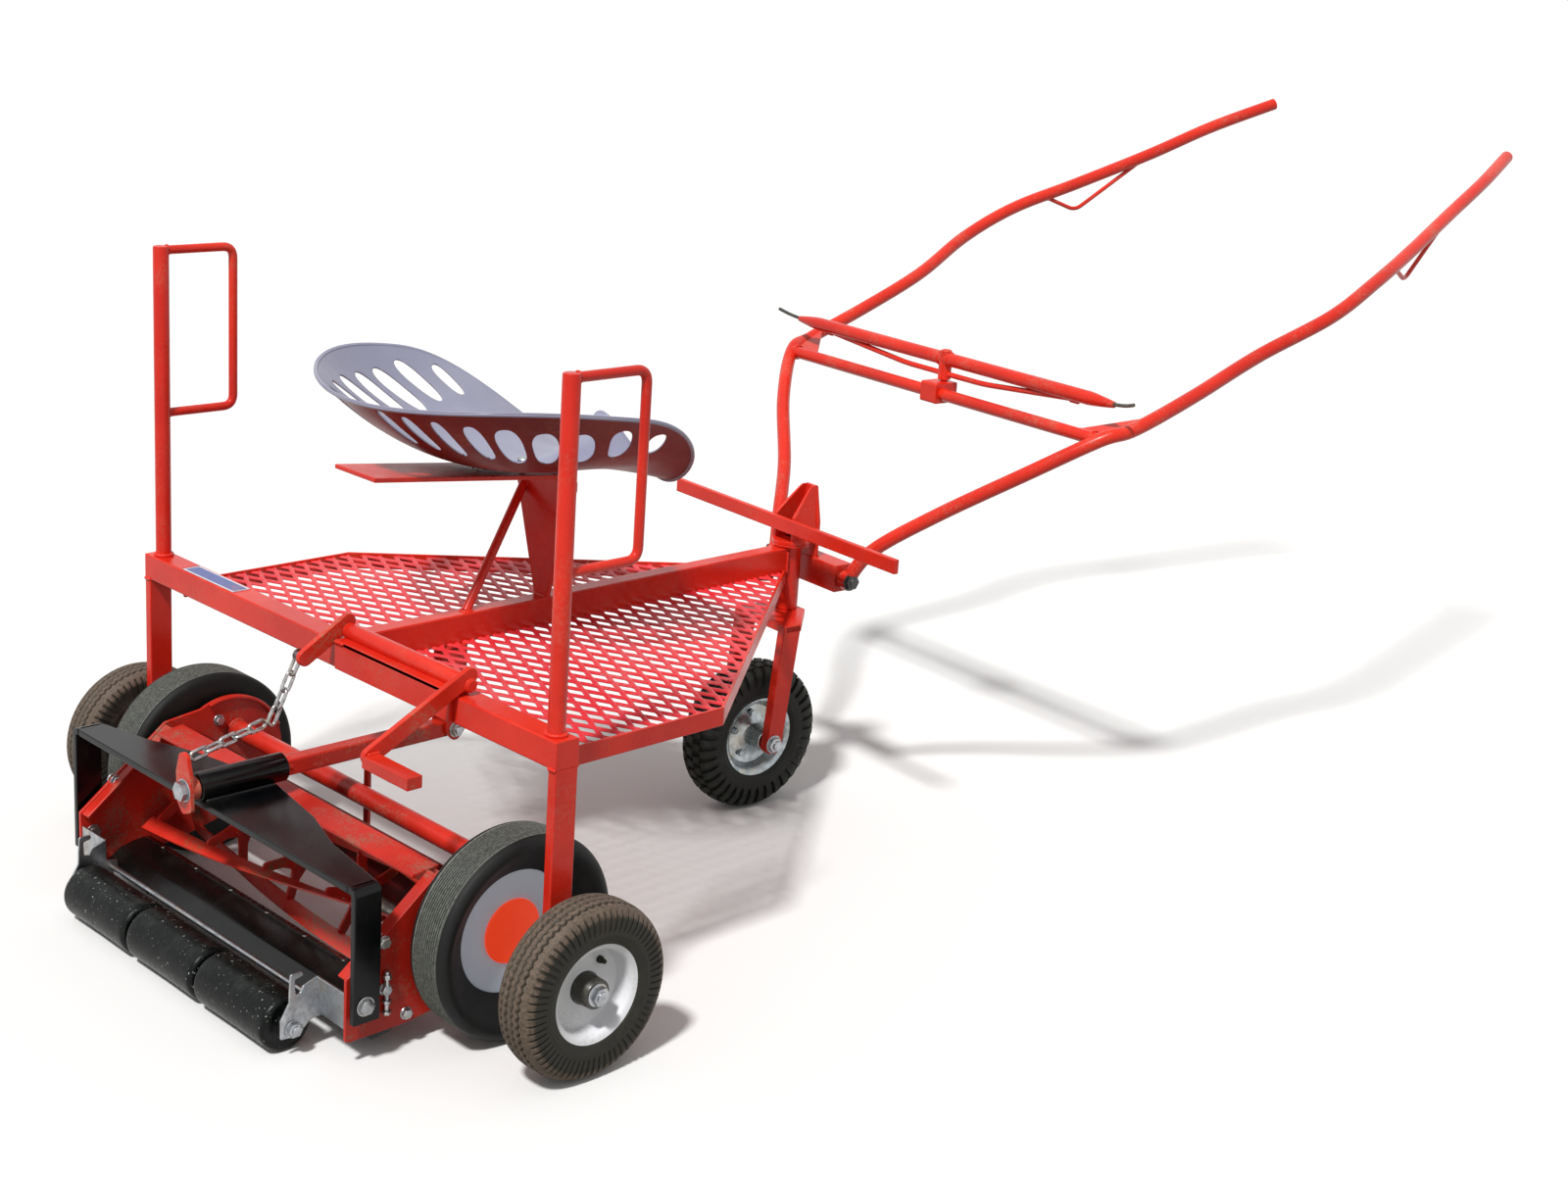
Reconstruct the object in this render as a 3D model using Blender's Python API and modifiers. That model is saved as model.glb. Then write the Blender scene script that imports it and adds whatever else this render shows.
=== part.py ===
"""Horse-drawn reel gang mower: a riding cart with shafts, a swivelling front wheel and a
towed reel mower that a lever and chain lift.

Metres, +Z up, +X forward. The rear axle, the head axis and the ground are the references the
sizes are measured from. The origin is on the ground, midway along the object.
"""
import bmesh
import bpy
from math import atan2, cos, exp, hypot, pi, radians, sin, tan
from mathutils import Matrix, Vector

# Clearances
GAP = 0.0003                # between pieces that touch
RUNNING_GAP = 0.0005        # between a shaft and the bore that turns on it
LAP = 0.001                 # how far two welded pieces run into each other
CUT_PAST = 0.02             # how far a drilled hole is carried past its walls

# Cart wheels
CART_TYRE_R = 0.113
CART_TYRE_W = 0.064
RIM_R = 0.0605
POST_TO_WHEEL = 0.046       # from the crossbeam's end to each wheel's middle plane
HUB_HALF = 0.027
AXLE_R = 0.0078
AXLE_PAST_HUB = 0.012       # how far each stub axle stands out of its wheel
AXLE_COLLAR_R = 0.012
AXLE_NUT_R = 0.0125         # all nuts and heads are measured to their corners
AXLE_NUT_LONG = 0.009
CART_TYRE_LIP = 0.008       # from the tyre's widest plane back to its rim's lip
CART_HUB_R = 0.020
WEB_SHIFT = 0.004           # the web of each rim stands this far off the middle plane

# Cart frame
BEAM_TOP = 0.4125
CROSSBEAM_DEPTH = 0.0348    # along X
CROSSBEAM_TALL = 0.036
CROSSBEAM_HALF = 0.462
POST_THICK = 0.014
POST_BELOW_AXLE = 0.018
CENTRE_BEAM_W = 0.026
CENTRE_BEAM_TALL = 0.041
HEAD_X = 0.839              # head axis, from the rear axle
HEAD_TUBE_R = 0.0172
HEAD_TUBE_TALL = 0.104
PIN_R = 0.0100

# Handrails
RAIL_INSET = 0.022          # from the crossbeam's end
RAIL_R = 0.011
RAIL_TOPS = {"left": 0.857, "right": 0.846}
LOOP_R = 0.0063
LOOP_REACH = 0.114
LOOP_TALL = 0.236
LOOP_CORNER = 0.016

# Platform
PLATFORM_TOP = 0.378
PLATFORM_HALF = 0.416
PLATFORM_SIDE = 0.300       # how far forward the side rails run
PLATFORM_NOSE_X = 0.790
PLATFORM_NOSE_HALF = 0.035
RAIL_TALL = 0.025
RAIL_THICK = 0.004
MESH_THICK = 0.003
MESH_DROP = 0.003           # mesh top below the rail top
DIAMOND_PITCH_X = 0.062
DIAMOND_PITCH_Y = 0.120
DIAMOND_STRAND = 0.014

# Seat
SEAT_X = 0.300              # lowest point of the pan
SEAT_LOW = 0.609
SEAT_MIDDLE_X = 0.274       # centre of the rim's ellipse
SEAT_HALF_LONG = 0.263
SEAT_HALF = 0.267
SEAT_FRONT_SHORT = 0.2      # share by which the front half of the ellipse is shorter
SEAT_RIM_Z = 0.7275         # rim at its sides, and how it rises and falls towards the rear
SEAT_RIM_WAVE = (0.044, -0.023, -0.0215)
SEAT_LOBE_DROP = 0.119      # how far the thigh lobes droop in front
SEAT_NOTCH = 0.050          # how far the rim steps back between the two lobes
SEAT_POMMEL = 0.105         # how far it rises there
SEAT_POMMEL_SPREAD = 0.22
SEAT_SKIN = 0.003
SEAT_SECTORS = 40
SEAT_RINGS = (0.18, 0.40, 0.56, 0.62, 0.86, 0.95, 1.0)
SEAT_BOWL = 2.3             # power of the bowl's curve from its lowest point to its rim
STAND_X = 0.338
STAND_THICK = 0.008
STAND_TOP_HALF = 0.062
SEAT_PLATE_W = 0.088
SEAT_PLATE_THICK = 0.006
SEAT_PLATE_REAR = 0.018
SEAT_PLATE_FRONT = 0.352
SEAT_PLATE_SLOPE = radians(6.3)
SEAT_BED = 0.0065           # from the plate to the pan at its lowest
SEAT_BOLTS = (("rear_seat_bolt", 0.212), ("front_seat_bolt", 0.296))
SEAT_BOLT_R = 0.004
BRACE_R = 0.0065
BRACE_FOOT_X = 0.204
BRACE_TOP_Y = 0.042

# Lift lever and its bracket
LEVER_X = 0.0
LEVER_Z = 0.4255
LEVER_SLEEVE_R = 0.011
LEVER_ROD_R = 0.0075
LEVER_NEAR_Y = -0.276       # outer faces of the lever's two arms
LEVER_FAR_Y = -0.011
ARM_THICK = 0.008
ARM_TALL = 0.022
ARM_RISE = 0.0115           # the arms are welded above the rod, clear of the crossbeam
CHAIN_ARM_X = -0.065
CHAIN_ARM_Z = 0.399
PEDAL_X = -0.145
PEDAL_Z = 0.359
PEDAL_LONG = 0.086
PEDAL_HALF_W = 0.011
PEDAL_HALF_TALL = 0.008
BRACKET_THICK = 0.006
BRACKET_SHORT = 0.002       # how much the bracket is shorter than its sleeve at each end
CHAIN_OUT = 0.0085          # from the lever's arm to the chain's plane
CHAIN_PIN_R = 0.0045
CHAIN_PIN_END = 0.006

# Draft tube, hitch and yoke
DRAFT_X = 0.180             # pivot under the centre beam
DRAFT_Z = 0.250
DRAFT_TUBE_W = 0.022
DRAFT_BOLT_R = 0.006
DRAFT_BOLT_END = 0.010
DRAFT_HEAD_R = 0.010
DRAFT_HEAD_LONG = 0.006
DRAFT_NUT_LONG = 0.007
CHEEK_HALF = 0.016          # half the length of the cheeks, and their reach below the bolt
CHEEK_THICK = 0.005
CHEEK_CLEAR = 0.001         # between the tube and each cheek
SPINDLE_R = 0.012
SLEEVE_R = 0.019
SLEEVE_FRONT = -0.088
SLEEVE_REAR = -0.214
HITCH_REAR = -0.231
HITCH_THICK = 0.006
HITCH_TOP = 0.300
HITCH_FOOT = ((-0.014, 0.020), (-0.016, -0.026), (0.004, -0.034), (0.018, -0.020), (0.020, 0.020))
HITCH_HEAD = ((0.012, -0.004), (0.004, 0.0), (-0.006, -0.004))
HITCH_NUT_R = 0.013
HITCH_NUT_LONG = 0.010
CHAIN_BELOW_TOP = 0.007     # from the hitch plate's top down to the chain's last link
SPINDLE_COLLAR = 0.003      # how far the spindle's collar stands out of it
STRAP_X = 0.057
STRAP_THICK = 0.006
STRAP_HALF_W = 0.005
STRAP_Y = 0.0145             # the strap is welded to the tube's left side
STRAP_LONG = 0.129
SADDLE_THICK = 0.009
YOKE_HALF = 0.330           # outer face of the yoke's legs
YOKE_BAR_W = 0.038
YOKE_THICK = 0.008
YOKE_PIVOT_X = -0.197
YOKE_PIVOT_Z = 0.082
YOKE_BOLT_R = 0.006
YOKE_HEAD_R = 0.011
YOKE_NUT_R = 0.010
YOKE_NUT_LONG = 0.006
YOKE_LEG_BELOW = 0.022      # from the bolt down to the leg's end
YOKE_WAIST = ((-0.018, 0.017), (-0.040, 0.135), (-0.068, 0.215))   # from the sleeve's front
SADDLE_SINK = 0.004         # how far the saddle plate is let into the sleeve

# Chain
LINK_WIRE_R = 0.0024
LINK_LONG = 0.026           # between the centre lines of a link's two ends
LINK_HALF = 0.0056          # half width at the wire's centre line
LINK_BITE = 0.0010          # how far linked wires are drawn into each other
CHAIN_BEND_X = -0.108
CHAIN_BEND_Z = 0.312
CHAIN_LAP = 0.0115          # across, between the two runs where the real chain bends

# Mower, measured from its own middle plane
MOWER_SHIFT = -0.016        # its middle plane from the cart's
MOWER_TYRE_R = 0.134
MOWER_TYRE_W = 0.067
MOWER_DISC_R = 0.081
MOWER_DISC_INSET = 0.030
MOWER_RED_R = 0.042
MOWER_FACE_Y = 0.391        # outer face of the drive wheels
SIDE_PLATE_Y = 0.316        # outer face of the side plates
SIDE_PLATE_THICK = 0.005
FLANGE = 0.016
SIDE_TAIL = ((-0.215, 0.032), (-0.215, 0.115), (-0.084, 0.219))
SIDE_TOE = ((0.060, 0.070), (-0.060, 0.040), (-0.130, 0.032))
SIDE_NOSE_AT = (0.016, 0.150)
SIDE_NOSE_R = 0.088
SIDE_LIP = ((-0.213, 0.113), (-0.084, 0.216), (-0.082, 0.212), (-0.210, 0.109))
MOWER_AXLE_R = 0.0100
MOWER_AXLE_SHORT = 0.012    # from the drive disc's face back to its axle's end
CROSS_TUBE_X = 0.030
CROSS_TUBE_Z = 0.186
CROSS_TUBE_R = 0.0135
TOP_BAR_X = -0.085
TOP_BAR_Z = 0.213
TOP_BAR_SHAPE = ((-0.022, -0.004), (0.018, 0.0), (0.018, 0.005), (-0.022, 0.001))
REEL_X = -0.068
REEL_Z = 0.122
REEL_R = 0.077
REEL_BLADES = 5
KNIFE_GAP = 0.0012
KNIFE_ANGLE = radians(-125)
KNIFE_SHAPE = ((0, 0), (-0.001, -0.004), (-0.010, -0.018), (-0.034, -0.022), (-0.036, -0.014),
               (-0.016, -0.008), (-0.008, 0))
REEL_TWIST = radians(72)
BLADE_THICK = 0.003
BLADE_DEEP = 0.022
SPIDERS = 5
ROLLER_X = -0.246
ROLLER_R = 0.036
ROLLER_HALF = 0.240
ROLLER_SPACE = 0.006
ROLLER_SHAFT_R = 0.006
ROLLER_SHAFT_END = 0.010
ROLLER_NUT_R = 0.010
ROLLER_NUT_LONG = 0.008
HOOK_SHAPE = (              # the bracket's plate: a foot under the shaft and a hook above it
    (-0.264, 0.026), (-0.240, 0.024), (-0.222, 0.040), (-0.194, 0.044), (-0.194, 0.062),
    (-0.2105, 0.066), (-0.2105, 0.096), (-0.232, 0.088), (-0.236, 0.080), (-0.243, 0.080),
    (-0.244, 0.100), (-0.233, 0.102), (-0.233, 0.108), (-0.250, 0.108), (-0.252, 0.070),
    (-0.264, 0.050))
HOOK_THICK = 0.003
HOOK_SPACE = 0.010          # between the roller's end and the hook plate
WEB_X = (-0.2135, -0.2098)
WEB_Z = (0.048, 0.0955)
TAB_X = (-0.2120, -0.185)
TAB_Z = (0.046, 0.066)
TAB_THICK = 0.003
TIE_AT = (-0.202, 0.053)
TIE_R = 0.0045

# Front end, measured from the head axis
FRONT_YAW = radians(-5.5)   # the front is steered a little, as the object stands
FRONT_TYRE_R = 0.1188
FRONT_TYRE_W = 0.0605
FRONT_TRAIL = 0.075
FORK_LEG_Y = {"left": 0.035, "right": 0.072}  # middle of each fork leg, from the head axis
FORK_LEG_THICK = 0.016
FORK_LEG_WIDE = 0.033
FORK_CROWN_THICK = 0.012
FORK_TOP_X = -0.052
TURNTABLE_R = 0.030
TURNTABLE_THICK = 0.006
TOWER_HALF = 0.024
TOWER_TOP = 0.506
HINGE_X = 0.045
HINGE_Z = 0.371
HINGE_BOLT_R = 0.008
HINGE_BOX_HALF = 0.075
FOOT_BAR_HALF = 0.265
FOOT_BAR_Z = 0.449
FOOT_BAR_THICK = 0.009

# Shafts, measured from the head axis
SHAFT_R = 0.011
SHAFT_END_Y = 0.088
EYE_HALF = 0.0075
SHAFT_TWIST = 0.019         # how far the left tip stands up, and the right one down
LOOP_DROP = 0.050
LOOP_NEAR = 19              # point of the shaft's line where a strap loop starts
CROSSBAR_X = 0.284
CROSSBAR_Z = 0.633
CROSSBAR_HALF = 0.361
CROSSBAR_R = 0.010
TREE_X = 0.302
TREE_Z = 0.687
TREE_HALF = 0.366
TREE_R = 0.011
TREE_PIN_R = 0.006
SHAFT_LINE = (               # centre line of the left shaft from its hinge to its tip
    (HINGE_X, SHAFT_END_Y, HINGE_Z), (0.070, 0.115, 0.424), (0.132, 0.183, 0.489),
    (0.208, 0.286, 0.570), (CROSSBAR_X, CROSSBAR_HALF, CROSSBAR_Z), (0.340, 0.379, 0.649),
    (0.460, 0.385, 0.691), (0.600, 0.391, 0.747), (0.735, 0.418, 0.806),
    (0.850, 0.411, 0.856), (0.980, 0.381, 0.900), (1.135, 0.341, 0.955),
    (1.271, 0.308, 1.006), (1.399, 0.265, 1.049))

# Values that follow from the ones above
CART_WHEEL_Y = CROSSBEAM_HALF + POST_TO_WHEEL
RAIL_Y = CROSSBEAM_HALF - RAIL_INSET
BEAM_LOW = BEAM_TOP - CROSSBEAM_TALL
CROSS_HALF_X = CROSSBEAM_DEPTH / 2
HEAD_LOW = BEAM_TOP + 0.0015 - HEAD_TUBE_TALL
REAR_REACH = -ROLLER_X + ROLLER_R
FRONT_REACH = (HEAD_X + SHAFT_LINE[-1][0] * cos(FRONT_YAW)
               + SHAFT_LINE[-1][1] * sin(abs(FRONT_YAW)))
MIDDLE_X = (FRONT_REACH - REAR_REACH) / 2

for leftover in list(bpy.data.objects):
    bpy.data.objects.remove(leftover, do_unlink=True)

PARTS = bpy.data.collections.new("reel_gang_mower")
CUTTERS = bpy.data.collections.new("cutters")
for collection in (PARTS, CUTTERS):
    bpy.context.scene.collection.children.link(collection)


def finish_of(name, colour, roughness, metallic=0.0):
    """A plain Principled material."""
    made = bpy.data.materials.new(name)
    made.use_nodes = True
    shader = made.node_tree.nodes["Principled BSDF"]
    shader.inputs["Base Color"].default_value = (*colour, 1)
    shader.inputs["Roughness"].default_value = roughness
    shader.inputs["Metallic"].default_value = metallic
    return made


RED = finish_of("red_enamel", (0.72, 0.045, 0.018), 0.3)
BLACK = finish_of("black_enamel", (0.012, 0.012, 0.013), 0.35)
ZINC = finish_of("zinc_plate", (0.62, 0.64, 0.66), 0.35, 1.0)
SILVER = finish_of("silver_enamel", (0.56, 0.57, 0.62), 0.4, 0.3)
RUBBER = finish_of("tyre_rubber", (0.025, 0.024, 0.022), 0.85)
WHITE = finish_of("white_enamel", (0.78, 0.78, 0.76), 0.35)
GREY = finish_of("grey_enamel", (0.30, 0.32, 0.34), 0.45)
STEEL = finish_of("bare_steel", (0.42, 0.42, 0.43), 0.4, 1.0)


def put(piece, material):
    """Link a new object among the parts with its material."""
    for holder in list(piece.users_collection):
        holder.objects.unlink(piece)
    PARTS.objects.link(piece)
    piece.data.materials.clear()
    piece.data.materials.append(material)
    return piece


def mesh_piece(name, build, material, smooth=False):
    """An object whose mesh is made by a function that fills a bmesh."""
    shape = bmesh.new()
    build(shape)
    mesh = bpy.data.meshes.new(name)
    shape.to_mesh(mesh)
    shape.free()
    if smooth:
        mesh.shade_smooth()
        mesh.set_sharp_from_angle(angle=radians(35))
    return put(bpy.data.objects.new(name, mesh), material)


def box(name, low, high, material):
    """A block between two corners."""
    low, high = Vector(low), Vector(high)
    size = high - low

    def build(shape):
        bmesh.ops.create_cube(shape, size=1.0, matrix=Matrix.Diagonal((*size, 1)))
    piece = mesh_piece(name, build, material)
    piece.location = (low + high) / 2
    return piece


def rod(name, start, end, radius, material, sides=16, end_radius=None):
    """A round bar between two points, tapered if an end radius is given."""
    start, end = Vector(start), Vector(end)
    run = end - start
    tip = radius if end_radius is None else end_radius

    def build(shape):
        bmesh.ops.create_cone(shape, cap_ends=True, segments=sides, radius1=radius,
                              radius2=tip, depth=run.length)
    piece = mesh_piece(name, build, material, smooth=True)
    piece.location = (start + end) / 2
    piece.rotation_euler = run.to_track_quat("Z", "Y").to_euler()
    return piece


def bent_rod(name, points, radius, material, closed=False, sides_level=2):
    """Round wire or tube along a line of points."""
    curve = bpy.data.curves.new(name, "CURVE")
    curve.dimensions = "3D"
    curve.bevel_depth = radius
    curve.bevel_resolution = sides_level
    curve.use_fill_caps = not closed
    line = curve.splines.new("POLY")
    line.points.add(len(points) - 1)
    for spot, point in zip(line.points, points):
        spot.co = (*point, 1)
    line.use_cyclic_u = closed
    return put(bpy.data.objects.new(name, curve), material)


def flat(name, outline, low, high, plane, material, holes=()):
    """A plate cut to an outline in the XZ, XY or YZ plane, from low to high across it."""
    curve = bpy.data.curves.new(name, "CURVE")
    curve.dimensions = "2D"
    curve.fill_mode = "BOTH"
    curve.extrude = abs(high - low) / 2
    for loop in (outline, *holes):
        line = curve.splines.new("POLY")
        line.points.add(len(loop) - 1)
        for spot, point in zip(line.points, loop):
            spot.co = (*point, 0, 1)
        line.use_cyclic_u = True
    piece = put(bpy.data.objects.new(name, curve), material)
    across = (low + high) / 2
    turns = {"XZ": (pi / 2, 0, 0), "XY": (0, 0, 0), "YZ": (pi / 2, 0, pi / 2)}
    places = {"XZ": (0, across, 0), "XY": (0, 0, across), "YZ": (across, 0, 0)}
    piece.rotation_euler = turns[plane]
    piece.location = places[plane]
    return piece


def turned(name, profile, centre, material, along="Y", steps=28):
    """A closed profile of (radius, height) points spun about an axis through the centre."""
    mesh = bpy.data.meshes.new(name)
    points = [(radius, 0, height) for radius, height in profile]
    edges = [(i, (i + 1) % len(points)) for i in range(len(points))]
    mesh.from_pydata(points, edges, [])
    piece = put(bpy.data.objects.new(name, mesh), material)
    spin = piece.modifiers.new("spin", "SCREW")
    spin.steps = steps
    spin.render_steps = steps
    spin.use_merge_vertices = True
    spin.merge_threshold = 0.00001
    spin.use_smooth_shade = True
    piece.location = centre
    piece.rotation_euler = {"Y": (-pi / 2, 0, 0), "X": (0, pi / 2, 0), "Z": (0, 0, 0)}[along]
    return piece


def ring_profile(inner, outer, low, high):
    """Profile of a plain ring, outer side first."""
    return [(inner, high), (outer, high), (outer, low), (inner, low)]


def as_mesh(piece):
    """The same piece as a welded mesh with its modifiers applied."""
    depsgraph = bpy.context.evaluated_depsgraph_get()
    mesh = bpy.data.meshes.new_from_object(piece.evaluated_get(depsgraph))
    weld = bmesh.new()
    weld.from_mesh(mesh)
    bmesh.ops.remove_doubles(weld, verts=weld.verts, dist=0.00001)
    bmesh.ops.recalc_face_normals(weld, faces=weld.faces)
    weld.to_mesh(mesh)
    weld.free()
    name, place, material = piece.name, piece.matrix_world.copy(), piece.data.materials[0]
    bpy.data.objects.remove(piece, do_unlink=True)
    made = put(bpy.data.objects.new(name, mesh), material)
    made.matrix_world = place
    return made


def combine(pieces, operation="UNION"):
    """Join the later pieces to the first, or cut them from it."""
    bpy.context.view_layer.update()
    solids = [as_mesh(piece) for piece in pieces]
    bpy.context.view_layer.update()
    first = solids[0]
    for number, other in enumerate(solids[1:]):
        PARTS.objects.unlink(other)
        CUTTERS.objects.link(other)
        other.name = f"{first.name}_tool_{number}"
        other.hide_render = True
        other.display_type = "WIRE"
        step = first.modifiers.new(f"step_{number}", "BOOLEAN")
        step.operation = operation
        step.solver = "EXACT"
        step.object = other
    bpy.context.view_layer.update()
    made = as_mesh(first)
    for other in solids[1:]:
        bpy.data.objects.remove(other, do_unlink=True)
    return made


def body(name, point, parent=None, place=None, turn=0.0):
    """An empty on a moving group's axis. The point is given as its pieces are drawn."""
    empty = bpy.data.objects.new(name, None)
    PARTS.objects.link(empty)
    empty["point"] = list(point)
    empty.parent = parent
    if place is None and parent:
        place = Vector(point) - Vector(parent["point"])
    empty.location = place or point
    empty.rotation_euler.z = turn
    return empty


def fix(holder, *pieces):
    """Hang pieces on the body that carries them."""
    for piece in pieces:
        piece.location -= Vector(holder["point"])
        piece.parent = holder


def smooth_line(points, steps):
    """A Catmull-Rom curve through the points."""
    knots = [Vector(p) for p in (points[0], *points, points[-1])]
    line = []
    for a, b, c, d in zip(knots, knots[1:], knots[2:], knots[3:]):
        for step in range(steps):
            t = step / steps
            line.append(0.5 * (2 * b + (c - a) * t + (2 * a - 5 * b + 4 * c - d) * t * t
                               + (3 * b - a - 3 * c + d) * t * t * t))
    return [tuple(p) for p in (*line, knots[-1])]


def arc(centre, radius, start, end, steps):
    """Points on a circular arc, angles in degrees."""
    angles = [radians(start + (end - start) * i / steps) for i in range(steps + 1)]
    return [(centre[0] + radius * cos(a), centre[1] + radius * sin(a)) for a in angles]


SIDES = (("left", 1), ("right", -1))

cart = body("cart", (0, 0, 0), place=(-MIDDLE_X, 0, 0))


def tyre_profile(tyre_r, width, bead_r, lip):
    """Section of a pneumatic tyre: flat bore, bulging walls and a crowned tread."""
    half = width / 2
    wall = (bead_r + tyre_r) / 2
    side = [(bead_r, half - lip), (bead_r + 0.003, half - lip), (bead_r + 0.010, half - 0.002),
            (wall, half),
            (tyre_r - 0.008, half - 0.004), (tyre_r, half - 0.016)]
    return side + [(r, -y) for r, y in reversed(side)]


def rim_profile(lip, half, bore, hub_r, hub_half, web):
    """Section of a pressed rim: hub, web and barrel with a lip at each edge."""
    seat = RIM_R - 0.0006
    barrel = seat - 0.0035
    lip_r = RIM_R + 0.0022
    edge = half - lip + 0.0006
    out = edge + 0.003
    return [(bore, hub_half), (hub_r, hub_half), (hub_r, web + 0.0015), (barrel - 0.004, web + 0.0015),
            (barrel, out), (lip_r, out), (lip_r, edge), (seat, edge), (seat, -edge),
            (lip_r, -edge), (lip_r, -out), (barrel, -out), (barrel - 0.001, web - 0.0015),
            (hub_r, web - 0.0015), (hub_r, -hub_half), (bore, -hub_half)]


def cart_wheels():
    """Two pneumatic wheels that turn on the posts' stub axles."""
    for side, sign in SIDES:
        centre = (0, sign * CART_WHEEL_Y, CART_TYRE_R)
        wheel = body(f"{side}_cart_wheel", centre, cart)
        tyre = turned(f"{side}_cart_tyre",
                      tyre_profile(CART_TYRE_R, CART_TYRE_W, RIM_R, CART_TYRE_LIP), centre,
                      RUBBER)
        rim = turned(f"{side}_cart_rim",
                     rim_profile(CART_TYRE_LIP, CART_TYRE_W / 2, AXLE_R + RUNNING_GAP, CART_HUB_R,
                                 HUB_HALF, sign * -WEB_SHIFT), centre, WHITE, steps=24)
        fix(wheel, tyre, rim)


def frame():
    """Crossbeam, posts with their welded stub axles, centre beam and head tube."""
    crossbeam = box("crossbeam", (-CROSS_HALF_X, -CROSSBEAM_HALF, BEAM_LOW),
                    (CROSS_HALF_X, CROSSBEAM_HALF, BEAM_TOP), RED)
    fix(cart, crossbeam)
    inner = CART_WHEEL_Y - HUB_HALF - RUNNING_GAP
    outer = CART_WHEEL_Y + HUB_HALF + RUNNING_GAP
    for side, sign in SIDES:
        faces = sorted((sign * CROSSBEAM_HALF, sign * (CROSSBEAM_HALF - POST_THICK)))
        post = box(f"{side}_post", (-CROSS_HALF_X, faces[0], CART_TYRE_R - POST_BELOW_AXLE),
                   (CROSS_HALF_X, faces[1], BEAM_LOW - GAP), RED)
        root = sign * (CROSSBEAM_HALF - POST_THICK / 2)
        axle = rod("axle", (0, root, CART_TYRE_R),
                   (0, sign * (outer + AXLE_PAST_HUB), CART_TYRE_R), AXLE_R, ZINC)
        collar = rod("collar", (0, root, CART_TYRE_R), (0, sign * inner, CART_TYRE_R),
                     AXLE_COLLAR_R, ZINC)
        nut = rod("nut", (0, sign * outer, CART_TYRE_R),
                  (0, sign * (outer + AXLE_NUT_LONG), CART_TYRE_R), AXLE_NUT_R, ZINC, sides=6)
        fix(cart, combine([post, axle, collar, nut]))
    fix(cart, box("centre_beam",
                  (CROSS_HALF_X + GAP, -CENTRE_BEAM_W / 2, BEAM_TOP - CENTRE_BEAM_TALL),
                  (HEAD_X - HEAD_TUBE_R - GAP, CENTRE_BEAM_W / 2, BEAM_TOP), RED))
    bore = PIN_R + GAP
    top = HEAD_LOW + HEAD_TUBE_TALL
    profile = [(bore, top + 0.003), (TURNTABLE_R, top + 0.003), (TURNTABLE_R, top),
               (HEAD_TUBE_R, top), (HEAD_TUBE_R, HEAD_LOW), (bore, HEAD_LOW)]
    fix(cart, turned("head_tube", profile, (HEAD_X, 0, 0), RED, along="Z", steps=24))


def handrails():
    """An upright tube with a rod loop on its front at each rear corner."""
    corner_x = LOOP_REACH - LOOP_CORNER
    for side, sign in SIDES:
        y = sign * RAIL_Y
        high = RAIL_TOPS[side] - LOOP_R
        low = high - LOOP_TALL + LOOP_R
        bend = arc((corner_x, high - LOOP_CORNER), LOOP_CORNER, 90, 0, 5)
        bend += arc((corner_x, low + LOOP_CORNER), LOOP_CORNER, 0, -90, 5)
        line = [(0, y, high)] + [(x, y, z) for x, z in bend] + [(0, y, low)]
        upright = rod(f"{side}_handrail", (0, y, BEAM_TOP + GAP), (0, y, RAIL_TOPS[side]),
                      RAIL_R, RED)
        fix(cart, combine([upright, bent_rod("loop", line, LOOP_R, RED)]))


def platform_corners(inset):
    """Plan of the left panel's edge, moved in from the rails' outer face."""
    run_x = PLATFORM_NOSE_X - PLATFORM_SIDE
    run_y = PLATFORM_HALF - PLATFORM_NOSE_HALF
    long = hypot(run_x, run_y)
    side_y = PLATFORM_HALF - inset
    shift = inset * (long - run_x) / run_y
    corner = (PLATFORM_SIDE - shift, side_y)
    nose_y = CENTRE_BEAM_W / 2 + GAP
    drop = inset * long / run_x
    nose_x = PLATFORM_SIDE + (PLATFORM_HALF - drop - nose_y) * run_x / run_y
    return corner, (nose_x, nose_y)


def platform():
    """Flat-bar rails round an expanded-metal panel on each side of the centre beam."""
    start = CROSS_HALF_X + GAP
    mesh_top = PLATFORM_TOP - MESH_DROP
    for side, sign in SIDES:
        outer = platform_corners(0)
        inner = platform_corners(RAIL_THICK)
        line = [(start, PLATFORM_HALF), outer[0], outer[1], inner[1], inner[0],
                (start, PLATFORM_HALF - RAIL_THICK)]
        fix(cart, flat(f"{side}_platform_rail", [(x, sign * y) for x, y in line],
                       PLATFORM_TOP - RAIL_TALL, PLATFORM_TOP, "XY", RED))
        edge = platform_corners(RAIL_THICK + GAP)
        beam_y = CENTRE_BEAM_W / 2 + GAP
        panel = [(start, beam_y), edge[1], edge[0], (start, PLATFORM_HALF - RAIL_THICK - GAP)]
        holes = [[(x, sign * y) for x, y in hole] for hole in diamonds(start, beam_y, edge)]
        fix(cart, flat(f"{side}_platform_mesh", [(x, sign * y) for x, y in panel],
                       mesh_top - MESH_THICK, mesh_top, "XY", RED, holes))


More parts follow.
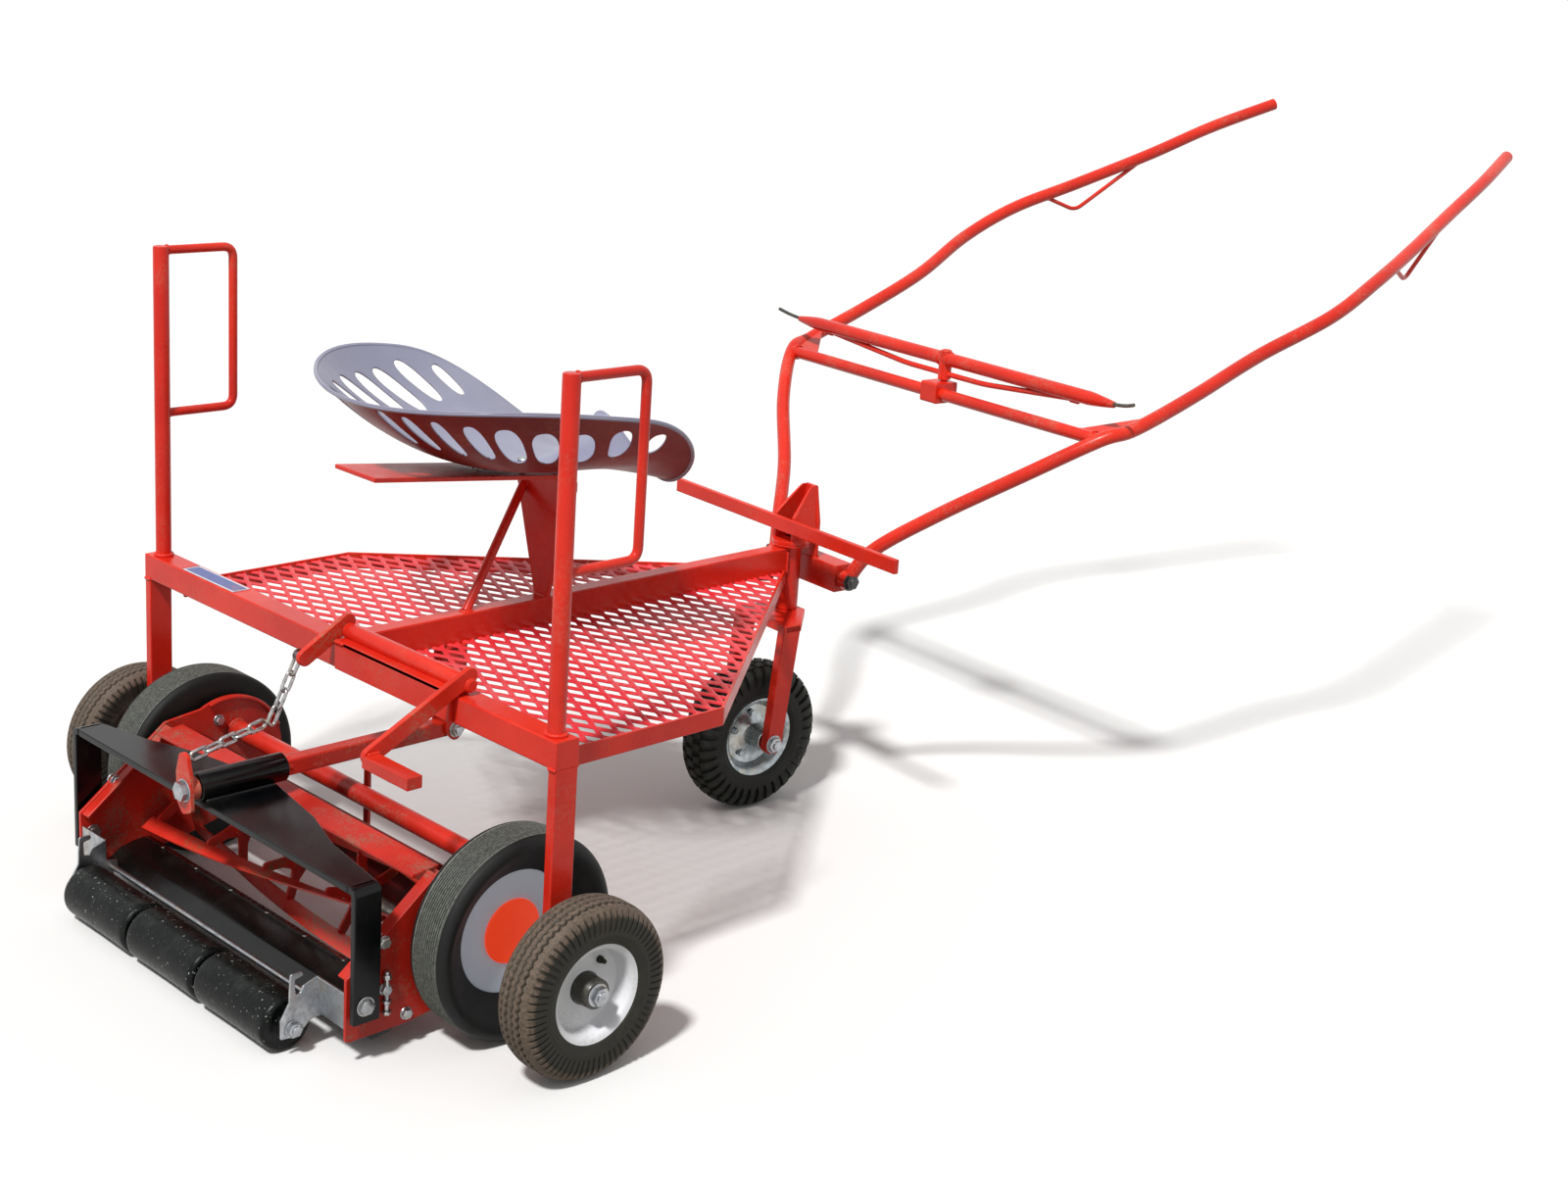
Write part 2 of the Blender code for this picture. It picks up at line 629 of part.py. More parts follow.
def diamonds(start, beam_y, edge):
    """The openings of an expanded-metal panel, staggered row by row, that miss its edges."""
    (side_x, side_y), (nose_x, nose_y) = edge
    slope = (side_y - nose_y) / (nose_x - side_x)
    half_x = (DIAMOND_PITCH_X - DIAMOND_STRAND) / 2
    half_y = (DIAMOND_PITCH_Y - DIAMOND_STRAND * 2) / 2
    margin = DIAMOND_STRAND / 2
    found = []
    column = 0
    x = start + half_x + margin
    while x + half_x < nose_x:
        y = beam_y + half_y + margin + (column % 2) * DIAMOND_PITCH_Y / 2
        limit = min(side_y, side_y - slope * (x + half_x * 0.5 - side_x))
        while y + half_y + margin < limit:
            found.append([(x - half_x, y), (x, y + half_y), (x + half_x, y), (x, y - half_y)])
            y += DIAMOND_PITCH_Y
        x += DIAMOND_PITCH_X / 2
        column += 1
    return found


def seat_rim(angle):
    """A point on the pan's rim. Angle 0 is the rear and pi the front."""
    across = sin(angle)
    back = cos(angle)
    front = max(0.0, -back)
    middle = exp(-(across / SEAT_POMMEL_SPREAD) ** 2) if front else 0.0
    rise, square, cube = SEAT_RIM_WAVE
    x = SEAT_MIDDLE_X - SEAT_HALF_LONG * back * (1 - SEAT_FRONT_SHORT * front) - SEAT_NOTCH * middle
    z = SEAT_RIM_Z + rise * back + square * back ** 2 + cube * back ** 3
    return Vector((x, SEAT_HALF * across, z - SEAT_LOBE_DROP * front ** 2 + SEAT_POMMEL * middle))


def bowl(share):
    """Height in the bowl, from 0 at its lowest point to 1 at the rim, at a share of the way."""
    return share ** SEAT_BOWL


def seat_point(angle, share):
    """A point of the pan at a share of the way from its lowest point to its rim."""
    rim = seat_rim(angle)
    low = Vector((SEAT_X, 0, SEAT_LOW))
    spot = low.lerp(rim, share)
    spot.z = SEAT_LOW + (rim.z - SEAT_LOW) * bowl(share)
    return spot


def slotted(sector, ring):
    """Whether a cell of the pan is one of its side or rear slots."""
    step = abs((sector + 0.5) / SEAT_SECTORS * 2 - 1)
    if ring == 3 and 0.15 < step < 0.62:
        return sector % 2 == 0
    if ring in (3, 4) and 0.66 < step < 0.97:
        return sector % 2 == 0
    return False


def pan_height(x):
    """Height of the pan's middle surface on the middle plane."""
    angle = 0.0 if x < SEAT_X else pi
    rim = seat_rim(angle)
    share = abs(x - SEAT_X) / abs(rim.x - SEAT_X)
    ring = SEAT_RINGS[0]
    height = bowl(ring) * share / ring if share < ring else bowl(share)
    return SEAT_LOW + (rim.z - SEAT_LOW) * height


def seat_pan():
    """Pressed pan with a row of slots along each side and the rear."""
    def build(shape):
        rings = []
        for share in SEAT_RINGS:
            ring = []
            for sector in range(SEAT_SECTORS):
                angle = pi + 2 * pi * sector / SEAT_SECTORS
                ring.append(shape.verts.new(seat_point(angle, share)))
            rings.append(ring)
        middle = shape.verts.new((SEAT_X, 0, SEAT_LOW))
        for sector in range(SEAT_SECTORS):
            following = (sector + 1) % SEAT_SECTORS
            shape.faces.new((middle, rings[0][following], rings[0][sector]))
            for ring in range(len(SEAT_RINGS) - 1):
                if not slotted(sector, ring):
                    lower, upper = rings[ring], rings[ring + 1]
                    shape.faces.new((lower[sector], lower[following], upper[following],
                                     upper[sector]))
        bmesh.ops.recalc_face_normals(shape, faces=shape.faces)

    pan = mesh_piece("seat_pan", build, SILVER, smooth=True)
    skin = pan.modifiers.new("skin", "SOLIDIFY")
    skin.thickness = SEAT_SKIN
    skin.offset = 0
    return pan


def seat():
    """Pan on its sloping plate, with the tapered stand, the brace and the two bolts."""
    plate_low = SEAT_LOW - SEAT_SKIN / 2 - SEAT_BED - SEAT_PLATE_THICK
    tall = SEAT_PLATE_THICK / cos(SEAT_PLATE_SLOPE)

    def plate_z(x):
        return plate_low + (SEAT_X - x) * tan(SEAT_PLATE_SLOPE)

    ends = (SEAT_PLATE_REAR, SEAT_PLATE_FRONT)
    outline = [(ends[0], plate_z(ends[0])), (ends[1], plate_z(ends[1])),
               (ends[1], plate_z(ends[1]) + tall), (ends[0], plate_z(ends[0]) + tall)]
    plate = flat("seat_plate", outline, -SEAT_PLATE_W / 2, SEAT_PLATE_W / 2, "XZ", RED)
    pan = seat_pan()

    holes = []
    for name, x in SEAT_BOLTS:
        nut_top = plate_z(x + 0.008) - GAP
        head_low = max(pan_height(x - 0.008), pan_height(x + 0.008)) + SEAT_SKIN * 1.25
        spans = ((nut_top - 0.009, head_low + 0.002, SEAT_BOLT_R, 12),
                 (nut_top - 0.006, nut_top, 0.008, 6), (head_low, head_low + 0.005, 0.008, 12))
        fix(cart, combine([rod(name, (x, 0, low), (x, 0, high), radius, ZINC, sides=sides)
                           for low, high, radius, sides in spans]))
        holes.append((x, nut_top - 0.02, head_low + 0.02))
    for piece in (pan, plate):
        cutters = [rod("hole", (x, 0, low), (x, 0, high), SEAT_BOLT_R + RUNNING_GAP, ZINC)
                   for x, low, high in holes]
        fix(cart, combine([piece, *cutters], "DIFFERENCE"))

    stand_top = plate_z(STAND_X + STAND_THICK / 2) - GAP
    foot = CENTRE_BEAM_W / 2
    shoulder = stand_top - 0.012
    outline = [(-foot, BEAM_TOP + GAP), (foot, BEAM_TOP + GAP), (STAND_TOP_HALF, shoulder),
               (STAND_TOP_HALF, stand_top), (-STAND_TOP_HALF, stand_top),
               (-STAND_TOP_HALF, shoulder)]
    rear = STAND_X - STAND_THICK / 2
    fix(cart, flat("seat_stand", outline, rear, STAND_X + STAND_THICK / 2, "YZ", RED))
    top = (rear + BRACE_R, BRACE_TOP_Y, stand_top - 0.022)
    low = (BRACE_FOOT_X, 0, BEAM_TOP - BRACE_R / 2)
    brace = rod("seat_brace", low, top, BRACE_R, RED, sides=12)
    trims = [box("beam_trim", (0.1, -0.05, BEAM_TOP - 0.02), (0.3, 0.05, BEAM_TOP + GAP), RED),
             box("stand_trim", (rear - GAP, -0.1, 0.5), (rear + 0.03, 0.1, 0.65), RED)]
    fix(cart, combine([brace, *trims], "DIFFERENCE"))


def lift_gear():
    """Bracket with its sleeve on the crossbeam, and the lever whose rod turns in the sleeve."""
    rear = -CROSS_HALF_X - GAP
    back = rear - BRACKET_THICK
    near = LEVER_NEAR_Y + ARM_THICK + RUNNING_GAP
    far = LEVER_FAR_Y - ARM_THICK - RUNNING_GAP
    bottom = LEVER_Z - LEVER_SLEEVE_R
    high = bottom + 3 * LAP
    plate = box("lift_bracket", (back, near + BRACKET_SHORT, BEAM_LOW + BRACKET_SHORT),
                (rear, far - BRACKET_SHORT, high), RED)
    saddle = box("saddle", (back, near + BRACKET_SHORT, BEAM_TOP + GAP),
                 (LEVER_X + BRACKET_THICK, far - BRACKET_SHORT, high), RED)
    tube = rod("tube", (LEVER_X, near, LEVER_Z), (LEVER_X, far, LEVER_Z), LEVER_SLEEVE_R, RED,
               sides=24)
    bracket = combine([plate, saddle, tube])
    hole = rod("hole", (LEVER_X, near - CUT_PAST, LEVER_Z), (LEVER_X, far + CUT_PAST, LEVER_Z),
               LEVER_ROD_R + RUNNING_GAP, RED, sides=24)
    fix(cart, combine([bracket, hole], "DIFFERENCE"))

    lever = body("lift_lever_body", (LEVER_X, 0, LEVER_Z), cart)
    pin = rod("lift_lever", (LEVER_X, LEVER_NEAR_Y - 0.004, LEVER_Z),
              (LEVER_X, LEVER_FAR_Y + 0.004, LEVER_Z), LEVER_ROD_R, RED, sides=24)
    root = (LEVER_X, LEVER_Z + ARM_RISE)
    chain_arm = flat("chain_arm", strip(root, (CHAIN_ARM_X, CHAIN_ARM_Z), ARM_TALL),
                     LEVER_FAR_Y - ARM_THICK, LEVER_FAR_Y, "XZ", RED)
    pedal_end = (PEDAL_X, PEDAL_Z + 0.005)
    pedal_arm = flat("pedal_arm", strip(root, pedal_end, ARM_TALL),
                     LEVER_NEAR_Y, LEVER_NEAR_Y + ARM_THICK, "XZ", RED)
    pedal = box("pedal", (PEDAL_X - PEDAL_HALF_W, LEVER_NEAR_Y - PEDAL_LONG, PEDAL_Z - PEDAL_HALF_TALL),
                (PEDAL_X + PEDAL_HALF_W, LEVER_NEAR_Y + ARM_THICK / 2, PEDAL_Z + PEDAL_HALF_TALL),
                RED)
    fix(lever, combine([pin, chain_arm, pedal_arm, pedal]))
    return lever


def strip(start, end, width):
    """Outline of a flat bar with round ends between two points."""
    angle = atan2(end[1] - start[1], end[0] - start[0]) * 180 / pi
    return (arc(end, width / 2, angle - 90, angle + 90, 6)
            + arc(start, width / 2, angle + 90, angle + 270, 6))


def chain_links(start, end, first_turn):
    """A straight run of oval links, each a quarter turn from the last and bearing on it."""
    start, end = Vector(start), Vector(end)
    span = (end - start).length
    run = (end - start) / span
    side = run.cross(Vector((0, 1, 0))).normalized()
    other = run.cross(side)
    lap = 2 * LINK_WIRE_R - LINK_BITE
    count = round((span - lap) / (LINK_LONG - lap))
    long = (span + (count - 1) * lap) / count
    half = long / 2 - LINK_HALF
    links = []
    for number in range(count):
        middle = start + run * (long / 2 + (long - lap) * number)
        across = side if (number + first_turn) % 2 == 0 else other
        ring = [(half + LINK_HALF * cos(a), LINK_HALF * sin(a))
                for a in [radians(d) for d in (-90, -45, 0, 45, 90)]]
        ring += [(-u, v) for u, v in reversed(ring)]
        points = [middle + run * u + across * v for u, v in ring]
        links.append(bent_rod("link", points, LINK_WIRE_R, ZINC, closed=True, sides_level=1))
    return links


def chain(lever, draft):
    """Welded chain from the lever's arm to the hitch plate, drawn as two straight runs."""
    plane = LEVER_FAR_Y + CHAIN_OUT
    top = (CHAIN_ARM_X, plane, CHAIN_ARM_Z)
    upper = body("chain_upper_body", top, lever)
    shackle = rod("chain_upper", (CHAIN_ARM_X, LEVER_FAR_Y + GAP, CHAIN_ARM_Z),
                  (CHAIN_ARM_X, plane + CHAIN_PIN_END, CHAIN_ARM_Z), CHAIN_PIN_R, ZINC, sides=12)
    fix(upper, combine([shackle, *chain_links((CHAIN_BEND_X, plane, CHAIN_BEND_Z), top, 0)]))
    face = HITCH_REAR + HITCH_THICK + GAP
    foot = Vector((face + LINK_WIRE_R + LINK_HALF, 0, HITCH_TOP - CHAIN_BELOW_TOP))
    lower = body("chain_lower_body", foot, draft)
    bend = Vector((CHAIN_BEND_X, plane + CHAIN_LAP, CHAIN_BEND_Z))
    links = chain_links(bend, foot + (foot - bend).normalized() * LINK_HALF, 0)
    links[0].name = "chain_lower"
    fix(lower, combine(links))


def draft_gear():
    """Bracket under the beam, and the tube that tows the mower from it."""
    beam_low = BEAM_TOP - CENTRE_BEAM_TALL
    half = DRAFT_TUBE_W / 2
    cheek_y = half + CHEEK_CLEAR + CHEEK_THICK
    cheeks = []
    for sign in (1, -1):
        y = sorted((sign * (half + CHEEK_CLEAR), sign * cheek_y))
        cheeks.append(box("cheek", (DRAFT_X - CHEEK_HALF, y[0], DRAFT_Z - CHEEK_HALF),
                          (DRAFT_X + CHEEK_HALF, y[1], beam_low - GAP), RED))
    cap = box("cap", (DRAFT_X - CHEEK_HALF, -cheek_y, beam_low - CHEEK_THICK - LAP),
              (DRAFT_X + CHEEK_HALF, cheek_y, beam_low - GAP), RED)
    past = cheek_y + CUT_PAST
    hole = rod("hole", (DRAFT_X, -past, DRAFT_Z), (DRAFT_X, past, DRAFT_Z), DRAFT_BOLT_R + GAP, RED)
    bracket = combine([cap, *cheeks])
    bracket.name = "draft_bracket"
    fix(cart, combine([bracket, hole], "DIFFERENCE"))
    reach = cheek_y + GAP
    spans = ((-reach - DRAFT_BOLT_END, reach + DRAFT_HEAD_LONG, DRAFT_BOLT_R, 16),
             (reach, reach + DRAFT_HEAD_LONG, DRAFT_HEAD_R, 6),
             (-reach - DRAFT_NUT_LONG, -reach, DRAFT_HEAD_R, 6))
    fix(cart, combine([rod("draft_bolt", (DRAFT_X, low, DRAFT_Z), (DRAFT_X, high, DRAFT_Z), radius,
                           ZINC, sides=sides) for low, high, radius, sides in spans]))

    draft = body("draft_body", (DRAFT_X, 0, DRAFT_Z), cart)
    tube = box("draft_tube", (SLEEVE_FRONT + 2 * LAP, -half, DRAFT_Z - half),
               (DRAFT_X + half, half, DRAFT_Z + half), RED)
    spindle = rod("spindle", (HITCH_REAR + LAP, 0, DRAFT_Z),
                  (SLEEVE_FRONT + 10 * LAP, 0, DRAFT_Z), SPINDLE_R, RED, sides=20)
    collar = rod("collar", (HITCH_REAR + LAP, 0, DRAFT_Z), (SLEEVE_REAR - RUNNING_GAP, 0, DRAFT_Z),
                 SPINDLE_R + SPINDLE_COLLAR, RED, sides=20)
    outline = [(y, DRAFT_Z + z) for y, z in HITCH_FOOT]
    outline += [(y, HITCH_TOP + z) for y, z in HITCH_HEAD]
    plate = flat("hitch", outline, HITCH_REAR, HITCH_REAR + HITCH_THICK, "YZ", RED)
    strap = box("strap", (STRAP_X - STRAP_THICK / 2, STRAP_Y - STRAP_HALF_W, DRAFT_Z - STRAP_LONG),
                (STRAP_X + STRAP_THICK / 2, STRAP_Y + STRAP_HALF_W, DRAFT_Z), RED)
    nut = rod("nut", (HITCH_REAR - HITCH_NUT_LONG, 0, DRAFT_Z), (HITCH_REAR + LAP, 0, DRAFT_Z),
              HITCH_NUT_R, RED, sides=6)
    joined = combine([tube, spindle, collar, plate, strap, nut])
    hole = rod("hole", (DRAFT_X, -past, DRAFT_Z), (DRAFT_X, past, DRAFT_Z),
               DRAFT_BOLT_R + RUNNING_GAP, RED)
    fix(draft, combine([joined, hole], "DIFFERENCE"))
    return draft


def yoke_frame(draft):
    """Black yoke: sleeve on the draft spindle, saddle plate and two legs."""
    yoke = body("yoke_body", ((SLEEVE_FRONT + SLEEVE_REAR) / 2, 0, DRAFT_Z), draft)
    long = SLEEVE_FRONT - SLEEVE_REAR
    middle = ((SLEEVE_FRONT + SLEEVE_REAR) / 2, 0, DRAFT_Z)
    bore = SPINDLE_R + RUNNING_GAP
    sleeve = turned("yoke", ring_profile(bore, SLEEVE_R, -long / 2, long / 2), middle, BLACK,
                    along="X", steps=24)
    rear = SLEEVE_REAR
    front = rear + YOKE_BAR_W
    top = DRAFT_Z - SLEEVE_R + SADDLE_SINK
    half = YOKE_HALF
    outline = []
    for sign in (1, -1):
        wing = [(SLEEVE_FRONT + x, sign * y) for x, y in YOKE_WAIST]
        wing += [(front, MOWER_SHIFT + sign * half), (rear, MOWER_SHIFT + sign * half)]
        outline += wing if sign > 0 else reversed(wing)
    saddle = flat("saddle", outline, top - SADDLE_THICK, top, "XY", BLACK)
    pieces = [sleeve, saddle]
    for sign in (1, -1):
        y = sorted((MOWER_SHIFT + sign * half, MOWER_SHIFT + sign * (half - YOKE_THICK)))
        pieces.append(box("leg", (rear, y[0], YOKE_PIVOT_Z - YOKE_LEG_BELOW),
                          (front, y[1], top - LAP), BLACK))
    joined = combine(pieces)
    past = half + abs(MOWER_SHIFT) + CUT_PAST
    hole = rod("hole", (YOKE_PIVOT_X, -past, YOKE_PIVOT_Z), (YOKE_PIVOT_X, past, YOKE_PIVOT_Z),
               YOKE_BOLT_R + RUNNING_GAP, BLACK)
    fix(yoke, combine([joined, hole], "DIFFERENCE"))
    return yoke


def side_plate_outline():
    """Side plate of the mower, seen from the left: square tail, sloping top, round nose."""
    return [*SIDE_TAIL, *arc(SIDE_NOSE_AT, SIDE_NOSE_R, 120, -35, 9), *SIDE_TOE]


def side_plates(mower):
    """Side plates with a flange along the sloping edge and a welded stub axle."""
    inner = SIDE_PLATE_Y - SIDE_PLATE_THICK
    for side, sign in SIDES:
        faces = sorted((sign * SIDE_PLATE_Y, sign * inner))
        plate = flat(f"{side}_side_plate", side_plate_outline(), *faces, "XZ", RED)
        lip_y = sorted((sign * (inner + LAP), sign * (inner - FLANGE)))
        lip = flat("lip", SIDE_LIP, *lip_y, "XZ", RED)
        axle_end = MOWER_FACE_Y - MOWER_DISC_INSET - MOWER_AXLE_SHORT
        axle = rod("axle", (0, sign * (inner + LAP), MOWER_TYRE_R),
                   (0, sign * axle_end, MOWER_TYRE_R), MOWER_AXLE_R, RED, sides=20)
        joined = combine([plate, lip, axle])
        hole = rod("hole", (YOKE_PIVOT_X, sign * (inner - FLANGE - CUT_PAST), YOKE_PIVOT_Z),
                   (YOKE_PIVOT_X, sign * (SIDE_PLATE_Y + CUT_PAST), YOKE_PIVOT_Z),
                   YOKE_BOLT_R + GAP, RED)
        fix(mower, combine([joined, hole], "DIFFERENCE"))


def yoke_bolt(side, sign):
    """Bolt through a yoke leg and a side plate, with a spacer between the two."""
    inner = SIDE_PLATE_Y - SIDE_PLATE_THICK
    nut_end = inner - GAP - YOKE_NUT_LONG
    head = YOKE_HALF + RUNNING_GAP
    spans = ((nut_end, head + LAP, YOKE_BOLT_R, 16), (head, head + YOKE_NUT_LONG, YOKE_HEAD_R, 6),
             (nut_end, inner - GAP, YOKE_NUT_R, 6),
             (SIDE_PLATE_Y + GAP, YOKE_HALF - YOKE_THICK - RUNNING_GAP, YOKE_NUT_R, 16))
    pieces = [rod(f"{side}_yoke_bolt", (YOKE_PIVOT_X, sign * low, YOKE_PIVOT_Z),
                  (YOKE_PIVOT_X, sign * high, YOKE_PIVOT_Z), radius, ZINC, sides=sides)
              for low, high, radius, sides in spans]
    return combine(pieces)


def mower_frame(yoke):
    """Side plates, tie bars, bed knife and roller bracket."""
    pivot = Vector((YOKE_PIVOT_X, 0, YOKE_PIVOT_Z))
    shift = Vector((0, MOWER_SHIFT, 0))
    mower = body("mower_body", pivot, yoke, place=pivot - Vector(yoke["point"]) + shift)
    side_plates(mower)
    for side, sign in SIDES:
        fix(mower, yoke_bolt(side, sign))
    reach = SIDE_PLATE_Y - SIDE_PLATE_THICK - GAP
    fix(mower, rod("cross_tube", (CROSS_TUBE_X, -reach, CROSS_TUBE_Z),
                   (CROSS_TUBE_X, reach, CROSS_TUBE_Z), CROSS_TUBE_R, RED, sides=20))
    short = reach - FLANGE - GAP
    outline = [(TOP_BAR_X + x, TOP_BAR_Z + z) for x, z in TOP_BAR_SHAPE]
    fix(mower, flat("top_bar", outline, -short, short, "XZ", RED))
    lip = Vector((REEL_X, REEL_Z)) + (REEL_R + KNIFE_GAP) * Vector((cos(KNIFE_ANGLE), sin(KNIFE_ANGLE)))
    knife = [(lip.x + x, lip.y + z) for x, z in KNIFE_SHAPE]
    fix(mower, flat("cutter_bar", knife, -reach, reach, "XZ", BLACK))
    roller_bracket(mower)
    return mower


def roller_bracket(mower):
    """Bracket that hangs the roller behind the side plates, tied across by a rod."""
    inner = SIDE_PLATE_Y - SIDE_PLATE_THICK
    plate_y = ROLLER_HALF + HOOK_SPACE
    pieces = []
    for sign in (1, -1):
        y = sorted((sign * plate_y, sign * (plate_y + HOOK_THICK)))
        pieces.append(flat("roller_bracket", HOOK_SHAPE, *y, "XZ", ZINC))
        span = sorted((sign * (plate_y + LAP), sign * (inner - GAP)))
        pieces.append(box("web", (WEB_X[0], span[0], WEB_Z[0]), (WEB_X[1], span[1], WEB_Z[1]), ZINC))
        foot = sorted((sign * (inner - GAP - TAB_THICK), sign * (inner - GAP)))
        pieces.append(box("tab", (TAB_X[0], foot[0], TAB_Z[0]), (TAB_X[1], foot[1], TAB_Z[1]), ZINC))
    tie_y = plate_y + HOOK_THICK - LAP
    pieces.append(rod("tie", (TIE_AT[0], -tie_y, TIE_AT[1]), (TIE_AT[0], tie_y, TIE_AT[1]), TIE_R,
                      ZINC, sides=10))
    joined = combine(pieces)
    past = plate_y + CUT_PAST
    hole = rod("hole", (ROLLER_X, -past, ROLLER_R), (ROLLER_X, past, ROLLER_R),
               ROLLER_SHAFT_R + GAP, ZINC)
    fix(mower, combine([joined, hole], "DIFFERENCE"))
    reach = plate_y + HOOK_THICK + GAP
    end = reach + ROLLER_SHAFT_END
    pieces = [rod("roller_shaft", (ROLLER_X, -end, ROLLER_R), (ROLLER_X, end, ROLLER_R),
                  ROLLER_SHAFT_R, ZINC)]
    for sign in (1, -1):
        pieces.append(rod("nut", (ROLLER_X, sign * reach, ROLLER_R),
                          (ROLLER_X, sign * (reach + ROLLER_NUT_LONG), ROLLER_R), ROLLER_NUT_R,
                          ZINC, sides=6))
    fix(mower, combine(pieces))


def reel(mower):
    """Reel of helical blades on spiders, keyed to a shaft between the side plates."""
    cylinder = body("reel_body", (REEL_X, 0, REEL_Z), mower)
    half = SIDE_PLATE_Y - SIDE_PLATE_THICK - RUNNING_GAP
    blade_half = half - 0.011
    shaft_r = 0.009
    inner_r = REEL_R - BLADE_DEEP
    steps = 12

    def build(shape):
        for blade in range(REEL_BLADES):
            rings = []
            for step in range(steps + 1):
                share = step / steps
                y = -blade_half + 2 * blade_half * share
                turn = 2 * pi * blade / REEL_BLADES + REEL_TWIST * share
                ring = []
                for radius, offset in ((REEL_R, 0), (inner_r, 0), (inner_r, 1), (REEL_R, 1)):
                    angle = turn + offset * BLADE_THICK / radius
                    ring.append(shape.verts.new((radius * cos(angle), y, radius * sin(angle))))
                rings.append(ring)
            for one, two in zip(rings, rings[1:]):
                for i in range(4):
                    j = (i + 1) % 4
                    shape.faces.new((one[i], one[j], two[j], two[i]))
            shape.faces.new(rings[0])
            shape.faces.new(list(reversed(rings[-1])))
        bmesh.ops.recalc_face_normals(shape, faces=shape.faces)

    blades = mesh_piece("reel_blades", build, RED)
    blades.location = (REEL_X, 0, REEL_Z)
    pieces = [blades]
    inset = 0.024
    for number in range(SPIDERS):
        y = -blade_half + inset + 2 * (blade_half - inset) * number / (SPIDERS - 1)
        pieces.append(turned("spider", ring_profile(shaft_r + GAP, inner_r + 0.004, -0.002, 0.002),
                             (REEL_X, y, REEL_Z), RED, steps=16))
    fix(cylinder, combine(pieces))
    fix(cylinder, rod("reel_shaft", (REEL_X, -half, REEL_Z), (REEL_X, half, REEL_Z), shaft_r, STEEL))


def mower_wheels(mower):
    """Ground-drive wheels: a dished disc in a broad rubber tyre."""
    for side, sign in SIDES:
        middle = MOWER_FACE_Y - MOWER_TYRE_W / 2
        centre = (0, sign * middle, MOWER_TYRE_R)
        wheel = body(f"{side}_drive_wheel", centre, mower)
        half = MOWER_TYRE_W / 2
        inset = half - MOWER_DISC_INSET
        side_out = [(MOWER_DISC_R, inset - 0.016), (MOWER_DISC_R, inset), (MOWER_TYRE_R - 0.014, half),
                    (MOWER_TYRE_R - 0.004, half - 0.004), (MOWER_TYRE_R, half - 0.012)]
        side_in = [(MOWER_TYRE_R, -half + 0.010), (MOWER_TYRE_R - 0.006, -half),
                   (MOWER_DISC_R + 0.012, -half), (MOWER_DISC_R, -half + 0.004)]
        loop = side_out + side_in if sign > 0 else [(r, -h) for r, h in reversed(side_out + side_in)]
        tyre = turned(f"{side}_drive_tyre", loop, centre, RUBBER)
        bore = MOWER_AXLE_R + RUNNING_GAP
        face = [(0.0, inset - 0.002), (MOWER_RED_R, inset - 0.002), (MOWER_RED_R, inset - 0.004),
                (MOWER_DISC_R - GAP, inset - 0.004), (MOWER_DISC_R - GAP, inset - 0.014)]
        hub = [(0.020, inset - 0.014), (0.020, -half + 0.004), (bore, -half + 0.004),
               (bore, inset - 0.009), (0.0, inset - 0.009)]
        loop = face + hub if sign > 0 else [(r, -h) for r, h in reversed(face + hub)]
        disc = turned(f"{side}_drive_disc", loop, centre, GREY)
        fix(wheel, tyre, disc)


def rollers(mower):
    """Three separate roller segments that turn on one shaft."""
    roller = body("roller_body", (ROLLER_X, 0, ROLLER_R), mower)
    half = (ROLLER_HALF - ROLLER_SPACE) / 3
    bore = ROLLER_SHAFT_R + RUNNING_GAP
    profile = [(bore, half), (ROLLER_R - 0.005, half), (ROLLER_R, half - 0.006),
               (ROLLER_R, -half + 0.006), (ROLLER_R - 0.005, -half), (bore, -half)]
    for name, place in (("left", 1), ("middle", 0), ("right", -1)):
        centre = (ROLLER_X, place * (2 * half + ROLLER_SPACE), ROLLER_R)
        fix(roller, turned(f"{name}_roller", profile, centre, BLACK, steps=24))


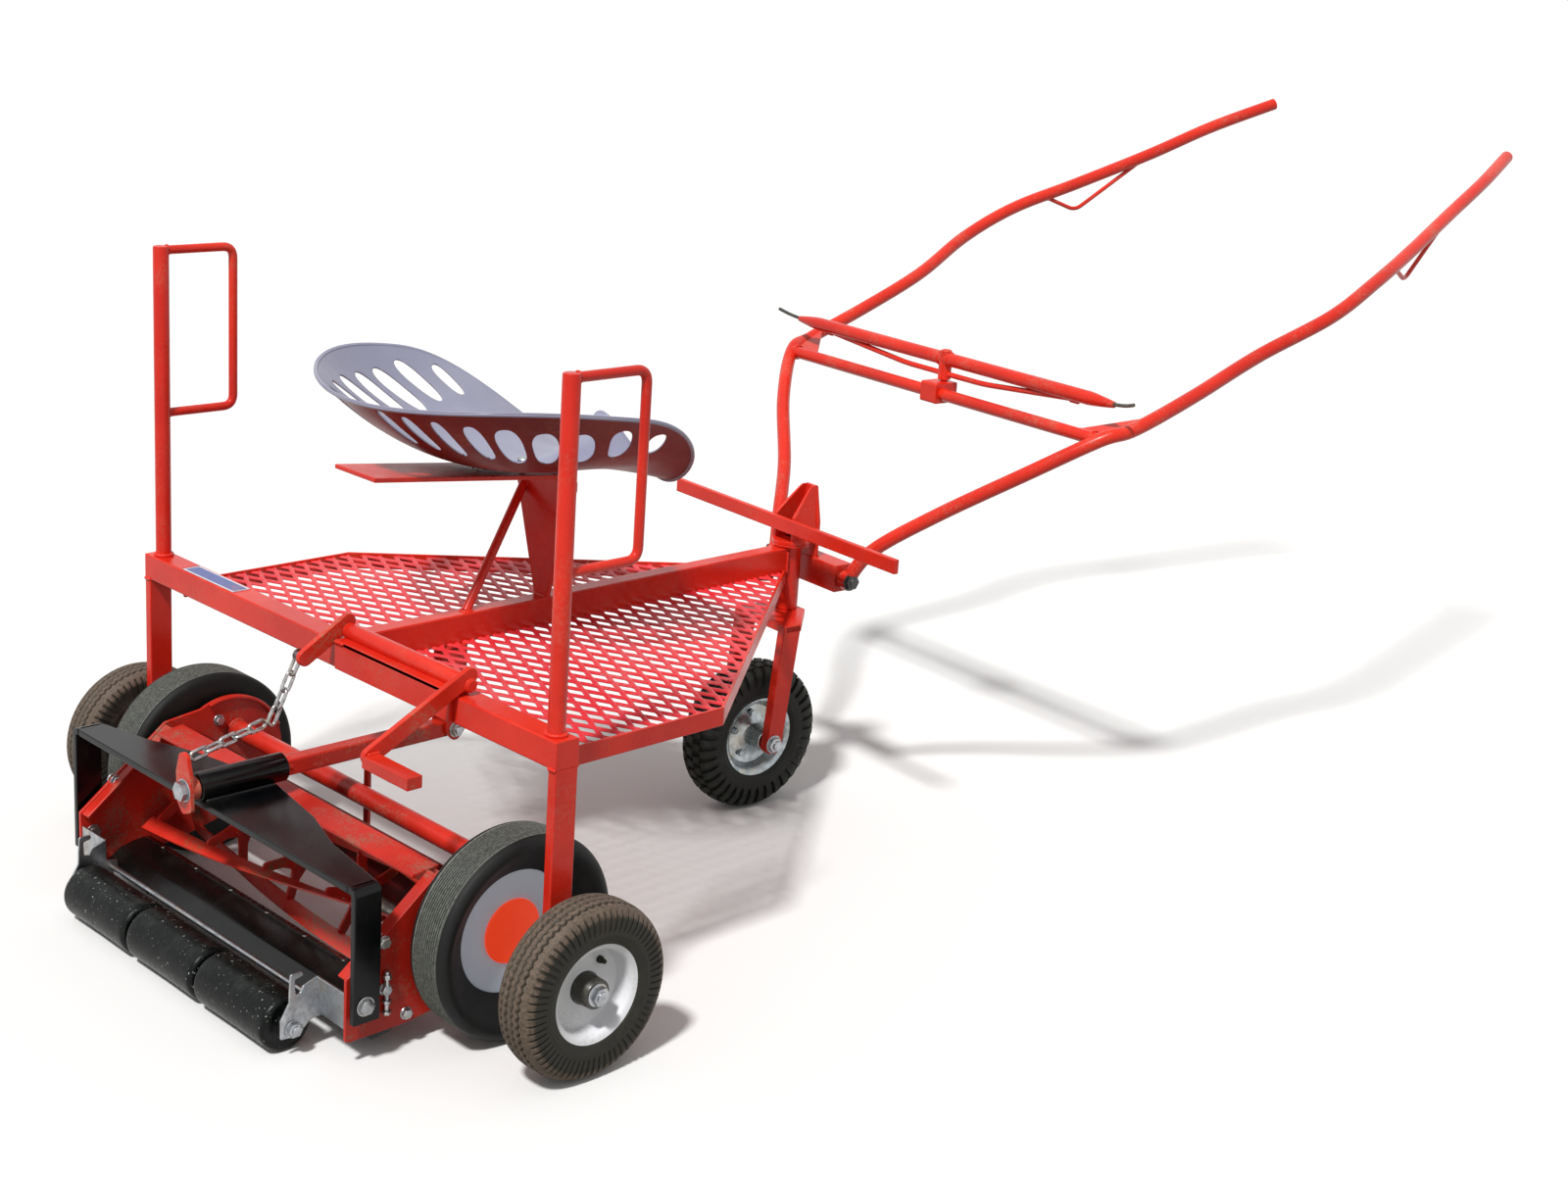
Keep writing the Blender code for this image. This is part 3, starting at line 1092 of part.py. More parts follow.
def swivel_tower(swivel, table_low):
    """Turntable, tower and hinge box as one weldment, with the shafts' bolt and the foot bar."""
    table_top = table_low + TURNTABLE_THICK
    front_x = TURNTABLE_R + 0.002
    wall = 0.006
    table = rod("swivel_head", (0, 0, table_low), (0, 0, table_top), TURNTABLE_R, RED, sides=32)
    cheek = [(-0.017, table_low + 0.002), (front_x + wall, table_low + 0.002),
             (front_x + wall, TOWER_TOP), (0.004, TOWER_TOP), (-0.004, TOWER_TOP - 0.014),
             (-0.017, FOOT_BAR_Z + 0.013)]
    pieces = [table]
    for sign in (1, -1):
        y = sorted((sign * TOWER_HALF, sign * (TOWER_HALF - wall)))
        pieces.append(flat("cheek", cheek, *y, "XZ", RED))
    box_low = HINGE_Z - 0.021
    pieces.append(box("front", (front_x, -TOWER_HALF, box_low), (front_x + wall, TOWER_HALF, TOWER_TOP),
                      RED))
    pieces.append(box("hinge_box", (front_x - 0.002, -HINGE_BOX_HALF, box_low),
                      (HINGE_X + 0.020, HINGE_BOX_HALF, HINGE_Z + 0.022), RED))
    pieces.append(box("table_arm", (0, -TOWER_HALF, table_low), (front_x + wall, TOWER_HALF, table_top),
                      RED))
    joined = combine(pieces)
    hole = rod("hole", (HINGE_X, -0.2, HINGE_Z), (HINGE_X, 0.2, HINGE_Z), HINGE_BOLT_R + GAP, RED)
    fix(swivel, combine([joined, hole], "DIFFERENCE"))

    outer = SHAFT_END_Y + EYE_HALF + RUNNING_GAP
    pieces = [rod("shaft_bolt", (HINGE_X, -outer - 0.010, HINGE_Z), (HINGE_X, outer + 0.010, HINGE_Z),
                  HINGE_BOLT_R, STEEL)]
    for sign in (1, -1):
        pieces.append(rod("nut", (HINGE_X, sign * outer, HINGE_Z),
                          (HINGE_X, sign * (outer + 0.008), HINGE_Z), 0.0125, STEEL, sides=6))
    fix(swivel, combine(pieces))
    bar_x = -0.017 - GAP
    fix(swivel, box("foot_bar", (bar_x - FOOT_BAR_THICK, -FOOT_BAR_HALF, FOOT_BAR_Z - 0.011),
                    (bar_x, FOOT_BAR_HALF, FOOT_BAR_Z + 0.011), RED))


def front_fork(swivel, table_low):
    """Fork with a plate crown and its steering pin, and the axle across its legs."""
    crown_top = HEAD_LOW - RUNNING_GAP
    crown_low = crown_top - FORK_CROWN_THICK
    half_wide = FORK_LEG_WIDE / 2
    half_thick = FORK_LEG_THICK / 2
    left, right = FORK_LEG_Y["left"] + half_thick, -FORK_LEG_Y["right"] - half_thick
    rear_x, front_x, nose_x = FORK_TOP_X - half_wide, FORK_TOP_X + half_wide, HEAD_TUBE_R + 0.004
    outline = [(rear_x, right), (front_x, right), (nose_x, -nose_x), (nose_x, nose_x),
               (front_x, left), (rear_x, left)]
    crown = flat("front_fork", outline, crown_low, crown_top, "XY", RED)
    pin = rod("pin", (0, 0, crown_low + 0.005), (0, 0, table_low - GAP), PIN_R, RED, sides=20)
    foot_z = FRONT_TYRE_R - 0.016
    leg = [(rear_x, crown_top - 0.001), (front_x, crown_top - 0.001),
           (-FRONT_TRAIL + half_wide, foot_z), (-FRONT_TRAIL - half_wide * 0.8, foot_z)]
    pieces = [crown, pin]
    for side, sign in SIDES:
        middle = sign * FORK_LEG_Y[side]
        pieces.append(flat("leg", leg, middle - half_thick, middle + half_thick, "XZ", RED))
    joined = combine(pieces)
    hole = rod("hole", (-FRONT_TRAIL, -0.1, FRONT_TYRE_R), (-FRONT_TRAIL, 0.1, FRONT_TYRE_R),
               AXLE_R + GAP, RED)
    fix(swivel, combine([joined, hole], "DIFFERENCE"))
    ends = [rod("front_axle", (-FRONT_TRAIL, right - GAP - 0.013, FRONT_TYRE_R),
                (-FRONT_TRAIL, left + GAP + 0.010, FRONT_TYRE_R), AXLE_R, ZINC)]
    for face, sign in ((left, 1), (right, -1)):
        ends.append(rod("nut", (-FRONT_TRAIL, face + sign * GAP, FRONT_TYRE_R),
                        (-FRONT_TRAIL, face + sign * (GAP + 0.008), FRONT_TYRE_R), 0.0125, ZINC,
                        sides=6))
    fix(swivel, combine(ends))


def front_end():
    """Everything that steers: the tower and hinge box, the fork and the front wheel."""
    swivel = body("swivel_body", (0, 0, 0), cart, place=(HEAD_X, 0, 0), turn=FRONT_YAW)
    table_low = HEAD_LOW + HEAD_TUBE_TALL + 0.003 + GAP
    swivel_tower(swivel, table_low)
    front_fork(swivel, table_low)
    middle = (FORK_LEG_Y["left"] - FORK_LEG_Y["right"]) / 2
    centre = (-FRONT_TRAIL, middle, FRONT_TYRE_R)
    wheel = body("front_wheel", centre, swivel)
    tyre = turned("front_tyre", tyre_profile(FRONT_TYRE_R, FRONT_TYRE_W, RIM_R, 0.007), centre,
                  RUBBER)
    hub_half = sum(FORK_LEG_Y.values()) / 2 - FORK_LEG_THICK / 2 - 0.001
    rim = turned("front_rim", rim_profile(0.007, FRONT_TYRE_W / 2, AXLE_R + RUNNING_GAP, 0.019,
                                          hub_half, -0.004), centre, ZINC, steps=24)
    fix(wheel, tyre, rim)
    return swivel


def shafts(swivel):
    """Two bent tubes with their eyes, gussets and strap loops, and the crossbar between them."""
    frame_body = body("shafts_body", (HINGE_X, 0, HINGE_Z), swivel)
    steps = 2
    line = smooth_line(SHAFT_LINE, steps)
    tip_x = SHAFT_LINE[-1][0]
    pin_hole = HINGE_BOLT_R + RUNNING_GAP
    cutters = []
    for side, sign in SIDES:
        points = []
        for x, y, z in line:
            share = max(0.0, x - CROSSBAR_X) / (tip_x - CROSSBAR_X)
            points.append((x, sign * y, z + sign * SHAFT_TWIST * share ** 3))
        pieces = [bent_rod(f"{side}_shaft", points, SHAFT_R, RED, sides_level=3)]
        cutters.append(bent_rod("cope", points[2 * steps:6 * steps], SHAFT_R + GAP, RED, sides_level=3))
        pieces.append(turned("eye", ring_profile(0.004, 0.015, -EYE_HALF, EYE_HALF),
                             (HINGE_X, sign * SHAFT_END_Y, HINGE_Z), RED, steps=24))
        pieces.append(gusset(sign))
        near, far = Vector(points[LOOP_NEAR]), Vector(points[LOOP_NEAR + steps + 1])
        apex = near.lerp(far, 0.3) - Vector((0, sign * 0.006, LOOP_DROP))
        pieces.append(bent_rod("strap_loop", [near, apex, far], 0.0038, RED, sides_level=1))
        joined = combine(pieces)
        outside = SHAFT_END_Y + EYE_HALF
        hole = rod("hole", (HINGE_X, sign * 0.05, HINGE_Z), (HINGE_X, sign * 0.12, HINGE_Z),
                   pin_hole, RED, sides=20)
        trims = [box("inner_trim", *corners((HINGE_X - 0.05, sign * (SHAFT_END_Y - EYE_HALF), HINGE_Z - 0.05),
                                            (HINGE_X + 0.05, sign * 0.04, HINGE_Z + 0.03)), RED),
                 box("outer_trim", *corners((HINGE_X - 0.05, sign * outside, HINGE_Z - 0.05),
                                            (HINGE_X + 0.05, sign * (outside + 0.03), HINGE_Z + 0.016)),
                     RED)]
        fix(frame_body, combine([joined, hole, *trims], "DIFFERENCE"))

    end_y = CROSSBAR_HALF
    bar = rod("shaft_crossbar", (CROSSBAR_X, -end_y, CROSSBAR_Z), (CROSSBAR_X, end_y, CROSSBAR_Z),
              CROSSBAR_R, RED)
    fix(frame_body, combine([bar, *cutters], "DIFFERENCE"))

    block = box("singletree_pin", (CROSSBAR_X - 0.016, -0.018, CROSSBAR_Z - 0.015),
                (TREE_X + 0.014, 0.018, CROSSBAR_Z + 0.018), RED)
    pin = rod("pin", (TREE_X, 0, CROSSBAR_Z + 0.010), (TREE_X, 0, TREE_Z + 0.026), TREE_PIN_R, RED)
    cap = rod("cap", (TREE_X, 0, TREE_Z + 0.018), (TREE_X, 0, TREE_Z + 0.026), 0.010, RED, sides=12)
    joined = combine([block, pin, cap])
    hole = rod("hole", (CROSSBAR_X, -0.05, CROSSBAR_Z), (CROSSBAR_X, 0.05, CROSSBAR_Z),
               CROSSBAR_R + GAP, RED)
    fix(frame_body, combine([joined, hole], "DIFFERENCE"))
    singletree(frame_body)


def gusset(sign):
    """Triangular plate in front of the crossbar, in the plane of the shafts."""
    base = CROSSBAR_X + CROSSBAR_R + 0.0015
    outline = [(base, sign * (CROSSBAR_HALF - 0.055)), (base, sign * CROSSBAR_HALF),
               (base + 0.078, sign * (CROSSBAR_HALF + 0.019))]
    web = flat("gusset", outline, -0.002, 0.002, "XY", RED)
    web.rotation_euler = (0, -radians(20), 0)
    turn = web.rotation_euler.to_matrix()
    web.location = Vector((CROSSBAR_X, 0, CROSSBAR_Z)) - turn @ Vector((CROSSBAR_X, 0, 0))
    return web


def corners(one, other):
    """Low and high corner of the block between two points."""
    pairs = [sorted(pair) for pair in zip(one, other)]
    return [low for low, high in pairs], [high for low, high in pairs]


def singletree(frame_body):
    """Tube with tapered ends, a truss rod under it and a hook for each trace."""
    tree = body("singletree_body", (TREE_X, 0, TREE_Z), frame_body)
    pieces = [rod("singletree", (TREE_X, -TREE_HALF + 0.05, TREE_Z), (TREE_X, TREE_HALF - 0.05, TREE_Z),
                  TREE_R, RED)]
    for sign in (1, -1):
        pieces.append(rod("end", (TREE_X, sign * (TREE_HALF - 0.052), TREE_Z),
                          (TREE_X, sign * TREE_HALF, TREE_Z), TREE_R, RED, end_radius=0.005))
        line = [(0.0, TREE_HALF - 0.005, 0.0), (-0.004, TREE_HALF + 0.024, 0.004),
                (-0.010, TREE_HALF + 0.046, 0.010)]
        line = [(TREE_X + x, sign * y, TREE_Z + z) for x, y, z in line]
        pieces.append(bent_rod("hook", line, 0.003, STEEL, sides_level=1))
    dip = TREE_Z - 0.024
    truss = [(TREE_X, -0.300, TREE_Z - 0.006), (TREE_X, -0.090, dip), (TREE_X, 0.090, dip),
             (TREE_X, 0.300, TREE_Z - 0.006)]
    pieces.append(bent_rod("truss", truss, 0.0045, RED))
    pieces.append(rod("boss", (TREE_X, 0, TREE_Z - 0.033), (TREE_X, 0, TREE_Z + 0.0165), 0.014, RED,
                      sides=20))
    joined = combine(pieces)
    hole = rod("hole", (TREE_X, 0, TREE_Z - 0.05), (TREE_X, 0, TREE_Z + 0.05),
               TREE_PIN_R + RUNNING_GAP, RED)
    fix(tree, combine([joined, hole], "DIFFERENCE"))


frame()
cart_wheels()
handrails()
platform()
seat()
lever_body = lift_gear()
draft_body = draft_gear()
chain(lever_body, draft_body)
yoke_body = yoke_frame(draft_body)
mower_body = mower_frame(yoke_body)
reel(mower_body)
mower_wheels(mower_body)
rollers(mower_body)
swivel_body = front_end()
shafts(swivel_body)
bpy.context.view_layer.update()
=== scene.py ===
"""Looks of a pony-drawn reel mower: a riding cart on two rubber tyres and a swivelling front
wheel, with a reel cutter towed and lifted beneath it. Lengths are in metres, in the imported
model's frame, and the pieces follow the order in which the machine is put together."""

import bmesh
import bpy
import numpy as np
from mathutils import Matrix, Vector


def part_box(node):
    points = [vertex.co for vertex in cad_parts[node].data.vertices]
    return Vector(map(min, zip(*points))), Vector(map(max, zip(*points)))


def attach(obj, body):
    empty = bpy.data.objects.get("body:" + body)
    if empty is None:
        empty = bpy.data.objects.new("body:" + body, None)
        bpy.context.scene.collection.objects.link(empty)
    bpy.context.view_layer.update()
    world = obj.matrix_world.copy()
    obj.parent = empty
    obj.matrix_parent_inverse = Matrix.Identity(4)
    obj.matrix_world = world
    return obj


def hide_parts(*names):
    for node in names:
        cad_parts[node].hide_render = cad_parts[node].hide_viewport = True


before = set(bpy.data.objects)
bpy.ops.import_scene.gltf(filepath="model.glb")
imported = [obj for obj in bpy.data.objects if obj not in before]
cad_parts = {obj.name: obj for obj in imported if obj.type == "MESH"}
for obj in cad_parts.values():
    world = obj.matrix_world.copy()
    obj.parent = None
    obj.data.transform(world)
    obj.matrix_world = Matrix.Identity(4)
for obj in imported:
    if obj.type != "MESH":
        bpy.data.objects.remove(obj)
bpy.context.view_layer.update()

# The picture: taken by hand from behind the right rear wheel, a little above the seat, with a
# normal lens and tilted by four degrees. The stand point is measured from the ground under the
# middle of the rear axle.
AXLE_X = sum(corner.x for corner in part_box("left_cart_rim")) / 2
LENS_MM, SENSOR_MM = 51.32, 36.0
STAND_POINT = np.array((-1.6088, -2.3229, 1.3491))
LOOK_AROUND, LOOK_DOWN, TILT = np.radians((43.592, 16.655, 4.201))

ahead = np.array((np.cos(LOOK_AROUND) * np.cos(LOOK_DOWN),
                  np.sin(LOOK_AROUND) * np.cos(LOOK_DOWN), -np.sin(LOOK_DOWN)))
level = np.array((np.sin(LOOK_AROUND), -np.cos(LOOK_AROUND), 0.0))
over = np.cross(level, ahead)
axes = np.column_stack((np.cos(TILT) * level + np.sin(TILT) * over,
                        np.cos(TILT) * over - np.sin(TILT) * level, -ahead))
camera = bpy.data.objects.new("camera", bpy.data.cameras.new("camera"))
camera.data.lens = LENS_MM
camera.data.sensor_width = SENSOR_MM
camera.data.clip_end = 300.0
camera.matrix_world = (Matrix.Translation(STAND_POINT + np.array((AXLE_X, 0, 0)))
                       @ Matrix(axes.tolist()).to_4x4())
bpy.context.scene.collection.objects.link(camera)
bpy.context.scene.camera = camera
bpy.context.scene.view_settings.view_transform = "Standard"


# The studio: a pale matt floor, an even pale surround and one broad lamp high behind the machine
# and a little to its right, where the sun stood. The surround is white to the eye and in
# reflections, and the floor throws back less light than it shows, as mown grass would.
FLOOR_REACH = 120.0
FLOOR_COLOUR, FLOOR_RETURN = "#F4F3F1", "#8E8D86"
SURROUND_LIGHT = 0.40
SUN_STRENGTH = 3.0
SUN_SOFTNESS = np.radians(6)
SUN_FROM = Vector((-0.66, -0.24, 1.0))


def linear(code):
    """An sRGB hex colour as linear red, green, blue and an alpha of 1."""
    srgb = np.array([int(code[i:i + 2], 16) for i in (1, 3, 5)]) / 255
    value = np.where(srgb <= 0.04045, srgb / 12.92, ((srgb + 0.055) / 1.055) ** 2.4)
    return (*value.tolist(), 1.0)


def fill(node, inputs):
    """Sets a node's inputs, by name or number, each to a value or to a link."""
    for name, value in inputs.items():
        if isinstance(value, bpy.types.NodeSocket):
            node.id_data.links.new(value, node.inputs[name])
        else:
            node.inputs[name].default_value = value


def add(tree, kind, inputs=None, **settings):
    """Adds one node with its settings and its inputs."""
    made = tree.nodes.new(kind)
    for name, value in settings.items():
        setattr(made, name, value)
    fill(made, inputs or {})
    return made


def shown(tree):
    """1 for rays from the eye and for those it sees in metal or through glass, and else 0."""
    ray = add(tree, "ShaderNodeLightPath")
    seen = add(tree, "ShaderNodeMath", {0: ray.outputs["Is Camera Ray"],
                                        1: ray.outputs["Is Glossy Ray"]}, operation="MAXIMUM")
    seen = add(tree, "ShaderNodeMath", {0: seen.outputs[0], 1: ray.outputs["Is Transmission Ray"]},
               operation="MAXIMUM")
    return seen.outputs[0]


def new_surface(name):
    """A new material, with its node tree, its shader and the place on the piece in metres."""
    made = bpy.data.materials.new(name)
    made.use_nodes = True
    tree = made.node_tree
    return made, tree, tree.nodes["Principled BSDF"], add(tree, "ShaderNodeTexCoord").outputs["Object"]


def plain_floor():
    """A matt surface, pale where it is seen, and darker in the light it returns."""
    made, tree, shader, where = new_surface("matt_floor_paint")
    tone = add(tree, "ShaderNodeMix", {0: shown(tree), 6: linear(FLOOR_RETURN),
                                       7: linear(FLOOR_COLOUR)}, data_type="RGBA")
    fill(shader, {"Base Color": tone.outputs[2], "Roughness": 0.95, "Specular IOR Level": 0.1})
    return made


floor_mesh = bpy.data.meshes.new("floor")
corners = [(x * FLOOR_REACH, y * FLOOR_REACH, 0) for x, y in ((-1, -1), (1, -1), (1, 1), (-1, 1))]
floor_mesh.from_pydata(corners, [], [(0, 1, 2, 3)])
floor_mesh.materials.append(plain_floor())
floor = bpy.data.objects.new("floor", floor_mesh)
bpy.context.scene.collection.objects.link(floor)

world = bpy.data.worlds.new("studio")
world.use_nodes = True
bpy.context.scene.world = world
sky = world.node_tree
sky.nodes.clear()
lit = add(sky, "ShaderNodeBackground", {"Color": linear("#FFFFFF"), "Strength": SURROUND_LIGHT})
white = add(sky, "ShaderNodeBackground", {"Color": linear("#FFFFFF"), "Strength": 1.0})
both = add(sky, "ShaderNodeMixShader", {0: shown(sky), 1: lit.outputs[0], 2: white.outputs[0]})
add(sky, "ShaderNodeOutputWorld", {"Surface": both.outputs[0]})

sun = bpy.data.objects.new("sun", bpy.data.lights.new("sun", "SUN"))
sun.data.energy = SUN_STRENGTH
sun.data.angle = SUN_SOFTNESS
sun.matrix_world = SUN_FROM.to_track_quat("Z", "Y").to_matrix().to_4x4()
bpy.context.scene.collection.objects.link(sun)


# Cart frame: a rectangular crossbeam on two flat posts, and a centre beam welded to its front.
# Mild steel tube and bar, sprayed with red gloss enamel, which pools a little at the welds.
RED, RED_DEEP = "#E5311D", "#CF2415"
EDGE = 0.0022
POST_THICK = 0.014
SIDES = (("left", 1), ("right", -1))


def enamel(name, colour, deep, rough=(0.22, 0.38), peel_mm=2.4, dust=0.06, dust_colour="#B97C68",
           shine=0.26):
    """Sprayed gloss enamel on steel: the colour drifts over about 180 mm, the film has the fine
    waves of orange peel, and a little grey-brown dust dulls it in specks of some 5 mm."""
    made, tree, shader, where = new_surface(name)
    drift = add(tree, "ShaderNodeTexNoise", {"Vector": where, "Scale": 1 / 0.18, "Detail": 4.0,
                                             "Roughness": 0.6})
    share = add(tree, "ShaderNodeMapRange", {"Value": drift.outputs[0], "From Min": 0.38,
                                             "From Max": 0.62})
    film = add(tree, "ShaderNodeMix", {0: share.outputs[0], 6: linear(colour), 7: linear(deep)},
               data_type="RGBA")
    specks = add(tree, "ShaderNodeTexNoise", {"Vector": where, "Scale": 1 / 0.005, "Detail": 6.0,
                                              "Roughness": 0.7})
    patch = add(tree, "ShaderNodeTexNoise", {"Vector": where, "Scale": 1 / 0.07, "Detail": 3.0})
    grime = add(tree, "ShaderNodeMath", {0: specks.outputs[0], 1: patch.outputs[0]},
                operation="MULTIPLY")
    grime = add(tree, "ShaderNodeMapRange", {"Value": grime.outputs[0], "From Min": 0.27,
                                             "From Max": 0.42, "To Max": dust * 4})
    dusty = add(tree, "ShaderNodeMix", {0: grime.outputs[0], 6: film.outputs[2],
                                        7: linear(dust_colour)}, data_type="RGBA")
    gloss = add(tree, "ShaderNodeMapRange", {"Value": patch.outputs[0], "From Min": 0.3,
                                             "From Max": 0.7, "To Min": rough[0],
                                             "To Max": rough[1]})
    waves = add(tree, "ShaderNodeTexNoise", {"Vector": where, "Scale": 1000 / peel_mm, "Detail": 1.5})
    bump = add(tree, "ShaderNodeBump", {"Height": waves.outputs[0], "Strength": 0.22,
                                        "Distance": 0.0002})
    fill(shader, {"Base Color": dusty.outputs[2], "Roughness": gloss.outputs[0],
                  "Normal": bump.outputs[0], "Specular IOR Level": shine,
                  "Coat Weight": 0.2 * shine, "Coat Roughness": 0.12})
    return made


def box_of(node):
    """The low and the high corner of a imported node's box."""
    return [np.array(corner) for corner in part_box(node)]


def unit(vector):
    """The vector at length 1."""
    vector = np.asarray(vector, float)
    return vector / np.linalg.norm(vector)


def circle(turn):
    """The points of a unit circle at these turns, in a plane."""
    return np.stack((np.cos(turn), np.sin(turn)), -1)


def lattice(points, wrap_rows=False, ends=False):
    """Quads over a grid of points, rows by columns. Each row closes on itself, the last row
    joins the first if asked, and the first and last get a flat end if asked."""
    rows, columns = points.shape[:2]
    index = np.arange(rows * columns).reshape(rows, columns)
    caps = [index[0][::-1].tolist(), index[-1].tolist()] if ends else []
    if wrap_rows:
        index = np.vstack((index, index[:1]))
    index = np.hstack((index, index[:, :1]))
    quads = np.stack((index[:-1, :-1], index[:-1, 1:], index[1:, 1:], index[1:, :-1]), -1)
    return points.reshape(-1, 3), quads.reshape(-1, 4).tolist() + caps


def piece(name, shells, material, body, nodes=(), sharp=38):
    """One mesh from closed shells: doubles merged, normals turned outwards, smooth shaded with
    its sharp corners kept. It rides on a body and stands for the named nodes."""
    points, faces, start = [], [], 0
    for shell, polygons in shells:
        points.append(shell)
        faces += [[corner + start for corner in polygon] for polygon in polygons]
        start += len(shell)
    mesh = bpy.data.meshes.new(name)
    mesh.from_pydata(np.concatenate(points).tolist(), [], faces)
    shape = bmesh.new()
    shape.from_mesh(mesh)
    bmesh.ops.remove_doubles(shape, verts=shape.verts, dist=0.000002)
    bmesh.ops.recalc_face_normals(shape, faces=shape.faces)
    shape.to_mesh(mesh)
    shape.free()
    mesh.shade_smooth()
    mesh.set_sharp_from_angle(angle=np.radians(sharp))
    mesh.materials.append(material)
    made = bpy.data.objects.new(name, mesh)
    bpy.context.scene.collection.objects.link(made)
    if nodes:
        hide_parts(*nodes)
    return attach(made, body) or made


def rounded(corners, radius):
    """A closed outline with an arc at each corner. A point just before and just after each arc
    keeps the flat sides flat when the shape is shaded smooth."""
    corners = np.asarray(corners, float)
    share, hold = np.linspace(0, 1, 4)[:, None], 0.0004
    line = []
    for before, here, after in zip(np.roll(corners, 1, axis=0), corners, np.roll(corners, -1, axis=0)):
        back, on = before - here, after - here
        long_back, long_on = np.linalg.norm(back), np.linalg.norm(on)
        back, on = back / long_back, on / long_on
        opening = np.arccos(np.clip(back @ on, -1, 1))
        if opening > np.radians(160):
            line.append(here)
            continue
        cut = min(radius / np.tan(opening / 2), 0.42 * long_back, 0.42 * long_on)
        arc = ((1 - share) ** 2 * (here + back * cut) + 2 * share * (1 - share) * here
               + share ** 2 * (here + on * cut))
        line += [here + back * (cut + hold), *arc, here + on * (cut + hold)]
    return np.array(line)


def slab(outline, low, high, plane, edge=0.0007, hold=0.0004):
    """A plate: an outline in the XZ, XY or YZ plane carried from low to high across it. At each
    face the outline draws in on a quarter circle, which rounds the edges."""
    outline = np.asarray(outline, float)
    ahead = np.roll(outline, -1, axis=0) - outline
    area = np.sum(outline[:, 0] * ahead[:, 1] - outline[:, 1] * ahead[:, 0])
    ahead /= np.maximum(np.linalg.norm(ahead, axis=1), 1e-9)[:, None]
    out = np.stack((ahead[:, 1], -ahead[:, 0]), -1) * np.sign(area)
    before = np.roll(out, 1, axis=0)
    mitre = (out + before) / np.maximum(1 + np.sum(out * before, axis=1), 0.4)[:, None]
    turn = np.linspace(0, np.pi / 2, 4)
    inset = np.concatenate(([edge + hold], edge * (1 - np.sin(turn)), [0.0]))
    place = np.concatenate(([0.0], edge * (1 - np.cos(turn)), [edge + hold]))
    low, high = min(low, high), max(low, high)
    inset = np.concatenate((inset, inset[::-1]))
    place = np.concatenate((low + place, high - place[::-1]))
    grid = np.empty((len(place), len(outline), 3))
    first, second, across = {"XZ": (0, 2, 1), "XY": (0, 1, 2), "YZ": (1, 2, 0)}[plane]
    flat = outline[None] - inset[:, None, None] * mitre[None]
    grid[..., first] = flat[..., 0]
    grid[..., second] = flat[..., 1]
    grid[..., across] = place[:, None]
    return lattice(grid, ends=True)


def bar(low, high, along, edge=EDGE):
    """A rectangular tube or bar with rounded corners, carried along one axis."""
    low, high = np.minimum(low, high), np.maximum(low, high)
    run = "XYZ".index(along)
    first, second = [i for i in range(3) if i != run]
    corners = [(low[first], low[second]), (high[first], low[second]),
               (high[first], high[second]), (low[first], high[second])]
    plane = {"Y": "XZ", "Z": "XY", "X": "YZ"}[along]
    return slab(rounded(corners, edge), low[run], high[run], plane)


def tube(path, radius, sides, closed=False):
    """A circle carried along a path. Each ring lies across the path, and its first spoke is
    turned from one ring to the next by no more than the bend asks."""
    path = np.asarray(path, float)
    if closed:
        run = np.roll(path, -1, axis=0) - np.roll(path, 1, axis=0)
    else:
        run = np.gradient(path, axis=0)
    run /= np.linalg.norm(run, axis=1)[:, None]
    spoke = np.cross(run[0], (0.31, 0.52, 0.79))
    spokes = []
    for way in run:
        spoke = unit(spoke - way * (spoke @ way))
        spokes.append(spoke)
    spokes = np.array(spokes)
    other = np.cross(run, spokes)
    angles = np.linspace(0, 2 * np.pi, sides, endpoint=False)[None, :, None]
    thick = np.broadcast_to(np.asarray(radius, float), (len(path),))[:, None, None]
    grid = path[:, None] + thick * (np.cos(angles) * spokes[:, None] + np.sin(angles) * other[:, None])
    return lattice(grid, wrap_rows=closed, ends=not closed)


def weld(path, radius):
    """A bead of weld: a circle carried along a path, swelling once for each puddle."""
    pitch = 0.0028
    path = np.asarray(path, float)
    steps = np.linalg.norm(np.diff(path, axis=0), axis=1)
    length = np.concatenate(([0], np.cumsum(steps)))
    fine = np.linspace(0, length[-1], max(8, int(length[-1] / pitch * 5)))
    line = np.stack([np.interp(fine, length, path[:, i]) for i in range(3)], -1)
    swell = radius * (0.92 + 0.16 * np.abs(np.sin(np.pi * fine / pitch)))
    swell = swell * np.clip(np.minimum(fine, length[-1] - fine) / radius + 0.25, 0.25, 1) ** 0.5
    return tube(line, swell, sides=10)


def spokes(axis, turn):
    """The axis at unit length, and the unit spoke across it at each turn."""
    axis = unit(axis)
    side = unit(np.cross(axis, (0.0, 0.0, 1.0) if abs(axis[2]) < 0.9 else (1.0, 0.0, 0.0)))
    return axis, np.cos(turn)[:, None] * side + np.sin(turn)[:, None] * np.cross(axis, side)


def ring_weld(centre, axis, radius, bead):
    """A bead of weld all round a rod or a tube."""
    return weld(np.asarray(centre) + radius * spokes(axis, np.linspace(0, 2 * np.pi, 48))[1], bead)


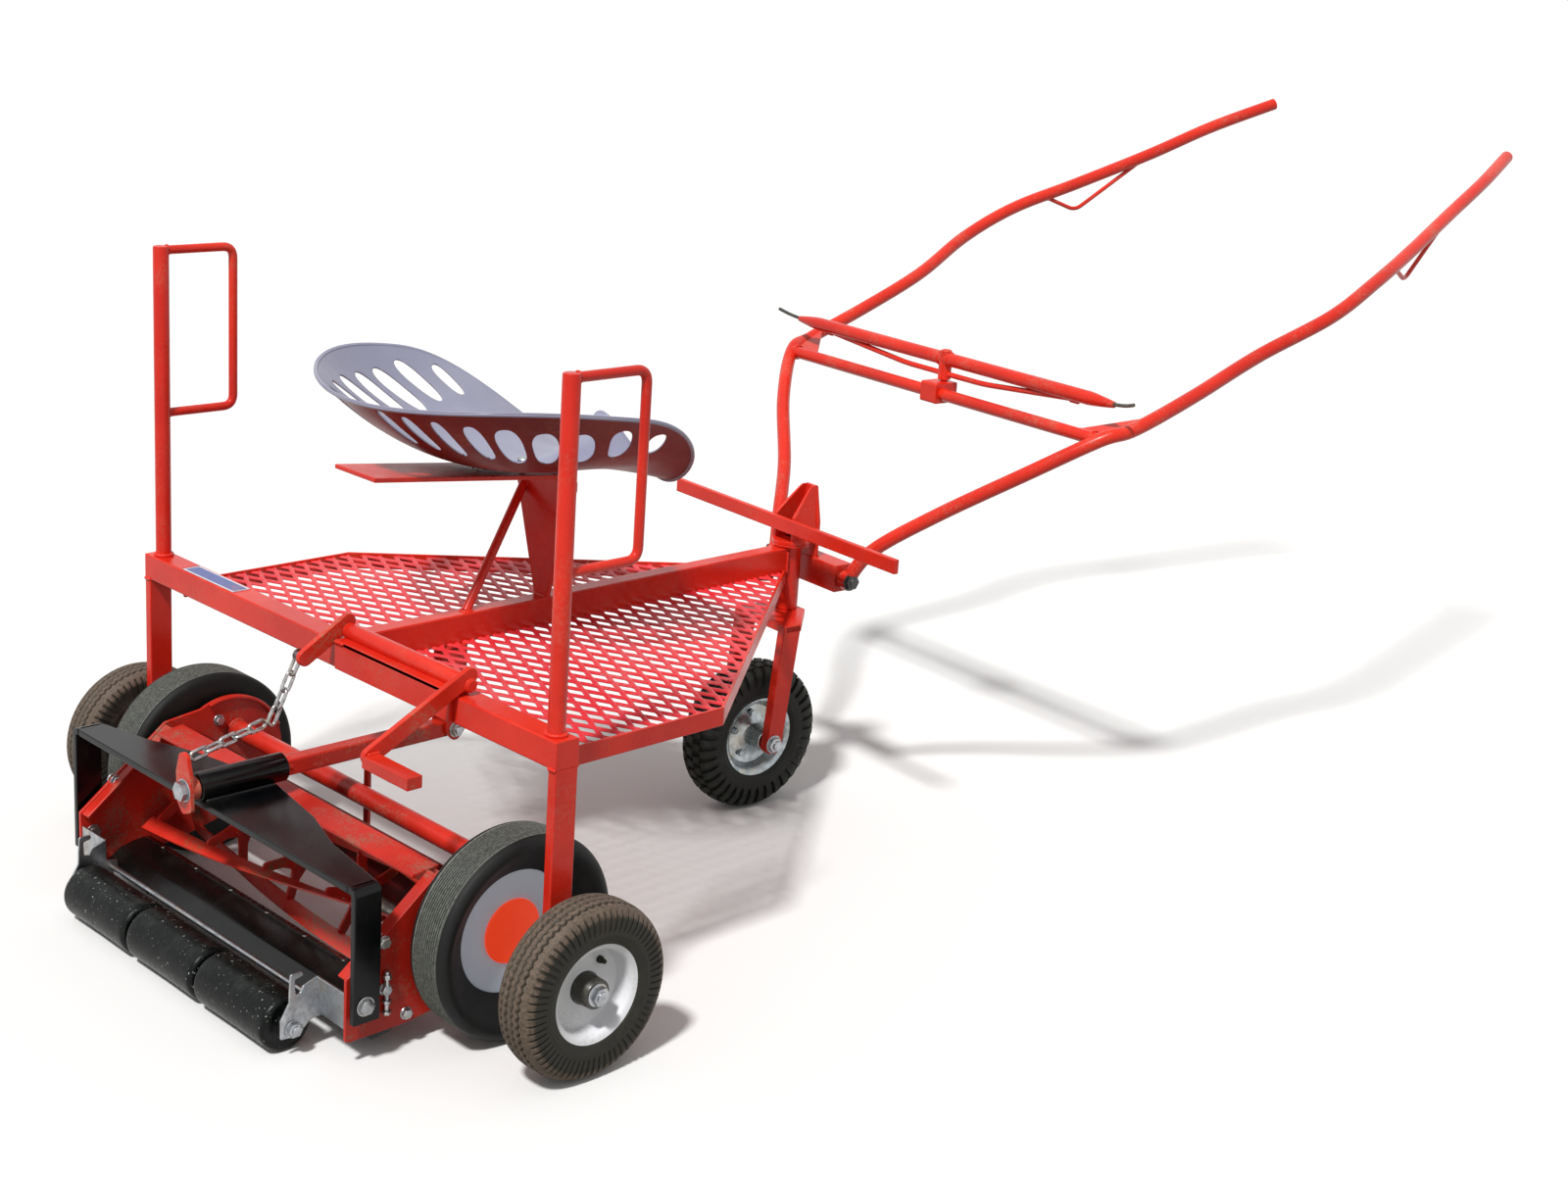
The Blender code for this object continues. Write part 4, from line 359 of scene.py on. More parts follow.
red_frame = enamel("red_gloss_enamel", RED, RED_DEEP)
beam_low, beam_high = box_of("crossbeam")
piece("crossbeam_tube", [bar(beam_low, beam_high, "Y")], red_frame, "cart", ["crossbeam"])
centre_low, centre_high = box_of("centre_beam")
piece("centre_beam_tube", [bar(centre_low, centre_high, "X")], red_frame, "cart",
      ["centre_beam"])
seam_x = beam_high[0] + 0.0005
seams = [weld([(seam_x, side * centre_high[1], z) for z in (centre_low[2], top)], 0.003)
         for side, top in ((1, centre_high[2]), (-1, centre_high[2] - 0.007))]
seams.append(weld([(seam_x, -0.005, centre_high[2]), (seam_x, centre_high[1], centre_high[2])], 0.0022))

for side, sign in SIDES:
    low, high = box_of(f"{side}_post")
    outer_y = sign * beam_high[1]
    inner_y = outer_y - sign * POST_THICK
    post = bar((low[0], min(outer_y, inner_y), low[2]), (high[0], max(outer_y, inner_y), high[2]), "Z")
    piece(f"{side}_post_bar", [post], red_frame, "cart", [f"{side}_post"])
    for face in (low[0], high[0]):
        seams.append(weld([(face, inner_y, beam_low[2]), (face, outer_y, beam_low[2])], 0.0024))
    seams.append(weld([(low[0], inner_y, beam_low[2]), (high[0], inner_y, beam_low[2])], 0.0028))
piece("frame_welds", seams, red_frame, "cart")


# Stub axles: turned steel pins welded into the posts, each with a collar inside the wheel and a
# lock nut and washer outside. Bright zinc plate, faintly yellow and dulled in patches.
AXLE_RADIUS = 0.0078


def zinc(name, colour="#B9BCC0", dull="#8F9296", rough=(0.26, 0.46)):
    """Zinc plate on steel: a bright metal with cloudy patches of about 12 mm, fine pits and a
    slight yellow cast where the chromate has stayed."""
    made, tree, shader, where = new_surface(name)
    cloud = add(tree, "ShaderNodeTexNoise", {"Vector": where, "Scale": 1 / 0.012, "Detail": 5.0,
                                             "Roughness": 0.65})
    share = add(tree, "ShaderNodeMapRange", {"Value": cloud.outputs[0], "From Min": 0.35,
                                             "From Max": 0.65})
    tone = add(tree, "ShaderNodeMix", {0: share.outputs[0], 6: linear(colour), 7: linear(dull)},
               data_type="RGBA")
    cast = add(tree, "ShaderNodeTexNoise", {"Vector": where, "Scale": 1 / 0.03, "Detail": 2.0})
    amount = add(tree, "ShaderNodeMapRange", {"Value": cast.outputs[0], "From Min": 0.5,
                                              "From Max": 0.8, "To Max": 0.5})
    warm = add(tree, "ShaderNodeMix", {0: amount.outputs[0], 6: tone.outputs[2],
                                       7: linear("#B8A98A")}, data_type="RGBA")
    gloss = add(tree, "ShaderNodeMapRange", {"Value": cloud.outputs[0], "From Min": 0.3,
                                             "From Max": 0.7, "To Min": rough[0],
                                             "To Max": rough[1]})
    pits = add(tree, "ShaderNodeTexNoise", {"Vector": where, "Scale": 1 / 0.0012, "Detail": 2.0})
    bump = add(tree, "ShaderNodeBump", {"Height": pits.outputs[0], "Strength": 0.12,
                                        "Distance": 0.0002})
    fill(shader, {"Base Color": warm.outputs[2], "Roughness": gloss.outputs[0],
                  "Normal": bump.outputs[0], "Metallic": 1.0})
    return made


def spun(profile, centre, axis, steps=48):
    """A profile of (radius, distance) points carried round an axis through the centre. A profile
    that starts and ends on the axis closes there, and any other closes on itself."""
    profile = np.asarray(profile, float)
    axis, spoke = spokes(axis, np.linspace(0, 2 * np.pi, steps, endpoint=False))
    grid = (np.asarray(centre, float) + profile[:, 1, None, None] * axis
            + profile[:, 0, None, None] * spoke)
    on_axis = profile[0, 0] < 1e-9 and profile[-1, 0] < 1e-9
    return lattice(grid, wrap_rows=not on_axis)


SMALL_HEX, MIDDLE_HEX, LARGE_HEX = 0.0125, 0.0172, 0.0212


def turned(radius, low, high, at, axis, edge=0.0, bore=0.0, steps=32):
    """A round bar between two distances along an axis, or a sleeve if it has a bore. Both outer
    edges are chamfered, by one size or by one inwards and one along the bar."""
    inwards, along = np.broadcast_to(edge, 2)
    outer = [(radius - inwards, low), (radius, low + along), (radius, high - along),
             (radius - inwards, high)]
    if not inwards:
        outer = [(radius, low), (radius, high)]
    return spun([(bore, low), *outer, (bore, high)], at, axis, steps)


def hex_head(at, axis, across, tall, washer=0.0016, stud=0.0):
    """A hexagon head or nut on a washer, its corners chamfered. The stud, if any, stands out of
    it. The axis points away from the clamped face, which is where the head starts."""
    corner = across / np.sqrt(3)
    at, axis = np.asarray(at, float), unit(axis)
    shells = [spun([(0, washer), (corner, washer), (corner, tall - 0.001 + washer),
                    (corner * 0.86, tall + washer), (0, tall + washer)], at, axis, steps=6),
              spun([(0, 0), (corner * 1.12, 0), (corner * 1.18, washer / 2),
                    (corner * 1.12, washer), (0, washer)], at, axis, steps=32)]
    if stud:
        shells.append(spun([(0, 0), (across * 0.30, 0), (across * 0.30, tall + stud - 0.0008),
                            (across * 0.25, tall + stud), (0, tall + stud)], at, axis, steps=20))
    return shells


zinc_plate = zinc("bright_zinc_plate")
for side, sign in SIDES:
    rim_low, rim_high = box_of(f"{side}_cart_rim")
    middle_z = (rim_low[2] + rim_high[2]) / 2
    hub_in, hub_out = (sorted((rim_low[1], rim_high[1]), key=abs))
    start = np.array((AXLE_X, sign * (beam_high[1] - 0.004), middle_z))
    reach_out = abs(hub_out) + 0.0005 - beam_high[1] + 0.004
    reach_in = abs(hub_in) - 0.0005 - beam_high[1] + 0.004
    axis = (0, sign, 0)
    shells = [spun([(0, 0), (AXLE_RADIUS, 0), (AXLE_RADIUS, reach_out + 0.0103),
                    (AXLE_RADIUS - 0.001, reach_out + 0.0112), (0, reach_out + 0.0112)], start, axis),
              spun([(AXLE_RADIUS - 0.002, 0.004), (0.0115, 0.004), (0.0115, reach_in),
                    (AXLE_RADIUS - 0.002, reach_in)], start, axis)]
    nut_at = start + np.array(axis) * reach_out
    shells += hex_head(nut_at, axis, 0.0215, 0.008, washer=0.001)
    piece(f"{side}_axle_pin", shells, zinc_plate, "cart")


# Cart wheels: small pneumatic tyres on pressed white rims. The tread has five zigzag ribs with
# toothed shoulders, and tan dust lies in the grooves and over the walls.
CART_RIM_R = 0.0605
TYRE_STEPS = 720
TYRE_POWERS = 0.72, 0.62    # how square a tyre's section is along the axle and outwards
RIB_GROOVES = np.array((-0.60, -0.20, 0.20, 0.60))
TREAD_FADE = 0.02           # takes the walls' relief below any groove, so no soil shows there
GROOVE_DEEP, GROOVE_HALF = 0.0030, 0.0016
TREAD_COUNT, TOOTH_DEEP = 66, 0.0022


def rubber(name, colour, dust_colour, dust, coarse=0.035, crest_colour="#7E6C5E"):
    """Moulded tyre rubber: near black and matt, with a fine grain, and dust that settles in
    patches of about 35 mm. Dry soil pales the crests of the tread, by the attribute "crest"."""
    made, tree, shader, where = new_surface(name)
    patch = add(tree, "ShaderNodeTexNoise", {"Vector": where, "Scale": 1 / coarse, "Detail": 6.0,
                                             "Roughness": 0.7})
    amount = add(tree, "ShaderNodeMapRange", {"Value": patch.outputs[0], "From Min": 0.36,
                                              "From Max": 0.70, "To Max": dust})
    tone = add(tree, "ShaderNodeMix", {0: amount.outputs[0], 6: linear(colour),
                                       7: linear(dust_colour)}, data_type="RGBA")
    crest = add(tree, "ShaderNodeAttribute", attribute_name="crest")
    scuff = add(tree, "ShaderNodeTexNoise", {"Vector": where, "Scale": 1 / 0.004, "Detail": 5.0,
                                             "Roughness": 0.7})
    scuffed = add(tree, "ShaderNodeMapRange", {"Value": scuff.outputs[0], "From Min": 0.34,
                                               "From Max": 0.66, "To Min": 0.25, "To Max": 0.85})
    soiled = add(tree, "ShaderNodeMath", {0: crest.outputs["Fac"], 1: scuffed.outputs[0]},
                 operation="MULTIPLY")
    pale = add(tree, "ShaderNodeMix", {0: soiled.outputs[0], 6: tone.outputs[2],
                                       7: linear(crest_colour)}, data_type="RGBA")
    gloss = add(tree, "ShaderNodeMapRange", {"Value": amount.outputs[0], "From Max": 0.6,
                                             "To Min": 0.52, "To Max": 0.92})
    grain = add(tree, "ShaderNodeTexNoise", {"Vector": where, "Scale": 1 / 0.0009, "Detail": 3.0})
    bump = add(tree, "ShaderNodeBump", {"Height": grain.outputs[0], "Strength": 0.35,
                                        "Distance": 0.0003})
    fill(shader, {"Base Color": pale.outputs[2], "Roughness": gloss.outputs[0], "Normal": bump.outputs[0],
                  "Specular IOR Level": 0.25})
    return made


def tyre(centre, axis, radius, half_width, bead, relief, rows=112):
    """A tyre carried round its axle. Its section is a superellipse from bead to bead; relief is
    a function of the share across the section, the distance along the axle and the turn, and
    gives how far the surface stands out along the section's normal. It returns the shell and the
    height of each point's relief, and none for the walls."""
    share = np.linspace(-1, 1, rows)
    bend = share * np.radians(150)
    crown = bead + (radius - bead) * 0.46
    out = crown + (radius - crown) * np.sign(np.cos(bend)) * np.abs(np.cos(bend)) ** TYRE_POWERS[1]
    out = np.maximum(out, bead + 0.0005)
    along = half_width * np.sign(np.sin(bend)) * np.abs(np.sin(bend)) ** TYRE_POWERS[0]
    normal = np.stack((np.gradient(along), -np.gradient(out)), -1)
    normal /= np.linalg.norm(normal, axis=1)[:, None]
    turn = np.linspace(0, 2 * np.pi, TYRE_STEPS, endpoint=False)
    lift = relief(share[:, None], along[:, None], turn[None, :])
    ring = out[:, None] + normal[:, :1] * lift
    depth = along[:, None] + normal[:, 1:] * lift
    axis, spoke = spokes(axis, turn)
    grid = np.asarray(centre) + depth[..., None] * axis + ring[..., None] * spoke
    walls = TREAD_FADE * np.clip(np.abs(share[:, None]) / 0.44 - 1, 0, 1)
    return lattice(grid, wrap_rows=True), lift - walls


def mark_crests(made, height, deep):
    """Stores at each point how far it stands out of a groove of this depth, from 0 to 1."""
    crest = np.clip(1 + np.asarray(height, float) / deep, 0, 1)
    made.data.attributes.new("crest", "FLOAT", "POINT").data.foreach_set("value", crest.ravel())


def saw(turn, count):
    """A triangle wave from -1 to 1 with this many peaks round the tyre."""
    return 2 * np.abs(2 * ((turn * count / (2 * np.pi)) % 1) - 1) - 1


def ribbed_tread(half_width):
    """Relief of a cart tyre: zigzag grooves between the ribs, teeth on the shoulders, and two
    moulded rings on each wall."""
    tread = half_width * 0.80

    def relief(share, along, turn):
        zigzag = saw(turn, TREAD_COUNT) * 0.0014
        lift = np.zeros(np.broadcast(along, turn).shape)
        for place in RIB_GROOVES:
            off = (along - place * tread - zigzag) / GROOVE_HALF
            lift -= GROOVE_DEEP * np.exp(-off ** 4)
        shoulder = np.exp(-((np.abs(along) - half_width * 0.93) / (half_width * 0.10)) ** 4)
        shoulder = shoulder * (np.abs(share) < 0.62)
        lift -= TOOTH_DEEP * shoulder * (saw(turn, TREAD_COUNT) > 0.35)
        for place, tall in ((0.66, 0.0008), (0.80, 0.0006), (0.93, 0.0016)):
            lift += tall * np.exp(-((np.abs(share) - place) / 0.016) ** 2)
        return lift
    return relief


cart_rubber = rubber("dusty_cart_tyre_rubber", colour="#1D1D19", dust_colour="#4E4A3E", dust=0.5)
white_rim = enamel("white_rim_enamel", "#F0F0F2", "#E6E7EC", rough=(0.25, 0.4), dust=0.08,
                   dust_colour="#9C8B77")
greasy_steel = enamel("greasy_bearing_steel", "#34332A", "#1D1C17", rough=(0.22, 0.5), dust=0.2,
                      dust_colour="#6B6250", shine=0.6)
for side, sign in SIDES:
    low, high = box_of(f"{side}_cart_tyre")
    centre, half = (low + high) / 2, (high - low) / 2
    axis = np.array((0.0, sign, 0.0))
    shell, height = tyre(centre, axis, half[2], half[1], CART_RIM_R, ribbed_tread(half[1]))
    tyre_made = piece(f"{side}_cart_tyre_rubber", [shell], cart_rubber, f"{side}_cart_wheel",
                      [f"{side}_cart_tyre"], sharp=50)
    mark_crests(tyre_made, height, GROOVE_DEEP)

    rim_low, rim_high = box_of(f"{side}_cart_rim")
    hub = (rim_high[1] - rim_low[1]) / 2
    face = [(0.0085, hub), (0.0165, hub), (0.0180, hub - 0.0015), (0.0180, 0.0050),
            (0.0196, 0.0026), (0.0230, 0.0014), (0.0465, 0.0010), (0.0510, 0.0022),
            (0.0532, 0.0060), (0.0542, 0.0120), (0.0550, 0.0200), (0.0566, 0.0236),
            (0.0592, 0.0258), (0.0618, 0.0266), (0.0638, 0.0275), (0.0648, 0.0262),
            (0.0640, 0.0244), (0.0606, 0.0236)]
    back = [(0.0606, -0.0236), (0.0640, -0.0244), (0.0648, -0.0262), (0.0636, -0.0275),
            (0.0600, -0.0262), (0.0572, -0.0230), (0.0556, -0.0150), (0.0548, -0.0080),
            (0.0530, -0.0044), (0.0490, -0.0020), (0.0230, -0.0016), (0.0196, -0.0026),
            (0.0180, -0.0050), (0.0180, -hub + 0.0015), (0.0165, -hub), (0.0085, -hub)]
    shells = [spun(face + back, centre, axis, steps=96)]
    piece(f"{side}_cart_rim_pressing", shells, white_rim, f"{side}_cart_wheel",
          [f"{side}_cart_rim"], sharp=42)
    cup = [(0.0184, 0.0012), (0.0210, 0.0012), (0.0212, 0.0052), (0.0196, 0.0080),
           (0.0190, hub - 0.0012), (0.0176, hub + 0.0006), (0.0150, hub + 0.0008),
           (0.0130, hub - 0.0014), (0.0092, hub - 0.0014), (0.0092, hub - 0.0034),
           (0.0150, hub - 0.0034), (0.0178, hub - 0.0020)]
    valve_way = np.array((np.cos(np.radians(52)), 0.0, np.sin(np.radians(52))))
    valve_at = centre + valve_way * 0.038
    valve = [spun([(0, 0), (0.0048, 0), (0.0046, 0.0050), (0.0034, 0.0062), (0.0030, 0.0110),
                   (0.0024, 0.0124), (0, 0.0124)], valve_at, axis, steps=24)]
    piece(f"{side}_hub_bearing", [spun(cup, centre, axis)], greasy_steel, f"{side}_cart_wheel")
    piece(f"{side}_valve_stem", valve, cart_rubber, f"{side}_cart_wheel")


# Handrails: a straight tube at each rear corner, welded to the crossbeam, with a rod bent into a
# long loop in front of it. Red enamel, a little thinner where the rod was bent.
RAIL_R, LOOP_R, LOOP_TALL, LOOP_CORNER = 0.011, 0.0063, 0.236, 0.017


def bent_line(corners, radii, steps=8):
    """A line through corner points with a smooth bend of the given reach at each inner one."""
    corners = np.asarray(corners, float)
    line = [corners[0]]
    for before, here, after, cut in zip(corners, corners[1:], corners[2:], radii):
        back, on = unit(before - here) * cut, unit(after - here) * cut
        start, end = here + back, here + on
        share = np.linspace(0, 1, steps + 1)[:, None]
        line.append(start + back * 0.02)
        line += list((1 - share) ** 2 * start + 2 * share * (1 - share) * here + share ** 2 * end)
        line.append(end + on * 0.02)
    return np.array([*line, corners[-1]])


for side in ("left", "right"):
    low, high = box_of(f"{side}_handrail")
    y = (low[1] + high[1]) / 2
    foot = np.array((AXLE_X, y, low[2]))
    tall = high[2] - low[2]
    upright = spun([(0, 0), (RAIL_R, 0), (RAIL_R, tall - 0.0022), (RAIL_R - 0.0008, tall - 0.0007),
                    (RAIL_R - 0.0026, tall), (0, tall)], foot, (0, 0, 1), steps=40)
    loop_top = high[2] - LOOP_R
    loop_low = loop_top - LOOP_TALL + LOOP_R
    reach = high[0] - LOOP_R
    line = bent_line([(AXLE_X, y, loop_top), (reach, y, loop_top), (reach, y, loop_low),
                      (AXLE_X, y, loop_low)], (LOOP_CORNER, LOOP_CORNER))
    beads = [ring_weld(foot + (0, 0, 0.0015), (0, 0, 1), RAIL_R + 0.0005, 0.0028)]
    for z in (loop_top, loop_low):
        beads.append(ring_weld((AXLE_X + RAIL_R - 0.0015, y, z), (1, 0, 0), LOOP_R, 0.0018))
    piece(f"{side}_handrail_tube", [upright, tube(line, LOOP_R, sides=28), *beads], red_frame,
          "cart", [f"{side}_handrail"])


# Platform: on each side of the centre beam a frame of flat bar on edge, round a panel of expanded
# steel mesh. The strands of the mesh are slit, drawn out and tilted, so each one catches light.
RAIL_BAR = 0.004
SHORT_WAY, LONG_WAY = 0.0259, 0.0570
STRAND_WIDE, STRAND_THICK, STRAND_TILT = 0.0064, 0.0022, np.radians(18)
MESH_Z = 0.3737
PLATFORM_SIDE, NOSE_X, NOSE_HALF, NOSE_Y, HEAD_X = 0.300, 0.790, 0.035, 0.0133, 0.839


def strands(start, beam_y, limit):
    """The strands of one panel, in the left half's plan. Each runs across the machine as a
    zigzag, and its neighbours are mirrored, so their bends meet and form diamonds. The section
    is a flat bar tilted about the strand's line."""
    shells = []
    turn = np.linspace(0, 2 * np.pi, 8, endpoint=False) + np.pi / 8
    wide = np.clip(np.cos(turn) * 1.35, -1, 1) * STRAND_WIDE / 2
    thick = np.clip(np.sin(turn) * 1.35, -1, 1) * STRAND_THICK / 2
    for row in range(int((limit(0.0, True) - start) / SHORT_WAY * 2) + 1):
        x = start + SHORT_WAY * (row / 2 + 0.25)
        fine = np.arange(beam_y - 0.001, 0.43, 0.0005)
        way = 1 - 2 * (row % 2)

        def zigzag(y):
            wave = 4 * np.abs((y / LONG_WAY) % 1 - 0.5) - 1
            return x + way * np.clip(wave * 1.22, -1, 1) * (SHORT_WAY / 4 - 0.0006)
        inside = fine[fine < limit(zigzag(fine))]
        if len(inside) < 12:
            continue
        knots = np.array([k * LONG_WAY / 2 + d for k in range(18) for d in (-0.0026, 0.0026)])
        knots = knots[(knots > inside[0]) & (knots < inside[-1])]
        y = np.concatenate((inside[:1], knots, inside[-1:]))
        line = np.stack((zigzag(y), y, np.full(len(y), MESH_Z)), -1)
        run = np.gradient(line, axis=0)
        run /= np.linalg.norm(run, axis=1)[:, None]
        flat = np.stack((run[:, 1], -run[:, 0], np.zeros(len(y))), -1)
        up = np.array((0.0, 0.0, 1.0))
        first = np.cos(STRAND_TILT) * flat + np.sin(STRAND_TILT) * up
        second = np.cos(STRAND_TILT) * up - np.sin(STRAND_TILT) * flat
        grid = (line[:, None] + wide[None, :, None] * first[:, None]
                + thick[None, :, None] * second[:, None])
        shells.append(lattice(grid, ends=True))
    return shells


# The mesh's red leans to pink, and its dust is pink too: a painted reflection of the sky on the strands.
mesh_enamel = enamel("red_mesh_enamel_painted_sky_reflection", "#E43E42", "#D9303A", rough=(0.26, 0.42), dust=0.10,
                     dust_colour="#C98C8C")
for side, sign in SIDES:
    low, high = box_of(f"{side}_platform_rail")
    outer_y = max(abs(low[1]), abs(high[1]))
    start = low[0]
    corner = np.array((AXLE_X + PLATFORM_SIDE, outer_y))
    nose = np.array((AXLE_X + NOSE_X, NOSE_HALF))
    run = unit(nose - corner)
    tip = corner + run * (outer_y - NOSE_Y) / -run[1]
    turn_in = (RAIL_BAR - RAIL_BAR * run[0]) / -run[1]
    inner = np.array((corner[0] - turn_in, outer_y - RAIL_BAR))
    inner_tip = np.array((tip[0] - RAIL_BAR / -run[1], NOSE_Y))
    outer_line = np.array([(start, outer_y), corner, corner, corner, tip])
    inner_line = np.array([(start, outer_y - RAIL_BAR), inner, inner, inner, inner_tip])
    for edge_line in (outer_line, inner_line):
        edge_line[1] += (-0.0008, 0)
        edge_line[3] += run * 0.0008
    section = rounded([(0, low[2]), (RAIL_BAR, low[2]), (RAIL_BAR, high[2]), (0, high[2])], 0.0010)
    share = (section[:, 0] / RAIL_BAR)[None, :, None]
    plan = outer_line[:, None] * (1 - share) + inner_line[:, None] * share
    rail_z = np.broadcast_to(section[None, :, 1:], (*plan.shape[:2], 1))
    rail = lattice(np.concatenate((plan * (1, sign), rail_z), -1), ends=True)
    beads = [weld([(tip[0] - 0.003, sign * (NOSE_Y - 0.0005), z) for z in (low[2], high[2])], 0.0028),
             weld([(start, sign * (outer_y - RAIL_BAR), low[2] + 0.001),
                   (start, sign * (outer_y - RAIL_BAR), high[2])], 0.0028)]
    piece(f"{side}_platform_rail_bar", [rail, *beads], red_frame, "cart",
          [f"{side}_platform_rail"])

    def limit(x, ends=False):
        """The rail's inner face, as the furthest a strand may reach from the centre beam."""
        if ends:
            return inner_tip[0]
        slanted = inner[1] + (x - inner[0]) * run[1] / run[0]
        return np.minimum(inner[1], slanted) + 0.0012
    shells = [(points * (1, sign, 1), faces) for points, faces in strands(start, NOSE_Y, limit)]
    piece(f"{side}_expanded_mesh", shells, mesh_enamel, "cart",
          [f"{side}_platform_mesh"], sharp=30)

low, high = box_of("head_tube")
head_at = np.array((AXLE_X + HEAD_X, 0.0, low[2]))
tall = high[2] - low[2]
head = [(0.0104, tall), (0.0294, tall), (0.0300, tall - 0.0006), (0.0300, tall - 0.0026),
        (0.0176, tall - 0.0030), (0.0172, tall - 0.0040), (0.0172, 0.0010), (0.0162, 0),
        (0.0104, 0)]
beads = [ring_weld(head_at + (0, 0, tall - 0.0044), (0, 0, 1), 0.0178, 0.0020)]
side_x = centre_high[0] - 0.001
for sign in (1, -1):
    beads.append(weld([(side_x, sign * 0.0125, z) for z in (centre_low[2], centre_high[2] - 0.006)],
                      0.0026))
piece("head_tube_bushing", [spun(head, head_at, (0, 0, 1), steps=64), *beads], red_frame, "cart",
      ["head_tube"])


# Seat: a pan pressed from sheet steel, with nine slots under the rim on each side, which lean
# more towards the front. Silver enamel above, and a darker maroon below.
SEAT_LOW, SEAT_X, SEAT_HALF, SEAT_SKIN = 0.609, AXLE_X + 0.300, 0.267, 0.0022
SEAT_ROWS, SEAT_COLUMNS = 150, 960
WALL_LONG = 0.30
SLOTS = ((10, 0.970, 0.745, 0.0090, 4), (18.5, 0.955, 0.710, 0.0090, 5), (28, 0.940, 0.670, 0.0090, 6),
         (38.5, 0.920, 0.650, 0.0115, 8), (49.5, 0.905, 0.610, 0.0158, 10),
         (62, 0.885, 0.610, 0.0165, 12), (75.5, 0.884, 0.635, 0.0172, 22),
         (89.5, 0.920, 0.700, 0.0155, 28), (105, 0.930, 0.790, 0.0150, 38))


def seat_rim(angle):
    """The pan's rim. Angle 0 is the rear and pi the front: an ellipse, shorter in front, with
    two thigh lobes that droop and a pommel that rises between them."""
    across, back = np.sin(angle), np.cos(angle)
    front = np.maximum(0.0, -back)
    middle = np.exp(-(across / 0.22) ** 2) * (back < 0)
    x = AXLE_X + 0.274 - 0.263 * back * (1 - 0.2 * front) - 0.050 * middle
    z = (0.7275 + 0.044 * back - 0.023 * back ** 2 - 0.0215 * back ** 3 - 0.119 * front ** 2
         + 0.105 * middle)
    return np.stack((x, SEAT_HALF * across, z), -1)


def seat_surface(angle, share):
    """The pan between its lowest point and its rim: straight in plan, and rising as the share of
    the way to the power 2.3."""
    rim = seat_rim(angle)
    low = np.array((SEAT_X, 0.0, SEAT_LOW))
    spot = low + (rim - low) * share[..., None]
    spot[..., 2] = SEAT_LOW + (rim[..., 2] - SEAT_LOW) * share ** 2.3
    return spot


def slot_list():
    """Each slot, on both sides, as its middle (angle, share), its half sizes along the rim and
    up the wall in metres, and its lean."""
    slots = []
    for angle, top, bottom, half_long, lean in SLOTS:
        half_tall = (top - bottom) / 2 * WALL_LONG / np.cos(np.radians(lean))
        for sign in (1, -1):
            slots.append((sign * np.radians(angle), (top + bottom) / 2, half_long, half_tall,
                          sign * np.radians(lean)))
    return slots


def slotted_pan():
    """A fine grid over the pan. Cells whose middle lies in a slot are left out, and the corners
    along each slot are drawn onto the slot's outline, an oval of the power 2.6."""
    angle = np.linspace(-np.pi, np.pi, SEAT_COLUMNS, endpoint=False)
    share = np.concatenate((np.linspace(0.02, 0.58, 40, endpoint=False),
                            np.linspace(0.58, 1.0, SEAT_ROWS - 40)))
    angle, share = np.meshgrid(angle, share)
    open_cell = np.zeros(angle.shape, bool)
    for at, level_share, half_long, half_tall, lean in slot_list():
        reach = SEAT_HALF * level_share

        def local(a, s):
            along = (np.mod(a - at + np.pi, 2 * np.pi) - np.pi) * reach
            up = (s - level_share) * WALL_LONG
            return (along * np.cos(lean) + up * np.sin(lean), -along * np.sin(lean) + up * np.cos(lean))
        middle_a = angle + np.pi / SEAT_COLUMNS
        middle_s = np.vstack(((share[1:] + share[:-1]) / 2, share[-1:] + 1))
        u, v = local(middle_a, middle_s)
        inside = (np.abs(u) / half_long) ** 2.6 + (np.abs(v) / half_tall) ** 2.6 < 1
        open_cell |= inside
        corner = inside | np.roll(inside, 1, 1)
        corner = corner | np.roll(corner, 1, 0)
        whole = inside & np.roll(inside, 1, 1)
        whole = whole & np.roll(whole, 1, 0)
        edge = corner & ~whole
        u, v = local(angle, share)
        size = ((np.abs(u) / half_long) ** 2.6 + (np.abs(v) / half_tall) ** 2.6) ** (1 / 2.6)
        size = np.where(edge, np.maximum(size, 0.3), 1.0)
        u, v = u / size, v / size
        along = u * np.cos(lean) - v * np.sin(lean)
        up = u * np.sin(lean) + v * np.cos(lean)
        angle = np.where(edge, at + along / reach, angle)
        share = np.where(edge, level_share + up / WALL_LONG, share)
    points, faces = lattice(seat_surface(angle, share))
    keep = ~open_cell[:-1].reshape(-1)
    faces = [face for face, kept in zip(faces, keep) if kept]
    centre = len(points)
    points = np.vstack((points, (SEAT_X, 0, SEAT_LOW)))
    faces += [[centre, (i + 1) % SEAT_COLUMNS, i] for i in range(SEAT_COLUMNS)]
    return points, faces


silver = enamel("silver_seat_enamel", "#9C9CB0", "#9090A6", rough=(0.30, 0.46), dust=0.05,
                dust_colour="#8C8A90")
maroon = enamel("maroon_underside_enamel", "#7E322C", "#6A2622", rough=(0.35, 0.5), dust=0.08)
points, faces = slotted_pan()
mesh = bpy.data.meshes.new("seat_pan_sheet")
mesh.from_pydata(points.tolist(), [], faces)
mesh.shade_smooth()
mesh.materials.append(silver)
mesh.materials.append(maroon)
pan = bpy.data.objects.new("seat_pan_sheet", mesh)
bpy.context.scene.collection.objects.link(pan)
skin = pan.modifiers.new("sheet", "SOLIDIFY")
skin.thickness = SEAT_SKIN
skin.offset = 0
skin.material_offset = 1
skin.material_offset_rim = 0
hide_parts("seat_pan")
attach(pan, "cart")
rim_angle = np.linspace(-np.pi, np.pi, 480, endpoint=False)
